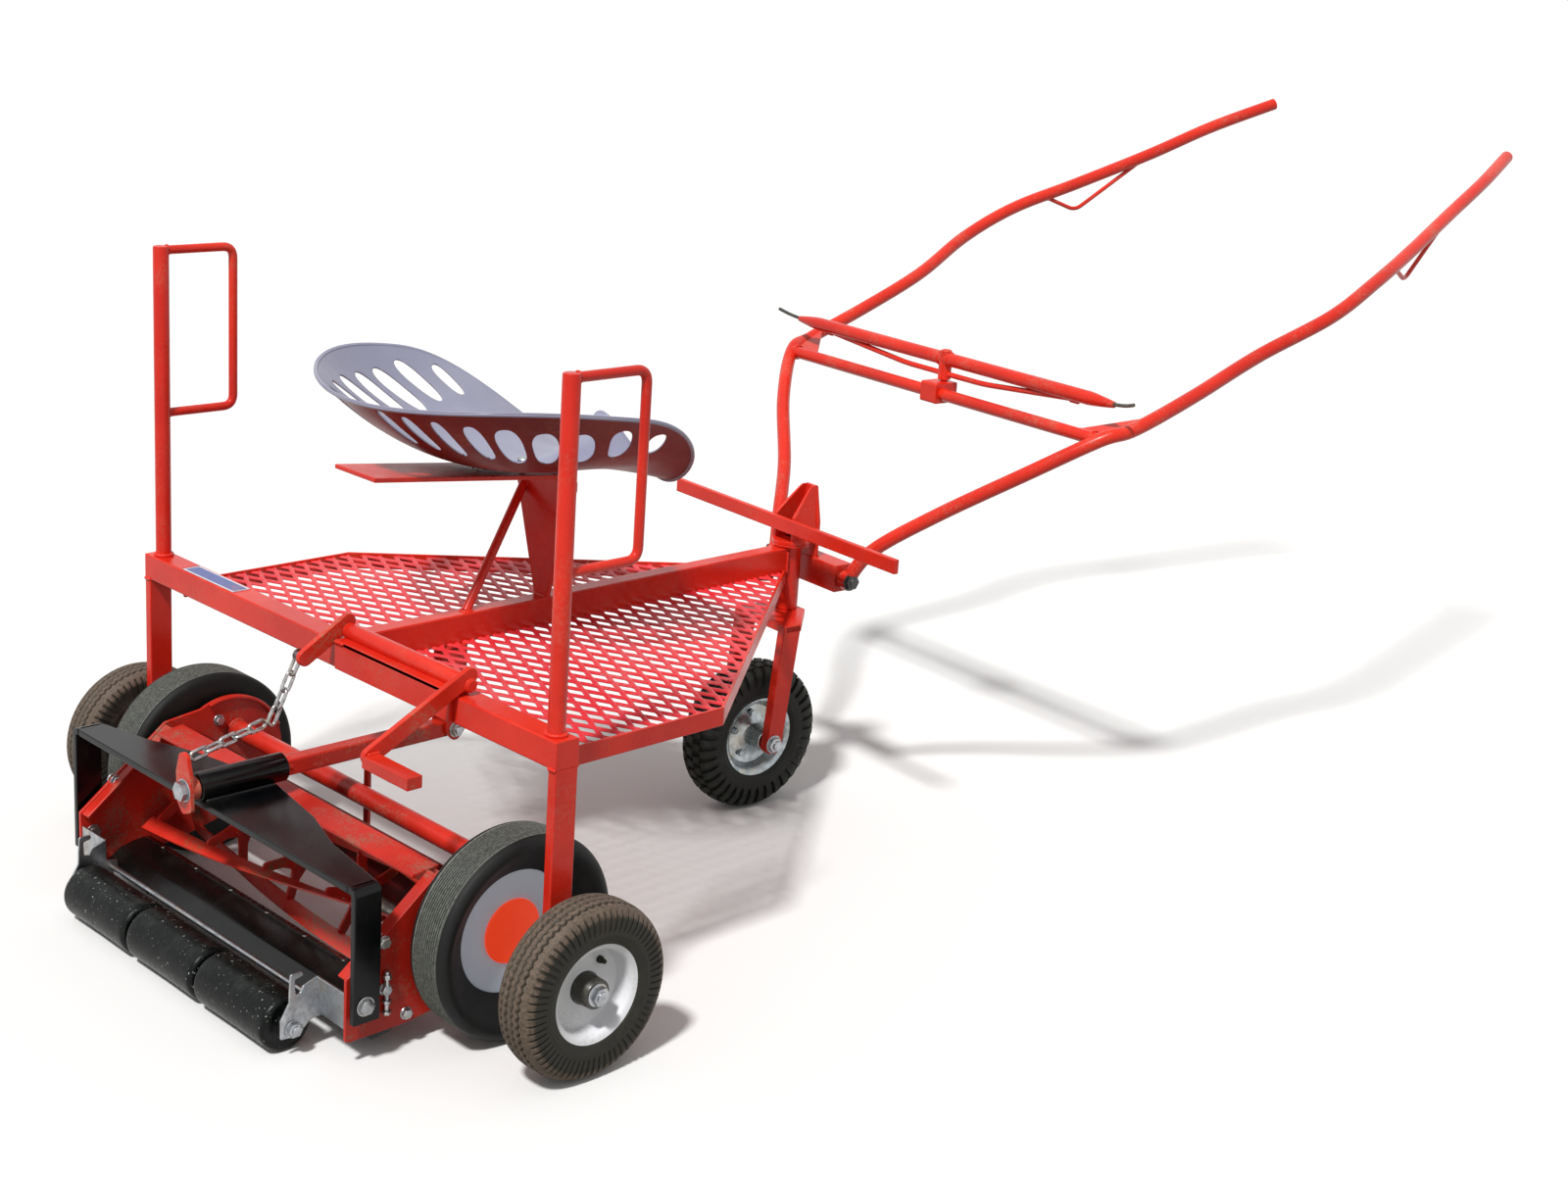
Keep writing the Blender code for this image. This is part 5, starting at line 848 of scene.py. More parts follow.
rim = seat_surface(rim_angle, np.full(480, 0.994)) + (0, 0, -0.0012)
piece("seat_rim_roll", [tube(rim, 0.0028, sides=12, closed=True)], silver, "cart")

PLATE_SLOPE, PLATE_HALF, PLATE_THICK = np.radians(6.3), 0.044, 0.006
low, high = box_of("seat_plate")
rise = (high[0] - low[0]) * np.tan(PLATE_SLOPE)
tall = PLATE_THICK / np.cos(PLATE_SLOPE)
front_z = low[2]
outline = [(low[0], front_z + rise), (high[0], front_z), (high[0], front_z + tall),
           (low[0], front_z + rise + tall)]
piece("seat_plate_bar", [slab(rounded(outline, 0.0016), -PLATE_HALF, PLATE_HALF, "XZ")],
      red_frame, "cart", ["seat_plate"])

low, high = box_of("seat_stand")
foot, shoulder, wide = 0.013, high[2] - 0.012, high[1]
outline = [(-foot, low[2]), (foot, low[2]), (wide, shoulder), (wide, high[2]), (-wide, high[2]),
           (-wide, shoulder)]
stand = slab(rounded(outline, 0.0016), low[0], high[0], "YZ")
beads = [weld([(x, y, low[2] + 0.0005) for y in (-foot, foot)], 0.003) for x in (low[0], high[0])]
beads += [weld([(x, y, high[2] - 0.0006) for y in (0.02 - wide, wide - 0.02)], 0.0026)
          for x in (low[0], high[0])]
piece("seat_stand_plate", [stand, *beads], red_frame, "cart", ["seat_stand"])
BRACE_R = 0.0065
top = np.array((low[0] - 0.001, 0.042, high[2] - 0.022))
foot_at = np.array((AXLE_X + 0.204, 0.0, beam_high[2] - 0.001))
line = foot_at + (top - foot_at) * np.linspace(0, 1, 12)[:, None]
beads = [ring_weld(foot_at + (0.001, 0, 0.001), (0, 0, 1), BRACE_R + 0.0012, 0.0022),
         ring_weld(top + (0.0005, 0, 0), (1, 0, 0), BRACE_R, 0.0018)]
piece("seat_brace_rod", [tube(line, BRACE_R, sides=28), *beads], red_frame, "cart",
      ["seat_brace"])

bolts = []
for node in ("rear_seat_bolt", "front_seat_bolt"):
    low, high = box_of(node)
    at = np.array(((low[0] + high[0]) / 2, 0, high[2] - 0.005))
    dome = [(0, -0.004), (0.0075, -0.0022), (0.0085, -0.0018), (0.0088, 0.0006), (0.0075, 0.0030),
            (0.0045, 0.0046), (0, 0.0050)]
    bolts.append(spun(dome, at, (0, 0, 1), steps=40))
    bolts.append(turned(0.004, -0.02, 0, at, (0, 0, 1), steps=48))
    bolts += hex_head((at[0], 0, low[2] + 0.009), (0, 0, -1), 0.0135, 0.0060, washer=0.0012, stud=0.001)
piece("seat_bolts", bolts, zinc_plate, "cart", ["rear_seat_bolt", "front_seat_bolt"])


# Lift lever: a tube bracket on the crossbeam, with a rod turning in it. One flat arm carries the
# chain and the other, outside, ends in a bar for the foot. Red enamel, scuffed on the foot bar.
LEVER_Z, SLEEVE_R, ROD_R, HOOK_X, HOOK_Z = 0.4255, 0.011, 0.0075, AXLE_X - 0.065, 0.399
NEAR_Y, FAR_Y, ARM_THICK, ARM_TALL, ARM_RISE = -0.276, -0.011, 0.008, 0.022, 0.0115
PEDAL_X, PEDAL_Z, PEDAL_HALF_W, PEDAL_HALF_TALL, PEDAL_LONG = -0.145, 0.359, 0.011, 0.008, 0.086


def strap_outline(start, end, width):
    """A flat bar with round ends between two points of a plane."""
    start, end = np.asarray(start, float), np.asarray(end, float)
    along = np.arctan2(*(end - start)[::-1])
    turn = np.linspace(-np.pi / 2, np.pi / 2, 12)
    cap = width / 2 * circle(along + turn)
    return np.vstack((end + cap, start - cap))


low, high = box_of("lift_bracket")
near, far = NEAR_Y + ARM_THICK + 0.0006, FAR_Y - ARM_THICK - 0.0006
back = low[0]
shells = [bar((back, near + 0.002, low[2]), (beam_low[0] - 0.0002, far - 0.002, LEVER_Z - 0.007), "Y",
              0.0012),
          bar((back, near + 0.002, beam_high[2] + 0.0001),
              (AXLE_X + 0.006, far - 0.002, LEVER_Z - 0.0075), "Y", 0.0008),
          turned(SLEEVE_R, near, far, (AXLE_X, 0, LEVER_Z), (0, 1, 0), 0.0005, ROD_R + 0.0004, 56)]
for y in (near + 0.012, far - 0.012):
    shells.append(weld([(back, y - 0.01, LEVER_Z - 0.0095), (back, y + 0.01, LEVER_Z - 0.0095)],
                       0.0026))
shells.append(weld([(back + 0.0005, near + 0.003, z) for z in (low[2] + 0.001, high[2] - 0.02)],
                   0.0022))
piece("lever_bracket", shells, red_frame, "cart", ["lift_bracket"])

lever_enamel = enamel("scuffed_lever_enamel", "#E0341F", "#C92817", rough=(0.24, 0.42), dust=0.2,
                      dust_colour="#A9795F")
root = (AXLE_X, LEVER_Z + ARM_RISE)
shells = [turned(ROD_R, NEAR_Y - 0.004, FAR_Y + 0.004, (AXLE_X, 0, LEVER_Z), (0, 1, 0), 0.0008,
                 steps=40),
          slab(strap_outline(root, (HOOK_X, HOOK_Z), ARM_TALL), FAR_Y - ARM_THICK, FAR_Y, "XZ",
               0.0012),
          slab(strap_outline(root, (AXLE_X + PEDAL_X, PEDAL_Z + 0.005), ARM_TALL),
               NEAR_Y, NEAR_Y + ARM_THICK, "XZ", 0.0012),
          bar((AXLE_X + PEDAL_X - PEDAL_HALF_W, NEAR_Y - PEDAL_LONG, PEDAL_Z - PEDAL_HALF_TALL),
              (AXLE_X + PEDAL_X + PEDAL_HALF_W, NEAR_Y + ARM_THICK / 2, PEDAL_Z + PEDAL_HALF_TALL),
              "Y", 0.0014)]
for y in (NEAR_Y, FAR_Y - ARM_THICK):
    shells.append(ring_weld((AXLE_X, y, LEVER_Z), (0, 1, 0), ROD_R, 0.0018))
shells.append(weld([(AXLE_X + PEDAL_X - 0.006, NEAR_Y - 0.0003, PEDAL_Z + 0.0085),
                    (AXLE_X + PEDAL_X + 0.012, NEAR_Y - 0.0003, PEDAL_Z + 0.0085)], 0.0022))
piece("lift_lever_weldment", shells, lever_enamel, "lever", ["lift_lever"])


# Lift chain: short links bent from wire, each butt welded on one side, bright zinc. It hangs from
# the lever's arm on a bolt and ends at the hitch plate behind the draft tube.
LINK_WIRE_R, LINK_LONG, LINK_HALF, LINK_BITE = 0.0024, 0.026, 0.0056, 0.0010
CHAIN_PLANE = FAR_Y + 0.0085
CHAIN_TOP = np.array((HOOK_X, CHAIN_PLANE, HOOK_Z))
CHAIN_BEND = np.array((AXLE_X - 0.108, CHAIN_PLANE, 0.312))
CHAIN_LAP = 0.0115


def chain_links(start, end):
    """Oval links between two points, each a quarter turn from the last. A link is an oval line
    with a circle carried round it, which swells at the weld on one straight side."""
    span = np.linalg.norm(end - start)
    run = (end - start) / span
    side = unit(np.cross(run, (0, 1, 0)))
    other = np.cross(run, side)
    lap = 2 * LINK_WIRE_R - LINK_BITE
    count = round((span - lap) / (LINK_LONG - lap))
    long = (span + (count - 1) * lap) / count
    half = long / 2 - LINK_HALF
    turn = np.radians(np.linspace(-90, 90, 15))
    straight = np.linspace(half, -half, 9)[1:-1]
    u = np.concatenate((half + LINK_HALF * np.cos(turn), straight, -half - LINK_HALF * np.cos(turn),
                        -straight))
    v = np.concatenate((LINK_HALF * np.sin(turn), np.full(7, LINK_HALF), LINK_HALF * np.sin(turn[::-1]),
                        np.full(7, -LINK_HALF)))
    swell = LINK_WIRE_R * (1 + 0.16 * np.exp(-(u / 0.0016) ** 2) * (v > LINK_HALF * 0.99))
    links = []
    for number in range(count):
        middle = start + run * (long / 2 + (long - lap) * number)
        across = side if number % 2 == 0 else other
        links.append(tube(middle + u[:, None] * run + v[:, None] * across, swell, sides=14,
                          closed=True))
    return links


chain_zinc = zinc("bright_chain_zinc", colour="#C4C4C6", dull="#8E8C8C", rough=(0.20, 0.36))
low, high = box_of("chain_lower")
bolt = [turned(0.0045, 0.0003, 0.0145, (CHAIN_TOP[0], FAR_Y, CHAIN_TOP[2]), (0, 1, 0))]
bolt += hex_head((CHAIN_TOP[0], FAR_Y + 0.0106, CHAIN_TOP[2]), (0, 1, 0), SMALL_HEX, 0.0034,
                 washer=0.0008)
piece("upper_chain_links", [*chain_links(CHAIN_BEND, CHAIN_TOP), *bolt], chain_zinc, "upper_chain",
      ["chain_upper"])
foot = np.array((low[0] + LINK_WIRE_R + LINK_HALF, 0.0, 0.293))
bend = CHAIN_BEND + (0, CHAIN_LAP, 0)
away = unit(foot - bend)
piece("lower_chain_links", chain_links(bend, foot + away * LINK_HALF), chain_zinc, "lower_chain",
      ["chain_lower"])


# Draft tube: a square tube on a bolt between two cheeks under the centre beam. It tows the mower
# by a round spindle, with a hitch plate behind it and a flat stop strap hanging below.
DRAFT_X, DRAFT_Z, DRAFT_HALF = AXLE_X + 0.180, 0.250, 0.011
SLEEVE_FRONT, SLEEVE_REAR, HITCH_REAR = AXLE_X - 0.088, AXLE_X - 0.214, AXLE_X - 0.231
HITCH_THICK, SPINDLE_R = 0.006, 0.012
low, high = box_of("draft_bracket")
shells = [bar((low[0], low[1], high[2] - 0.0057), high, "Y", 0.0012)]
for sign in (1, -1):
    outline = rounded([(low[0], high[2] - 0.0010), (high[0], high[2] - 0.0010),
                       (high[0], low[2] + 0.012), (high[0] - 0.012, low[2]), (low[0] + 0.012, low[2]),
                       (low[0], low[2] + 0.012)], 0.007)
    shells.append(slab(outline, sign * high[1], sign * (high[1] - 0.005), "XZ"))
    shells.append(weld([(x, sign * (high[1] + 0.0002), high[2] - 0.0005)
                        for x in (low[0] + 0.001, high[0] - 0.001)], 0.0026))
piece("draft_cheeks", shells, red_frame, "cart", ["draft_bracket"])
low, high = box_of("draft_bolt")
shells = [spun([(0, low[1] + 0.0006), (0.0056, low[1] + 0.0006), (0.006, low[1] + 0.0015),
                (0.006, high[1] - 0.004), (0, high[1] - 0.004)],
               (DRAFT_X, 0, DRAFT_Z), (0, 1, 0), steps=32)]
shells += hex_head((DRAFT_X, 0.0173, DRAFT_Z), (0, 1, 0), MIDDLE_HEX, 0.0045, washer=0.0012)
shells += hex_head((DRAFT_X, -0.0173, DRAFT_Z), (0, -1, 0), MIDDLE_HEX, 0.0055, washer=0.0012)
piece("draft_bolt_and_nut", shells, zinc_plate, "cart", ["draft_bolt"])

tow_enamel = enamel("dusty_tow_enamel", "#D8321F", "#BE2716", rough=(0.28, 0.46), dust=0.22)
shells = [bar((SLEEVE_FRONT + 0.002, -DRAFT_HALF, DRAFT_Z - DRAFT_HALF),
              (DRAFT_X + DRAFT_HALF, DRAFT_HALF, DRAFT_Z + DRAFT_HALF), "X", 0.0026),
          spun([(0, HITCH_REAR + 0.001), (SPINDLE_R + 0.003, HITCH_REAR + 0.001),
                (SPINDLE_R + 0.003, SLEEVE_REAR - 0.0012), (SPINDLE_R + 0.0024, SLEEVE_REAR - 0.0006),
                (SPINDLE_R, SLEEVE_REAR - 0.0005), (SPINDLE_R, SLEEVE_FRONT + 0.01),
                (0, SLEEVE_FRONT + 0.01)], (0, 0, DRAFT_Z), (1, 0, 0), steps=40)]
outline = [(-0.016, -0.026), (0.004, -0.034), (0.018, -0.020), (0.020, 0.020), (0.012, 0.046),
           (0.004, 0.050), (-0.006, 0.046), (-0.014, 0.020)]
outline = np.array(outline) + (0, DRAFT_Z)
shells.append(slab(rounded(outline, 0.006), HITCH_REAR, HITCH_REAR + HITCH_THICK, "YZ", 0.0010))
STRAP_X = AXLE_X + 0.057
shells.append(bar((STRAP_X - 0.003, 0.0095, DRAFT_Z - 0.129), (STRAP_X + 0.003, 0.0195, DRAFT_Z), "Z",
                  0.0012))
shells.append(weld([(STRAP_X - 0.0035, 0.0115, DRAFT_Z + z) for z in (-0.010, 0.008)], 0.0024))
shells.append(ring_weld((SLEEVE_FRONT + 0.0030, 0, DRAFT_Z), (1, 0, 0), 0.0118, 0.0014))
piece("draft_tube_weldment", shells, tow_enamel, "draft", ["draft_tube"])
hitch_nut = hex_head((HITCH_REAR, 0, DRAFT_Z), (-1, 0, 0), 0.0225, 0.0085, washer=0.0014)
piece("hitch_nut", hitch_nut, zinc_plate, "draft")


# Yoke: a sleeve that rolls on the draft spindle, welded to a bent saddle plate whose two legs
# reach down to the mower. Thick black gloss enamel with a blue-black sheen.
YOKE_HALF, YOKE_THICK, YOKE_BAR_W = 0.330, 0.008, 0.038
YOKE_PIVOT_X, YOKE_PIVOT_Z, MOWER_SHIFT = AXLE_X - 0.197, 0.082, -0.016
SLEEVE_R_OUT = 0.019
yoke_black = enamel("blue_black_gloss_enamel", "#030405", "#06080A", rough=(0.14, 0.30), dust=0.05,
                    dust_colour="#34352F", shine=0.22)
saddle_top = DRAFT_Z - SLEEVE_R_OUT + 0.004
saddle_low = saddle_top - 0.009
shells = [turned(SLEEVE_R_OUT, SLEEVE_REAR, SLEEVE_FRONT, (0, 0, DRAFT_Z), (1, 0, 0), 0.0008,
                 SPINDLE_R + 0.0004, 56)]
rear, front = SLEEVE_REAR, SLEEVE_REAR + YOKE_BAR_W
outline = []
for sign in (1, -1):
    edge = MOWER_SHIFT + sign * (YOKE_HALF - 0.0095)
    wing = [(SLEEVE_FRONT - 0.018, sign * 0.017), (AXLE_X - 0.128, sign * 0.135),
            (AXLE_X - 0.156, sign * 0.215), (front, edge), (rear, edge)]
    outline += wing if sign > 0 else wing[::-1]
shells.append(slab(rounded(outline, 0.010), saddle_low, saddle_top, "XY", 0.0014))
for sign in (1, -1):
    edge = MOWER_SHIFT + sign * YOKE_HALF
    inner = edge - sign * YOKE_THICK
    bend = 0.0105
    turn = np.linspace(0, np.pi / 2, 10)
    centre = np.array((edge - sign * bend, saddle_top - bend))
    arc = np.stack((sign * np.sin(turn), np.cos(turn)), -1)
    outer = centre + bend * arc
    inside = centre + (bend - 0.009) * arc
    outer = np.vstack(((centre[0] - sign * 0.004, saddle_top), outer, (edge, YOKE_PIVOT_Z - 0.022)))
    inside = np.vstack(((centre[0] - sign * 0.004, saddle_low), inside, (inner, YOKE_PIVOT_Z - 0.022)))
    shells.append(slab(np.vstack((outer, inside[::-1])), rear, front, "YZ", 0.0012))
for sign in (1, -1):
    shells.append(weld([(x, sign * 0.0165, saddle_top + 0.0004)
                        for x in np.linspace(SLEEVE_REAR + 0.004, SLEEVE_FRONT - 0.022, 20)], 0.0030))
piece("yoke_plate", shells, yoke_black, "yoke_frame", ["yoke"])


# Mower frame: two flanged side plates cut from sheet, tied by a round tube and a flat bar. Red
# enamel under a film of dust, darker where oil from the reel has caught it.
PLATE_Y, PLATE_SHEET, FLANGE, TIE_R = 0.316, 0.005, 0.016, 0.0135
GUARD_X, GUARD_Z, GUARD_R = 0.016, 0.150, 0.088    # the round front of the side plates
MOWER_TYRE_R, MOWER_TYRE_W, DISC_R, DISC_INSET, RED_CENTRE_R = 0.134, 0.067, 0.081, 0.030, 0.042
mower_red = enamel("dusty_mower_enamel", "#D62F20", "#B22316", rough=(0.26, 0.46), dust=0.24,
                   dust_colour="#8E6A58")
side_outline = [(-0.215, 0.032), (-0.215, 0.115), (-0.084, 0.219)]
turn = np.radians(np.linspace(120, -35, 28))
side_outline += list((GUARD_X, GUARD_Z) + GUARD_R * circle(turn))
side_outline += [(0.060, 0.070), (-0.060, 0.040), (-0.130, 0.032)]
side_outline = np.array(side_outline) + (AXLE_X, 0)
lip_line = np.array([(-0.2132, 0.1136), (-0.0845, 0.2165)]) + (AXLE_X, 0)
frame_bolts = []
for side, sign in SIDES:
    outer = MOWER_SHIFT + sign * PLATE_Y
    inner = outer - sign * PLATE_SHEET
    shells = [slab(rounded(side_outline, 0.004), inner, outer, "XZ")]
    slope = unit(lip_line[1] - lip_line[0])
    across = np.array((slope[1], -slope[0])) * 0.0045
    lip = rounded([lip_line[0], lip_line[1], lip_line[1] + across, lip_line[0] + across], 0.0010)
    shells.append(slab(lip, inner + sign * 0.001, inner - sign * FLANGE, "XZ", 0.0012))
    turn = np.linspace(np.radians(112), np.radians(20), 24)
    middle = np.array((AXLE_X + GUARD_X, GUARD_Z))
    edge = middle + (GUARD_R - 0.0025) * circle(turn)
    curl = np.stack((edge[:, 0], np.full(24, inner - sign * 0.002), edge[:, 1]), -1)
    shells.append(tube(curl, 0.0032, sides=14))
    shells.append(turned(0.0100, 0, 0.033, (AXLE_X, outer - sign * 0.001, MOWER_TYRE_R), (0, sign, 0)))
    piece(f"{side}_side_plate_sheet", shells, mower_red, "mower", [f"{side}_side_plate"])
    for x, z in ((-0.162, 0.150), (-0.128, 0.046), (0.000, 0.205), (0.062, 0.120)):
        frame_bolts += hex_head((AXLE_X + x, outer, z), (0, sign, 0), SMALL_HEX, 0.005, stud=0.0015)
        frame_bolts += hex_head((AXLE_X + x, inner, z), (0, -sign, 0), SMALL_HEX, 0.005)
    eye = np.array((AXLE_X - 0.160, outer + sign * 0.0048, 0.0))
    frame_bolts.append(turned(0.0030, 0.061, 0.113, eye, (0, 0, 1), steps=48))
    for z, way in ((0.061, -1), (0.075, -1), (0.104, 1)):
        frame_bolts += hex_head(eye + (0, 0, z), (0, 0, way), 0.0096, 0.004, washer=0.0008)
    frame_bolts += hex_head((AXLE_X - 0.160, outer, 0.088), (0, sign, 0), SMALL_HEX, 0.0062)
piece("mower_frame_bolts", frame_bolts, zinc_plate, "mower")

for side, sign in SIDES:
    leg_out = MOWER_SHIFT + sign * YOKE_HALF + sign * 0.0003
    plate_in = MOWER_SHIFT + sign * (PLATE_Y - PLATE_SHEET) - sign * 0.0003
    at = (YOKE_PIVOT_X, 0, YOKE_PIVOT_Z)
    way = (0, sign, 0)
    reach = sign * leg_out + 0.001
    start = sign * plate_in - 0.005
    spacer_from = sign * MOWER_SHIFT + PLATE_Y + 0.0004
    spacer_to = sign * leg_out - YOKE_THICK - 0.0008
    shells = [turned(0.006, start, reach, at, way),
              turned(0.0098, spacer_from, spacer_to, at, way, bore=0.0062)]
    shells += hex_head((YOKE_PIVOT_X, leg_out, YOKE_PIVOT_Z), way, 0.0185, 0.0048, washer=0.0012)
    shells += hex_head((YOKE_PIVOT_X, plate_in, YOKE_PIVOT_Z), (0, -sign, 0), 0.0168, 0.0045,
                       washer=0.0012)
    piece(f"{side}_yoke_bolt_and_nut", shells, zinc_plate, "mower", [f"{side}_yoke_bolt"])

low, high = box_of("cross_tube")
tube_x, tube_z = (low[0] + high[0]) / 2, (low[2] + high[2]) / 2
tie = turned(TIE_R, low[1], high[1], (tube_x, 0, tube_z), (0, 1, 0), 0.0006, steps=48)
rings = [ring_weld((tube_x, y, tube_z), (0, 1, 0), TIE_R + 0.0003, 0.0022)
         for y in (low[1] + 0.0015, high[1] - 0.0015)]
piece("cross_tube_round", [tie, *rings], mower_red, "mower", ["cross_tube"])
low, high = box_of("top_bar")
outline = np.array([(-0.107, 0.209), (-0.067, 0.213), (-0.067, 0.218), (-0.107, 0.214)]) + (AXLE_X, 0)
piece("top_bar_flat", [slab(rounded(outline, 0.0012), low[1], high[1], "XZ")], mower_red, "mower",
      ["top_bar"])


# Bed knife: a ground steel blade screwed on a broad black casting behind the reel, which slopes
# back towards the roller. The blade is bright, and the casting is rough under its paint.
REEL_X, REEL_Z, REEL_R, KNIFE_ANGLE = AXLE_X - 0.068, 0.122, 0.077, np.radians(-125)
cast_black = enamel("black_cast_iron_enamel", "#050706", "#0A0C0B", rough=(0.20, 0.38), peel_mm=4.0,
                    dust=0.06, dust_colour="#4A4338", shine=0.30)
ground_steel = zinc("ground_knife_steel", colour="#A9A9A6", dull="#77726C", rough=(0.18, 0.36))
low, high = box_of("cutter_bar")
lip = (REEL_X, REEL_Z) + (REEL_R + 0.0012) * circle(KNIFE_ANGLE)
outline = lip + np.array([(-0.0014, -0.0040), (-0.012, -0.020), (-0.036, -0.034), (-0.060, -0.036),
                          (-0.069, -0.031), (-0.066, -0.024), (-0.046, -0.009), (-0.024, -0.0030),
                          (-0.008, -0.0014)])
shells = [slab(rounded(outline, 0.0050), low[1] + 0.0003, high[1] - 0.0003, "XZ")]
piece("cutter_bar_casting", shells, cast_black, "mower", ["cutter_bar"])
blade = lip + np.array([(0, -0.0002), (-0.0010, -0.0038), (-0.0080, -0.0012), (-0.0080, -0.0001)])
shells = [slab(blade, low[1] + 0.004, high[1] - 0.004, "XZ", 0.0002, 0.0001)]
for y in np.linspace(low[1] + 0.05, high[1] - 0.05, 7):
    shells.append(spun([(0, -0.0005), (0.0040, -0.0005), (0.0034, 0.0008), (0, 0.0008)],
                       (lip[0] - 0.0060, y, lip[1] + 0.0002), (0, 0, 1), steps=24))
piece("bed_knife_blade", shells, ground_steel, "mower")


# Reel shield: sheet steel rolled round the front of the reel and welded between the side plates. It
# turns the clippings down. Its red enamel is painted dark, as painted shade for the shadow inside the
# mower, under a little dust.
shield_red = enamel("painted_shade_dark_red_enamel", "#7A1A16", "#4A1210", rough=(0.34, 0.62), dust=0.22,
                    dust_colour="#4B2A20", shine=0.12)
SHIELD_FROM, SHIELD_TO, SHIELD_IN, SHIELD_OUT = np.radians(66), np.radians(-44), 0.0790, 0.0802
turn = np.linspace(SHIELD_FROM, SHIELD_TO, 40)
curve = circle(turn)
outline = np.concatenate((curve * SHIELD_OUT, curve[::-1] * SHIELD_IN)) + (REEL_X, REEL_Z)
rows = [np.insert(outline, 1, y, axis=1) for y in
        (low[1] + 0.003, low[1] + 0.0034, high[1] - 0.0034, high[1] - 0.003)]
piece("reel_shield", [lattice(np.stack(rows), ends=True)], shield_red, "mower")


# Reel: five steel blades wound round star-shaped spiders on a shaft. Red enamel, ground bright
# along the cutting edge and dusted with dried grass.
BLADE_DEEP, BLADE_THICK, BLADE_HALF, BLADES = 0.022, 0.003, 0.2995, 5
REEL_TWIST, SPIDERS, SPIDER_INSET = np.radians(72), 5, 0.024
reel_red = enamel("reel_enamel", "#E2382A", "#C42A1D", rough=(0.22, 0.42), dust=0.22,
                  dust_colour="#7C6A4A")


def reel_blade(number):
    """One blade: a thin section, carried along the reel while it turns through the reel's twist.
    The section leans back a little towards its root."""
    share = np.linspace(0, 1, 90)
    turn = (2 * np.pi * number / BLADES + REEL_TWIST * share)[:, None]
    radius = np.concatenate((np.linspace(REEL_R - 0.0002, REEL_R - BLADE_DEEP, 7),
                             np.linspace(REEL_R - BLADE_DEEP, REEL_R - 0.0002, 7)))
    side = np.repeat((0.0002, BLADE_THICK - 0.0002), 7)
    angle = turn + side / radius
    y = MOWER_SHIFT + BLADE_HALF * (2 * share - 1)
    grid = np.stack((REEL_X + radius * np.cos(angle), np.broadcast_to(y[:, None], angle.shape),
                     REEL_Z + radius * np.sin(angle)), -1)
    return lattice(grid, ends=True)


def spider(y):
    """A star of five arms, each under the blade that passes there, welded to a hub."""
    share = (y - MOWER_SHIFT + BLADE_HALF) / (2 * BLADE_HALF)
    start = REEL_TWIST * share + 0.5 * BLADE_THICK / REEL_R
    outline = []
    for number in range(BLADES):
        arm = start + 2 * np.pi * number / BLADES
        for offset, radius in ((-0.50, 0.0185), (-0.26, 0.030), (-0.13, REEL_R - BLADE_DEEP + 0.004),
                               (0.10, REEL_R - BLADE_DEEP + 0.004), (0.20, 0.030)):
            outline.append((REEL_X + radius * np.cos(arm + offset),
                            REEL_Z + radius * np.sin(arm + offset)))
    hub = turned(0.0158, -0.009, 0.009, (REEL_X, y, REEL_Z), (0, 1, 0), 0.0008, 0.0094, 40)
    return [slab(rounded(outline, 0.006), y - 0.002, y + 0.002, "XZ"), hub]


shells = [reel_blade(number) for number in range(BLADES)]
for number in range(SPIDERS):
    shells += spider(MOWER_SHIFT + (BLADE_HALF - SPIDER_INSET) * (2 * number / (SPIDERS - 1) - 1))
piece("reel_blades_wound", shells, reel_red, "reel", ["reel_blades"])
low, high = box_of("reel_shaft")
shaft = turned(0.009, low[1], high[1], (REEL_X, 0, REEL_Z), (0, 1, 0), 0.0008, steps=36)
worn_steel = zinc("worn_shaft_steel", colour="#8B8A88", dull="#5A5048", rough=(0.30, 0.50))
piece("reel_shaft_round", [shaft], worn_steel, "reel", ["reel_shaft"])


# Drive wheels: broad solid rubber tyres with fine ribs round the tread, on dished steel discs.
# The disc is pale grey with an orange-red centre, both brighter than the light on them: they are
# painted paler and glow, as painted light that stands in for the sun their recess keeps off. The
# ribs carry dry grey dust.
RIBS, RIB_DEEP, BAND_STEPS = 12, 0.0026, 160


def ribbed_band(half, inset):
    """Section of a drive tyre: a flat wall, a round shoulder, and fine ribs across the tread."""
    inner_r, outer_r = DISC_R, MOWER_TYRE_R
    wall = [(inner_r, inset - 0.016), (inner_r, inset - 0.001), (inner_r + 0.001, inset)]
    share = np.linspace(0.05, 1, 5)[:, None]
    wall += list(np.array((inner_r + 0.001, inset))
                 + share * (np.array((outer_r - 0.014, half)) - (inner_r + 0.001, inset)))
    turn = np.linspace(np.pi / 2, 0, 9)[1:]
    shoulder = [(outer_r - 0.012 + 0.012 * np.cos(a), half - 0.012 + 0.012 * np.sin(a)) for a in turn]
    across = np.linspace(half - 0.012, -half + 0.010, RIBS * 12 + 1)[1:]
    phase = (half - 0.012 - across) / (2 * half - 0.022) * RIBS
    groove = RIB_DEEP * np.clip(0.9 * np.cos(2 * np.pi * phase) + 0.55, 0, 1)
    tread = list(np.stack((outer_r - groove * (across > -half + 0.012), across), -1))
    turn = np.linspace(0, -np.pi / 2, 7)[1:]
    inner_side = [(outer_r - 0.010 + 0.010 * np.cos(a), -half + 0.010 + 0.010 * np.sin(a))
                  for a in turn]
    inner_side += [(inner_r + 0.012, -half), (inner_r, -half + 0.004)]
    return np.array([*wall, *shoulder, *tread, *inner_side], float)


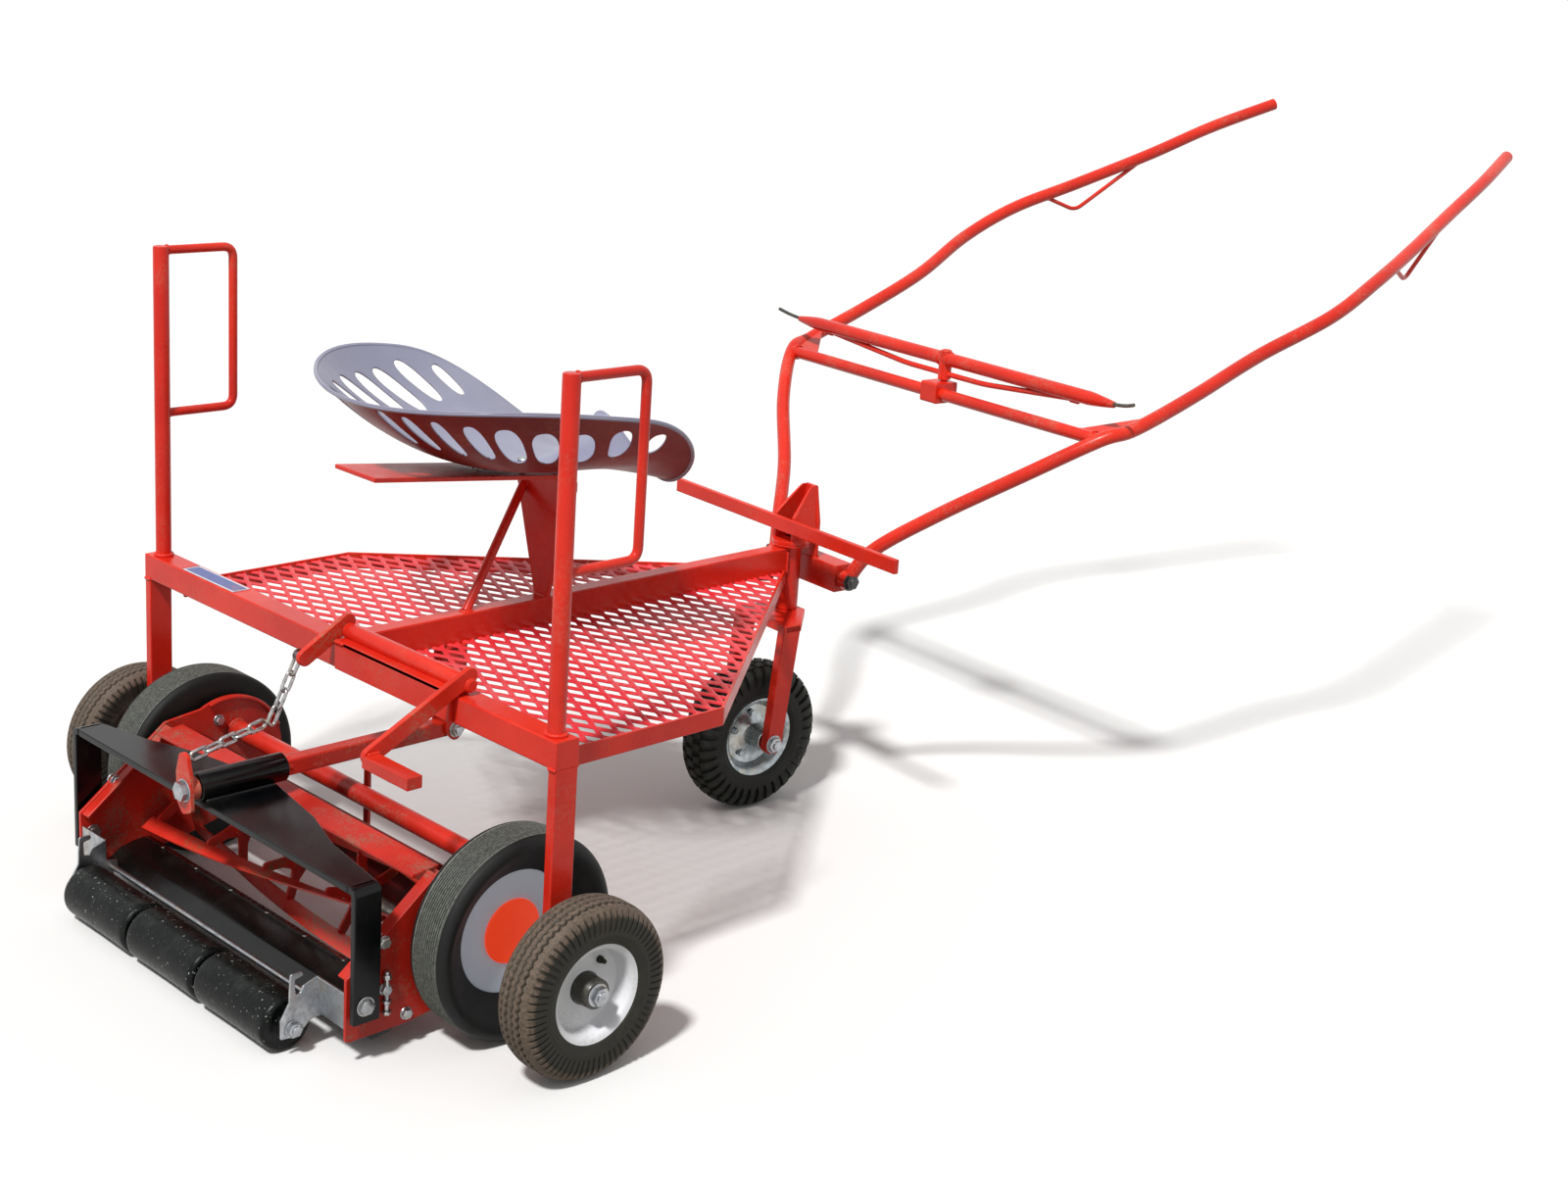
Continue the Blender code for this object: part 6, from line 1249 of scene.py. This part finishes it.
drive_rubber = rubber("ribbed_drive_rubber", colour="#0B0C0D", dust_colour="#2E2E29", dust=0.25,
                      coarse=0.05, crest_colour="#8D9088")
disc_grey = enamel("grey_disc_enamel_painted_glow", "#D2DCE6", "#C6D0DA", rough=(0.34, 0.5), dust=0.02,
                   dust_colour="#8B857C")
centre_red = enamel("orange_red_enamel_painted_glow", "#FF5530", "#FA4A28", rough=(0.30, 0.44), dust=0.02)
# The grey and the red both emit light. This is painted light, which makes the discs look sunlit though
# the tyre's recess shades them.
for surface, glow, strength in ((disc_grey, "#8F9BA6", 0.30), (centre_red, "#F0421E", 0.55)):
    fill(surface.node_tree.nodes["Principled BSDF"],
         {"Emission Color": linear(glow), "Emission Strength": strength})
for side, sign in SIDES:
    low, high = box_of(f"{side}_drive_tyre")
    centre = (low + high) / 2
    half = MOWER_TYRE_W / 2
    inset = half - DISC_INSET
    axis = (0, sign, 0)
    band = ribbed_band(half, inset)
    tyre_made = piece(f"{side}_ribbed_tyre", [spun(band, centre, axis, steps=BAND_STEPS)], drive_rubber,
                      f"{side}_drive_wheel", [f"{side}_drive_tyre"], sharp=50)
    on_tread = np.abs(band[:, 1]) < half - 0.010
    height = np.where(on_tread & (band[:, 0] > DISC_R + 0.03), band[:, 0] - MOWER_TYRE_R, -1.0)
    mark_crests(tyre_made, np.repeat(height, BAND_STEPS), RIB_DEEP)
    face = [(0.0, inset - 0.0050), (RED_CENTRE_R + 0.0006, inset - 0.0050),
            (RED_CENTRE_R + 0.0012, inset - 0.0046), (DISC_R - 0.0060, inset - 0.0046),
            (DISC_R - 0.0030, inset - 0.0040), (DISC_R - 0.0004, inset - 0.0044),
            (DISC_R - 0.0004, inset - 0.0138), (0.020, inset - 0.014), (0.020, -half + 0.0046),
            (0.0186, -half + 0.0040), (0.0106, -half + 0.0040), (0.0106, inset - 0.0092),
            (0.0, inset - 0.0092)]
    piece(f"{side}_disc_pressing", [spun(face, centre, axis, steps=120)], disc_grey,
          f"{side}_drive_wheel", [f"{side}_drive_disc"])
    cap = [(0, inset - 0.0054), (RED_CENTRE_R, inset - 0.0054), (RED_CENTRE_R, inset - 0.0030),
           (RED_CENTRE_R - 0.0010, inset - 0.0021), (0.012, inset - 0.0021), (0, inset - 0.0021)]
    piece(f"{side}_disc_centre", [spun(cap, centre, axis, steps=96)], centre_red, f"{side}_drive_wheel")


# Roller: three hard black plastic segments on a plain shaft, held behind the side plates by zinc
# plated brackets. The shoulders are polished, and the drums are scuffed and dusty.
def roller_plastic(name):
    """Black moulded plastic: satin, with pale scuffs run round the drum, clods of dust of some
    45 mm and pale chips of some 4 mm."""
    made, tree, shader, where = new_surface(name)
    stretched = add(tree, "ShaderNodeMapping", {"Vector": where, "Scale": (1.0, 5.0, 1.0)})
    scuff = add(tree, "ShaderNodeTexNoise", {"Vector": stretched.outputs[0], "Scale": 1 / 0.012,
                                             "Detail": 8.0, "Roughness": 0.75})
    clods = add(tree, "ShaderNodeTexNoise", {"Vector": where, "Scale": 1 / 0.045, "Detail": 6.0,
                                             "Roughness": 0.7})
    amount = add(tree, "ShaderNodeMath", {0: scuff.outputs[0], 1: clods.outputs[0]},
                 operation="MULTIPLY")
    share = add(tree, "ShaderNodeMapRange", {"Value": amount.outputs[0], "From Min": 0.24,
                                             "From Max": 0.42, "To Max": 0.50})
    tone = add(tree, "ShaderNodeMix", {0: share.outputs[0], 6: linear("#0A0D0C"), 7: linear("#3E423E")},
               data_type="RGBA")
    chips = add(tree, "ShaderNodeTexNoise", {"Vector": where, "Scale": 1 / 0.0040, "Detail": 2.0})
    specks = add(tree, "ShaderNodeMapRange",
                 {"Value": chips.outputs[0], "From Min": 0.69, "From Max": 0.73})
    flecked = add(tree, "ShaderNodeMix", {0: specks.outputs[0], 6: tone.outputs[2],
                                          7: linear("#A9ADA6")}, data_type="RGBA")
    gloss = add(tree, "ShaderNodeMapRange", {"Value": scuff.outputs[0], "From Min": 0.35,
                                             "From Max": 0.65, "To Min": 0.20, "To Max": 0.48})
    bump = add(tree, "ShaderNodeBump", {"Height": scuff.outputs[0], "Strength": 0.25,
                                        "Distance": 0.0004})
    fill(shader, {"Base Color": flecked.outputs[2], "Roughness": gloss.outputs[0],
                  "Normal": bump.outputs[0], "Specular IOR Level": 0.16})
    return made


drum_plastic = roller_plastic("scuffed_black_plastic")
for name in ("left", "middle", "right"):
    low, high = box_of(f"{name}_roller")
    centre, half = (low + high) / 2, (high[1] - low[1]) / 2
    drum_r = (high[2] - low[2]) / 2
    turn = np.linspace(np.pi / 2, 0, 8)
    shoulder = [(drum_r - 0.006 + 0.006 * np.cos(a), half - 0.008 + 0.008 * np.sin(a)) for a in turn]
    line = [(0.0066, half - 0.001), (0.012, half - 0.001), (0.014, half), *shoulder,
            (drum_r, half - 0.014), (drum_r - 0.0005, 0)]
    line = np.array(line)
    line = np.vstack((line, line[:-1][::-1] * (1, -1)))
    piece(f"{name}_roller_drum", [spun(line, centre, (0, 1, 0), steps=80)], drum_plastic, "roller",
          [f"{name}_roller"])

ROLLER_X, ROLLER_Z, BRACKET_HALF, BRACKET_SHEET = AXLE_X - 0.246, 0.036, 0.250, 0.003
roller_at = (ROLLER_X, MOWER_SHIFT, ROLLER_Z)
reach = BRACKET_HALF + BRACKET_SHEET + 0.0003
shells = [turned(0.006, -reach - 0.0095, reach + 0.0095, roller_at, (0, 1, 0), (0.0006, 0.0007))]
for sign in (1, -1):
    shells += hex_head(np.array(roller_at) + (0, sign * reach, 0), (0, sign, 0), MIDDLE_HEX, 0.0062,
                       washer=0.0012)
piece("roller_shaft_and_nuts", shells, zinc_plate, "mower", ["roller_shaft"])

hook = [(-0.264, 0.026), (-0.240, 0.024), (-0.222, 0.040), (-0.194, 0.044), (-0.194, 0.062),
        (-0.2105, 0.066), (-0.2105, 0.096), (-0.232, 0.088), (-0.236, 0.080), (-0.243, 0.080),
        (-0.244, 0.100), (-0.233, 0.102), (-0.233, 0.108), (-0.250, 0.108), (-0.252, 0.070),
        (-0.264, 0.050)]
hook = np.array(hook) + (AXLE_X, 0)
shells = []
for sign in (1, -1):
    y = MOWER_SHIFT + sign * BRACKET_HALF
    shells.append(slab(rounded(hook, 0.0030), y, y + sign * BRACKET_SHEET, "XZ"))
    web_end = MOWER_SHIFT + sign * (PLATE_Y - PLATE_SHEET - 0.0005)
    shells.append(bar((AXLE_X - 0.2135, y + sign * 0.001, 0.048), (AXLE_X - 0.2098, web_end, 0.0955),
                      "Y", 0.0010))
    shells.append(bar((AXLE_X - 0.2120, web_end - sign * 0.003, 0.046),
                      (AXLE_X - 0.185, web_end, 0.066), "X", 0.0009))
tie_line = np.stack((np.full(40, AXLE_X - 0.202), np.linspace(-0.252, 0.252, 40) + MOWER_SHIFT,
                     np.full(40, 0.053)), -1)
shells.append(tube(tie_line, 0.0045, sides=24))
piece("roller_bracket_sheet", shells, zinc_plate, "mower", ["roller_bracket"])


# Swivel head: a turntable plate, a tower of two cheeks and a front that draws in towards its top,
# and a box across it for the shafts' bolt, with a flat foot bar behind. Red like the frame.
HEAD = np.array((AXLE_X + HEAD_X, 0.0, 0.0))
YAW = np.radians(-5.5)
TOWER_HALF, TOWER_TOP, WALL = 0.024, 0.506, 0.006
TABLE_R, TABLE_THICK = 0.030, 0.006
HINGE, EYE_Y, EYE_HALF = np.array((0.045, 0.0, 0.371)), 0.088, 0.0075
FOOT_BAR_HALF, FOOT_BAR_Z, FOOT_BAR_THICK = 0.265, 0.449, 0.009


def steered(shells):
    """Shells drawn straight ahead of the head axis, turned with the front end and set there."""
    turn = np.array(Matrix.Rotation(YAW, 3, "Z"))
    return [(points @ turn.T + HEAD, faces) for points, faces in shells]


table_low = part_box("head_tube")[1].z + 0.0003
front_x = TABLE_R + 0.002
cheek = [(-0.017, table_low + 0.002), (front_x + WALL, table_low + 0.002), (front_x + WALL, TOWER_TOP),
         (front_x - 0.007, TOWER_TOP), (front_x - 0.012, TOWER_TOP - 0.004),
         (-0.017, FOOT_BAR_Z + 0.013)]


def drawn_in(shell):
    """A shell of the tower, its width halved evenly from above the foot bar up to the top."""
    points, faces = shell
    rise = np.clip((points[:, 2] - FOOT_BAR_Z - 0.013) / (TOWER_TOP - FOOT_BAR_Z - 0.013), 0, 1)
    return points * np.stack((np.ones_like(rise), 1 - 0.5 * rise, np.ones_like(rise)), -1), faces


shells = [turned(TABLE_R, table_low, table_low + TABLE_THICK, (0, 0, 0), (0, 0, 1), 0.0006, steps=64)]
for sign in (1, -1):
    shells.append(drawn_in(slab(rounded(cheek, 0.0022), sign * TOWER_HALF, sign * (TOWER_HALF - WALL),
                                "XZ")))
    shells.append(weld([(x, sign * (TOWER_HALF + 0.0004), table_low + TABLE_THICK)
                        for x in (-0.016, front_x)], 0.0022))
shells.append(bar((front_x, -TOWER_HALF, 0.350), (front_x + WALL, TOWER_HALF, FOOT_BAR_Z), "Z", 0.0014))
shells.append(drawn_in(bar((front_x, -TOWER_HALF, FOOT_BAR_Z), (front_x + WALL, TOWER_HALF, TOWER_TOP),
                           "Z", 0.0014)))
shells.append(bar((front_x - 0.002, -0.075, 0.350), (HINGE[0] + 0.020, 0.075, 0.393), "Y", 0.0020))
shells.append(bar((0, -TOWER_HALF, table_low), (front_x + WALL, TOWER_HALF, table_low + TABLE_THICK),
                  "Y", 0.0012))
shells.append(weld([(front_x + WALL + 0.0006, y, 0.3935) for y in (-TOWER_HALF, TOWER_HALF)], 0.0026))
piece("swivel_tower", steered(shells), red_frame, "swivel", ["swivel_head"])
bar_x = -0.0173
shells = [bar((bar_x - FOOT_BAR_THICK, -FOOT_BAR_HALF, FOOT_BAR_Z - 0.011),
              (bar_x, FOOT_BAR_HALF, FOOT_BAR_Z + 0.011), "Y", 0.0016)]
for sign in (1, -1):
    shells.append(weld([(bar_x, sign * (TOWER_HALF + 0.0004), FOOT_BAR_Z + z)
                        for z in (-0.009, 0.009)], 0.0024))
piece("foot_bar_flat", steered(shells), red_frame, "swivel", ["foot_bar"])
outer = EYE_Y + EYE_HALF + 0.0006
shells = [turned(0.008, -outer - 0.0096, outer + 0.0096, HINGE, (0, 1, 0), (0.0006, 0.0008), steps=36)]
for sign in (1, -1):
    shells += hex_head(HINGE + (0, sign * outer, 0), (0, sign, 0), LARGE_HEX, 0.0062, washer=0.0016)
piece("shaft_bolt_and_nuts", steered(shells), greasy_steel, "swivel", ["shaft_bolt"])


# Fork and front wheel: a plate crown with two flat legs trailing back to the axle, and a knobby
# pneumatic tyre on a zinc plated rim. The right leg stands further out than the left.
LEG_Y = {"left": 0.035, "right": 0.072}
LEG_THICK, LEG_WIDE, TRAIL, FORK_TOP_X = 0.016, 0.033, 0.075, -0.052
FRONT_TYRE_R, FRONT_TYRE_W = 0.1188, 0.0605
crown_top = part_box("head_tube")[0].z - 0.0006
crown_low = crown_top - 0.0118
left, right = LEG_Y["left"] + LEG_THICK / 2, -LEG_Y["right"] - LEG_THICK / 2
rear_x, front_x, nose_x = FORK_TOP_X - LEG_WIDE / 2, FORK_TOP_X + LEG_WIDE / 2, 0.0212
outline = [(rear_x, right), (front_x, right), (nose_x, -nose_x), (nose_x, nose_x), (front_x, left),
           (rear_x, left)]
shells = [slab(rounded(outline, 0.004), crown_low, crown_top, "XY", 0.0012),
          turned(0.0099, crown_low + 0.004, table_low - 0.0004, (0, 0, 0), (0, 0, 1), steps=40)]
foot_z = FRONT_TYRE_R - 0.016
leg = [(rear_x, crown_top - 0.001), (front_x, crown_top - 0.001),
       (-TRAIL + LEG_WIDE / 2, foot_z + 0.006), (-TRAIL + LEG_WIDE / 2 - 0.006, foot_z),
       (-TRAIL - LEG_WIDE * 0.4 + 0.006, foot_z), (-TRAIL - LEG_WIDE * 0.4, foot_z + 0.006)]
for side, sign in SIDES:
    middle = sign * LEG_Y[side]
    shells.append(slab(rounded(leg, 0.003), middle - LEG_THICK / 2, middle + LEG_THICK / 2, "XZ",
                       0.0012))
    face = middle - sign * LEG_THICK / 2
    shells.append(weld([(x, face, crown_low - 0.0006) for x in (rear_x + 0.003, front_x - 0.003)],
                       0.0028))
piece("front_fork_weldment", steered(shells), red_frame, "swivel", ["front_fork"])
axle_at = np.array((-TRAIL, 0, FRONT_TYRE_R))
shells = [turned(0.0078, right - 0.0128, left + 0.0098, axle_at, (0, 1, 0), 0.0008, steps=36)]
for face, sign in ((left, 1), (right, -1)):
    shells += hex_head(axle_at + (0, face + sign * 0.0004, 0), (0, sign, 0), LARGE_HEX, 0.0064,
                       washer=0.0015)
piece("front_axle_and_nuts", steered(shells), zinc_plate, "swivel", ["front_axle"])

KNOB_COUNT, KNOB_DEEP = 36, 0.0044


def knobby_tread(share, along, turn):
    """Relief of the front tyre: blocks in three staggered bands across the tread, cleats over
    the shoulders, and a ring near the rim."""
    wave = turn * KNOB_COUNT / (2 * np.pi)
    half = FRONT_TYRE_W / 2
    edge = np.abs(along) / half
    lift = np.zeros(np.broadcast(along, turn).shape)
    tread = np.abs(share) < 0.60
    centre_band = (edge < 0.24) & (np.abs((wave % 1) - 0.5) < 0.30)
    middle_band = (edge > 0.30) & (edge < 0.64) & (np.abs(((wave + 0.5) % 1) - 0.5) < 0.29)
    shoulder = (edge > 0.70) & (np.abs(((wave + 0.02) % 1) - 0.5) < 0.30) & (np.abs(share) < 0.60)
    lift -= KNOB_DEEP * tread * ~(centre_band | middle_band | shoulder)
    lift -= 0.0010 * (np.abs(share) > 0.60) * (np.abs(share) < 0.9)
    return lift + 0.0008 * np.exp(-((np.abs(share) - 0.74) / 0.012) ** 2)


front_rubber = rubber("black_front_tyre_rubber", colour="#121312", dust_colour="#3A3830", dust=0.35,
                      crest_colour="#3E423B")
front_zinc = zinc("front_rim_zinc", colour="#B4BBBE", dull="#858D90", rough=(0.20, 0.38))
middle_y = (LEG_Y["left"] - LEG_Y["right"]) / 2
wheel_at = np.array((-TRAIL, middle_y, FRONT_TYRE_R))
shell, height = tyre(wheel_at, (0, 1, 0), FRONT_TYRE_R, FRONT_TYRE_W / 2, 0.0605, knobby_tread,
                     rows=128)
tyre_made = piece("front_tyre_rubber", steered([shell]), front_rubber, "front_wheel",
                  ["front_tyre"], sharp=40)
mark_crests(tyre_made, height, KNOB_DEEP)
hub = sum(LEG_Y.values()) / 2 - LEG_THICK / 2 - 0.0012
outer_face = [(0.0085, hub), (0.0155, hub), (0.0165, hub - 0.001), (0.0165, 0.012), (0.0195, 0.0085),
              (0.030, 0.0070), (0.040, 0.0035), (0.0480, 0.0060), (0.0530, 0.0150), (0.0560, 0.0215),
              (0.0600, 0.0240), (0.0632, 0.0252), (0.0640, 0.0240), (0.0606, 0.0226)]
inner_face = [(r, -h) for r, h in outer_face[::-1][:6]] + [(0.0470, -0.0040), (0.0400, 0.0008),
                                                           (0.030, 0.0040), (0.0195, 0.0055),
                                                           (0.0165, 0.0040), (0.0165, -hub + 0.001),
                                                           (0.0155, -hub), (0.0085, -hub)]
shells = [spun(outer_face + inner_face, wheel_at, (0, -1, 0), steps=96)]
for turn in np.radians(np.arange(5) * 72 + 20):
    spot = wheel_at + (0.0345 * np.cos(turn), 0, 0.0345 * np.sin(turn))
    shells += hex_head(spot + (0, -0.0058, 0), (0, -1, 0), 0.0088, 0.0034, washer=0.0009)
piece("front_rim_pressing", steered(shells), front_zinc, "front_wheel", ["front_rim"],
      sharp=42)


# Shafts: two bent tubes that carry the pony's harness. Each has an eye on the hinge bolt, a gusset
# at the crossbar and a rod loop for the breeching strap. Red enamel, dull where straps rub.
SHAFT_R, SHAFT_TWIST = 0.011, 0.019
EYE_STEPS = 2               # the first points of the shaft's line lie inside the eye
CROSSBAR_X, CROSSBAR_Z, CROSSBAR_HALF, CROSSBAR_R = 0.284, 0.633, 0.361, 0.010
SHAFT_LINE = np.array((
    (0.045, 0.088, 0.371), (0.070, 0.115, 0.424), (0.132, 0.183, 0.489), (0.208, 0.286, 0.570),
    (0.284, 0.361, 0.633), (0.340, 0.379, 0.649), (0.460, 0.385, 0.691), (0.600, 0.391, 0.747),
    (0.735, 0.418, 0.806), (0.850, 0.411, 0.856), (0.980, 0.381, 0.900), (1.135, 0.341, 0.955),
    (1.271, 0.308, 1.006), (1.399, 0.265, 1.049)))


def smooth_line(points, steps):
    """A Catmull-Rom curve through the points."""
    knots = np.vstack((points[:1], points, points[-1:]))
    share = np.linspace(0, 1, steps, endpoint=False)[:, None]
    line = []
    for a, b, c, d in zip(knots, knots[1:], knots[2:], knots[3:]):
        line.append(0.5 * (2 * b + (c - a) * share + (2 * a - 5 * b + 4 * c - d) * share ** 2
                           + (3 * b - a - 3 * c + d) * share ** 3))
    return np.vstack((*line, knots[-1:]))


shaft_red = enamel("shaft_enamel", "#E4301C", "#D02615", rough=(0.20, 0.38), dust=0.12)
for side, sign in SIDES:
    def raised(line):
        """The line on this side, with the frame's slight twist towards the tips."""
        share = np.maximum(0.0, line[:, 0] - CROSSBAR_X) / (SHAFT_LINE[-1, 0] - CROSSBAR_X)
        return np.stack((line[:, 0], sign * line[:, 1], line[:, 2] + sign * SHAFT_TWIST * share ** 3),
                        -1)
    line = raised(smooth_line(SHAFT_LINE, 12))
    coarse = raised(smooth_line(SHAFT_LINE, 2))
    thick = np.full(len(line), SHAFT_R)
    thick[-1] = SHAFT_R - 0.0010
    end = line[-1] - unit(line[-1] - line[-2]) * 0.0006
    line = np.vstack((line[:-1], end, line[-1:]))
    thick = np.concatenate((thick[:-1], [SHAFT_R], thick[-1:]))
    shells = [tube(line[EYE_STEPS:], thick[EYE_STEPS:], sides=32),
              turned(0.0150, -EYE_HALF, EYE_HALF, (HINGE[0], sign * EYE_Y, HINGE[2]), (0, 1, 0),
                     0.0007, 0.0088, 56)]
    near, far = coarse[19], coarse[22]
    apex = near + (far - near) * 0.3 - np.array((0, sign * 0.006, 0.050))
    loop = bent_line([near, apex, far], (0.016,), steps=12)
    shells.append(tube(loop, 0.0038, sides=18))
    for at, toward in ((near, apex), (far, apex)):
        way = unit(toward - at)
        shells.append(ring_weld(at + way * (SHAFT_R + 0.0006), way, 0.0038, 0.0016))
    base = CROSSBAR_X + CROSSBAR_R + 0.0015
    flat = [(base, sign * (CROSSBAR_HALF - 0.055)), (base, sign * CROSSBAR_HALF),
            (base + 0.078, sign * (CROSSBAR_HALF + 0.019))]
    points, faces = slab(rounded(flat, 0.002), -0.002, 0.002, "XY")
    lean = np.array(Matrix.Rotation(-np.radians(20), 3, "Y"))
    pivot = np.array((CROSSBAR_X, 0, CROSSBAR_Z))
    shells.append(((points - (CROSSBAR_X, 0, 0)) @ lean.T + pivot, faces))
    shells.append(weld([(base - 0.0006, sign * (CROSSBAR_HALF - inset), CROSSBAR_Z + 0.0055)
                        for inset in (0.053, 0.012)], 0.0024))
    shells.append(ring_weld((CROSSBAR_X + 0.002, sign * (CROSSBAR_HALF - 0.0145), CROSSBAR_Z),
                            (0, 1, 0), CROSSBAR_R + 0.0008, 0.0022))
    piece(f"{side}_shaft_tube", steered(shells), shaft_red, "shaft_frame",
          [f"{side}_shaft"])

reach = CROSSBAR_HALF - 0.002
cross = np.stack((np.full(24, CROSSBAR_X), np.linspace(-reach, reach, 24), np.full(24, CROSSBAR_Z)), -1)
piece("shaft_crossbar_tube", steered([tube(cross, CROSSBAR_R, sides=32)]), shaft_red, "shaft_frame",
      ["shaft_crossbar"])
TREE_X, TREE_Z, TREE_HALF, TREE_R = 0.302, 0.687, 0.366, 0.011
block = slab(rounded([(CROSSBAR_X - 0.016, CROSSBAR_Z - 0.015), (TREE_X + 0.014, CROSSBAR_Z - 0.015),
                      (TREE_X + 0.014, CROSSBAR_Z + 0.018), (CROSSBAR_X - 0.016, CROSSBAR_Z + 0.018)],
                     0.004), -0.018, 0.018, "XZ", 0.0012)
pin = spun([(0, CROSSBAR_Z + 0.010), (0.0058, CROSSBAR_Z + 0.010), (0.0058, TREE_Z + 0.0119),
            (0.0086, TREE_Z + 0.0119), (0.0092, TREE_Z + 0.0126), (0.0080, TREE_Z + 0.0144),
            (0.0050, TREE_Z + 0.0154), (0, TREE_Z + 0.0157)], (TREE_X, 0, 0), (0, 0, 1), steps=36)
piece("singletree_clamp", steered([block, pin]), shaft_red, "shaft_frame",
      ["singletree_pin"])


# Singletree: a tube with drawn-out ends that swings on the pin over the crossbar. A bent truss rod
# stiffens it below, and a short hook of oily rod at each end takes the trace.
share = np.linspace(0, 1, 14)
end_r = TREE_R + (0.0048 - TREE_R) * share ** 1.3
end_y = TREE_HALF - 0.052 + 0.052 * share
line_y = np.concatenate((-end_y[::-1], end_y))
radii = np.concatenate((end_r[::-1], end_r))
line = np.stack((np.full(len(line_y), TREE_X), line_y, np.full(len(line_y), TREE_Z)), -1)
shells = [tube(line, radii, sides=32)]
dip = TREE_Z - 0.024
truss = bent_line([(TREE_X, -0.300, TREE_Z - 0.006), (TREE_X, -0.090, dip), (TREE_X, 0.090, dip),
                   (TREE_X, 0.300, TREE_Z - 0.006)], (0.02, 0.02), steps=8)
shells.append(tube(truss, 0.0045, sides=20))
shells.append(spun([(0.0066, -0.033), (0.0101, -0.033), (0.0107, -0.0324), (0.0107, 0.0108),
                    (0.0102, 0.0114), (0.0066, 0.0114)], (TREE_X, 0, TREE_Z), (0, 0, 1), steps=48))
for sign in (1, -1):
    shells.append(weld([(TREE_X, sign * y, TREE_Z - 0.0112) for y in (0.296, 0.276)], 0.0030))
    shells.append(ring_weld((TREE_X, sign * 0.0107, TREE_Z), (0, 1, 0), TREE_R, 0.0016))
piece("singletree_tube", steered(shells), shaft_red, "tree", ["singletree"])
hooks = []
for sign in (1, -1):
    line = smooth_line(np.array([(TREE_X, sign * (TREE_HALF - 0.005), TREE_Z),
                                 (TREE_X - 0.004, sign * (TREE_HALF + 0.024), TREE_Z + 0.004),
                                 (TREE_X - 0.010, sign * (TREE_HALF + 0.046), TREE_Z + 0.010)]), 8)
    hooks.append(tube(line, 0.0029, sides=16))
piece("trace_hooks", steered(hooks), greasy_steel, "tree")


# Plate on the crossbeam: a thin blank plate of blue lacquered sheet with a white border, riveted
# on top of the beam left of its middle. It carries no words.
PLATE_FROM, PLATE_TO = 0.235, 0.365


def bordered(name, inner, border, low, high, margin):
    """A lacquered sheet whose border colour shows within a margin of the given plan edges."""
    made = enamel(name, inner, inner, rough=(0.25, 0.35), dust=0.12)
    tree = made.node_tree
    shader = tree.nodes["Principled BSDF"]
    field = shader.inputs["Base Color"].links[0].from_socket
    where = add(tree, "ShaderNodeTexCoord").outputs["Object"]
    parts = add(tree, "ShaderNodeSeparateXYZ", {"Vector": where})
    nearest = []
    for number in (0, 1):
        middle, half = (low[number] + high[number]) / 2, (high[number] - low[number]) / 2
        off = add(tree, "ShaderNodeMath", {0: parts.outputs[number], 1: middle}, operation="SUBTRACT")
        off = add(tree, "ShaderNodeMath", {0: off.outputs[0]}, operation="ABSOLUTE")
        nearest.append(add(tree, "ShaderNodeMath", {0: off.outputs[0], 1: half - margin},
                           operation="GREATER_THAN"))
    edge = add(tree, "ShaderNodeMath", {0: nearest[0].outputs[0], 1: nearest[1].outputs[0]},
               operation="MAXIMUM")
    both = add(tree, "ShaderNodeMix", {0: edge.outputs[0], 6: field, 7: linear(border)},
               data_type="RGBA")
    fill(shader, {"Base Color": both.outputs[2]})
    return made


plate_low = np.array((beam_low[0] + 0.0030, PLATE_FROM, beam_high[2] - 0.0001))
plate_high = np.array((beam_high[0] - 0.0040, PLATE_TO, beam_high[2] + 0.0006))
blue = bordered("blue_lacquered_sheet", "#4A5C9E", "#E4E4EA", plate_low, plate_high, 0.0028)
piece("blank_plate", [bar(plate_low, plate_high, "Y", 0.0002)], blue, "cart")
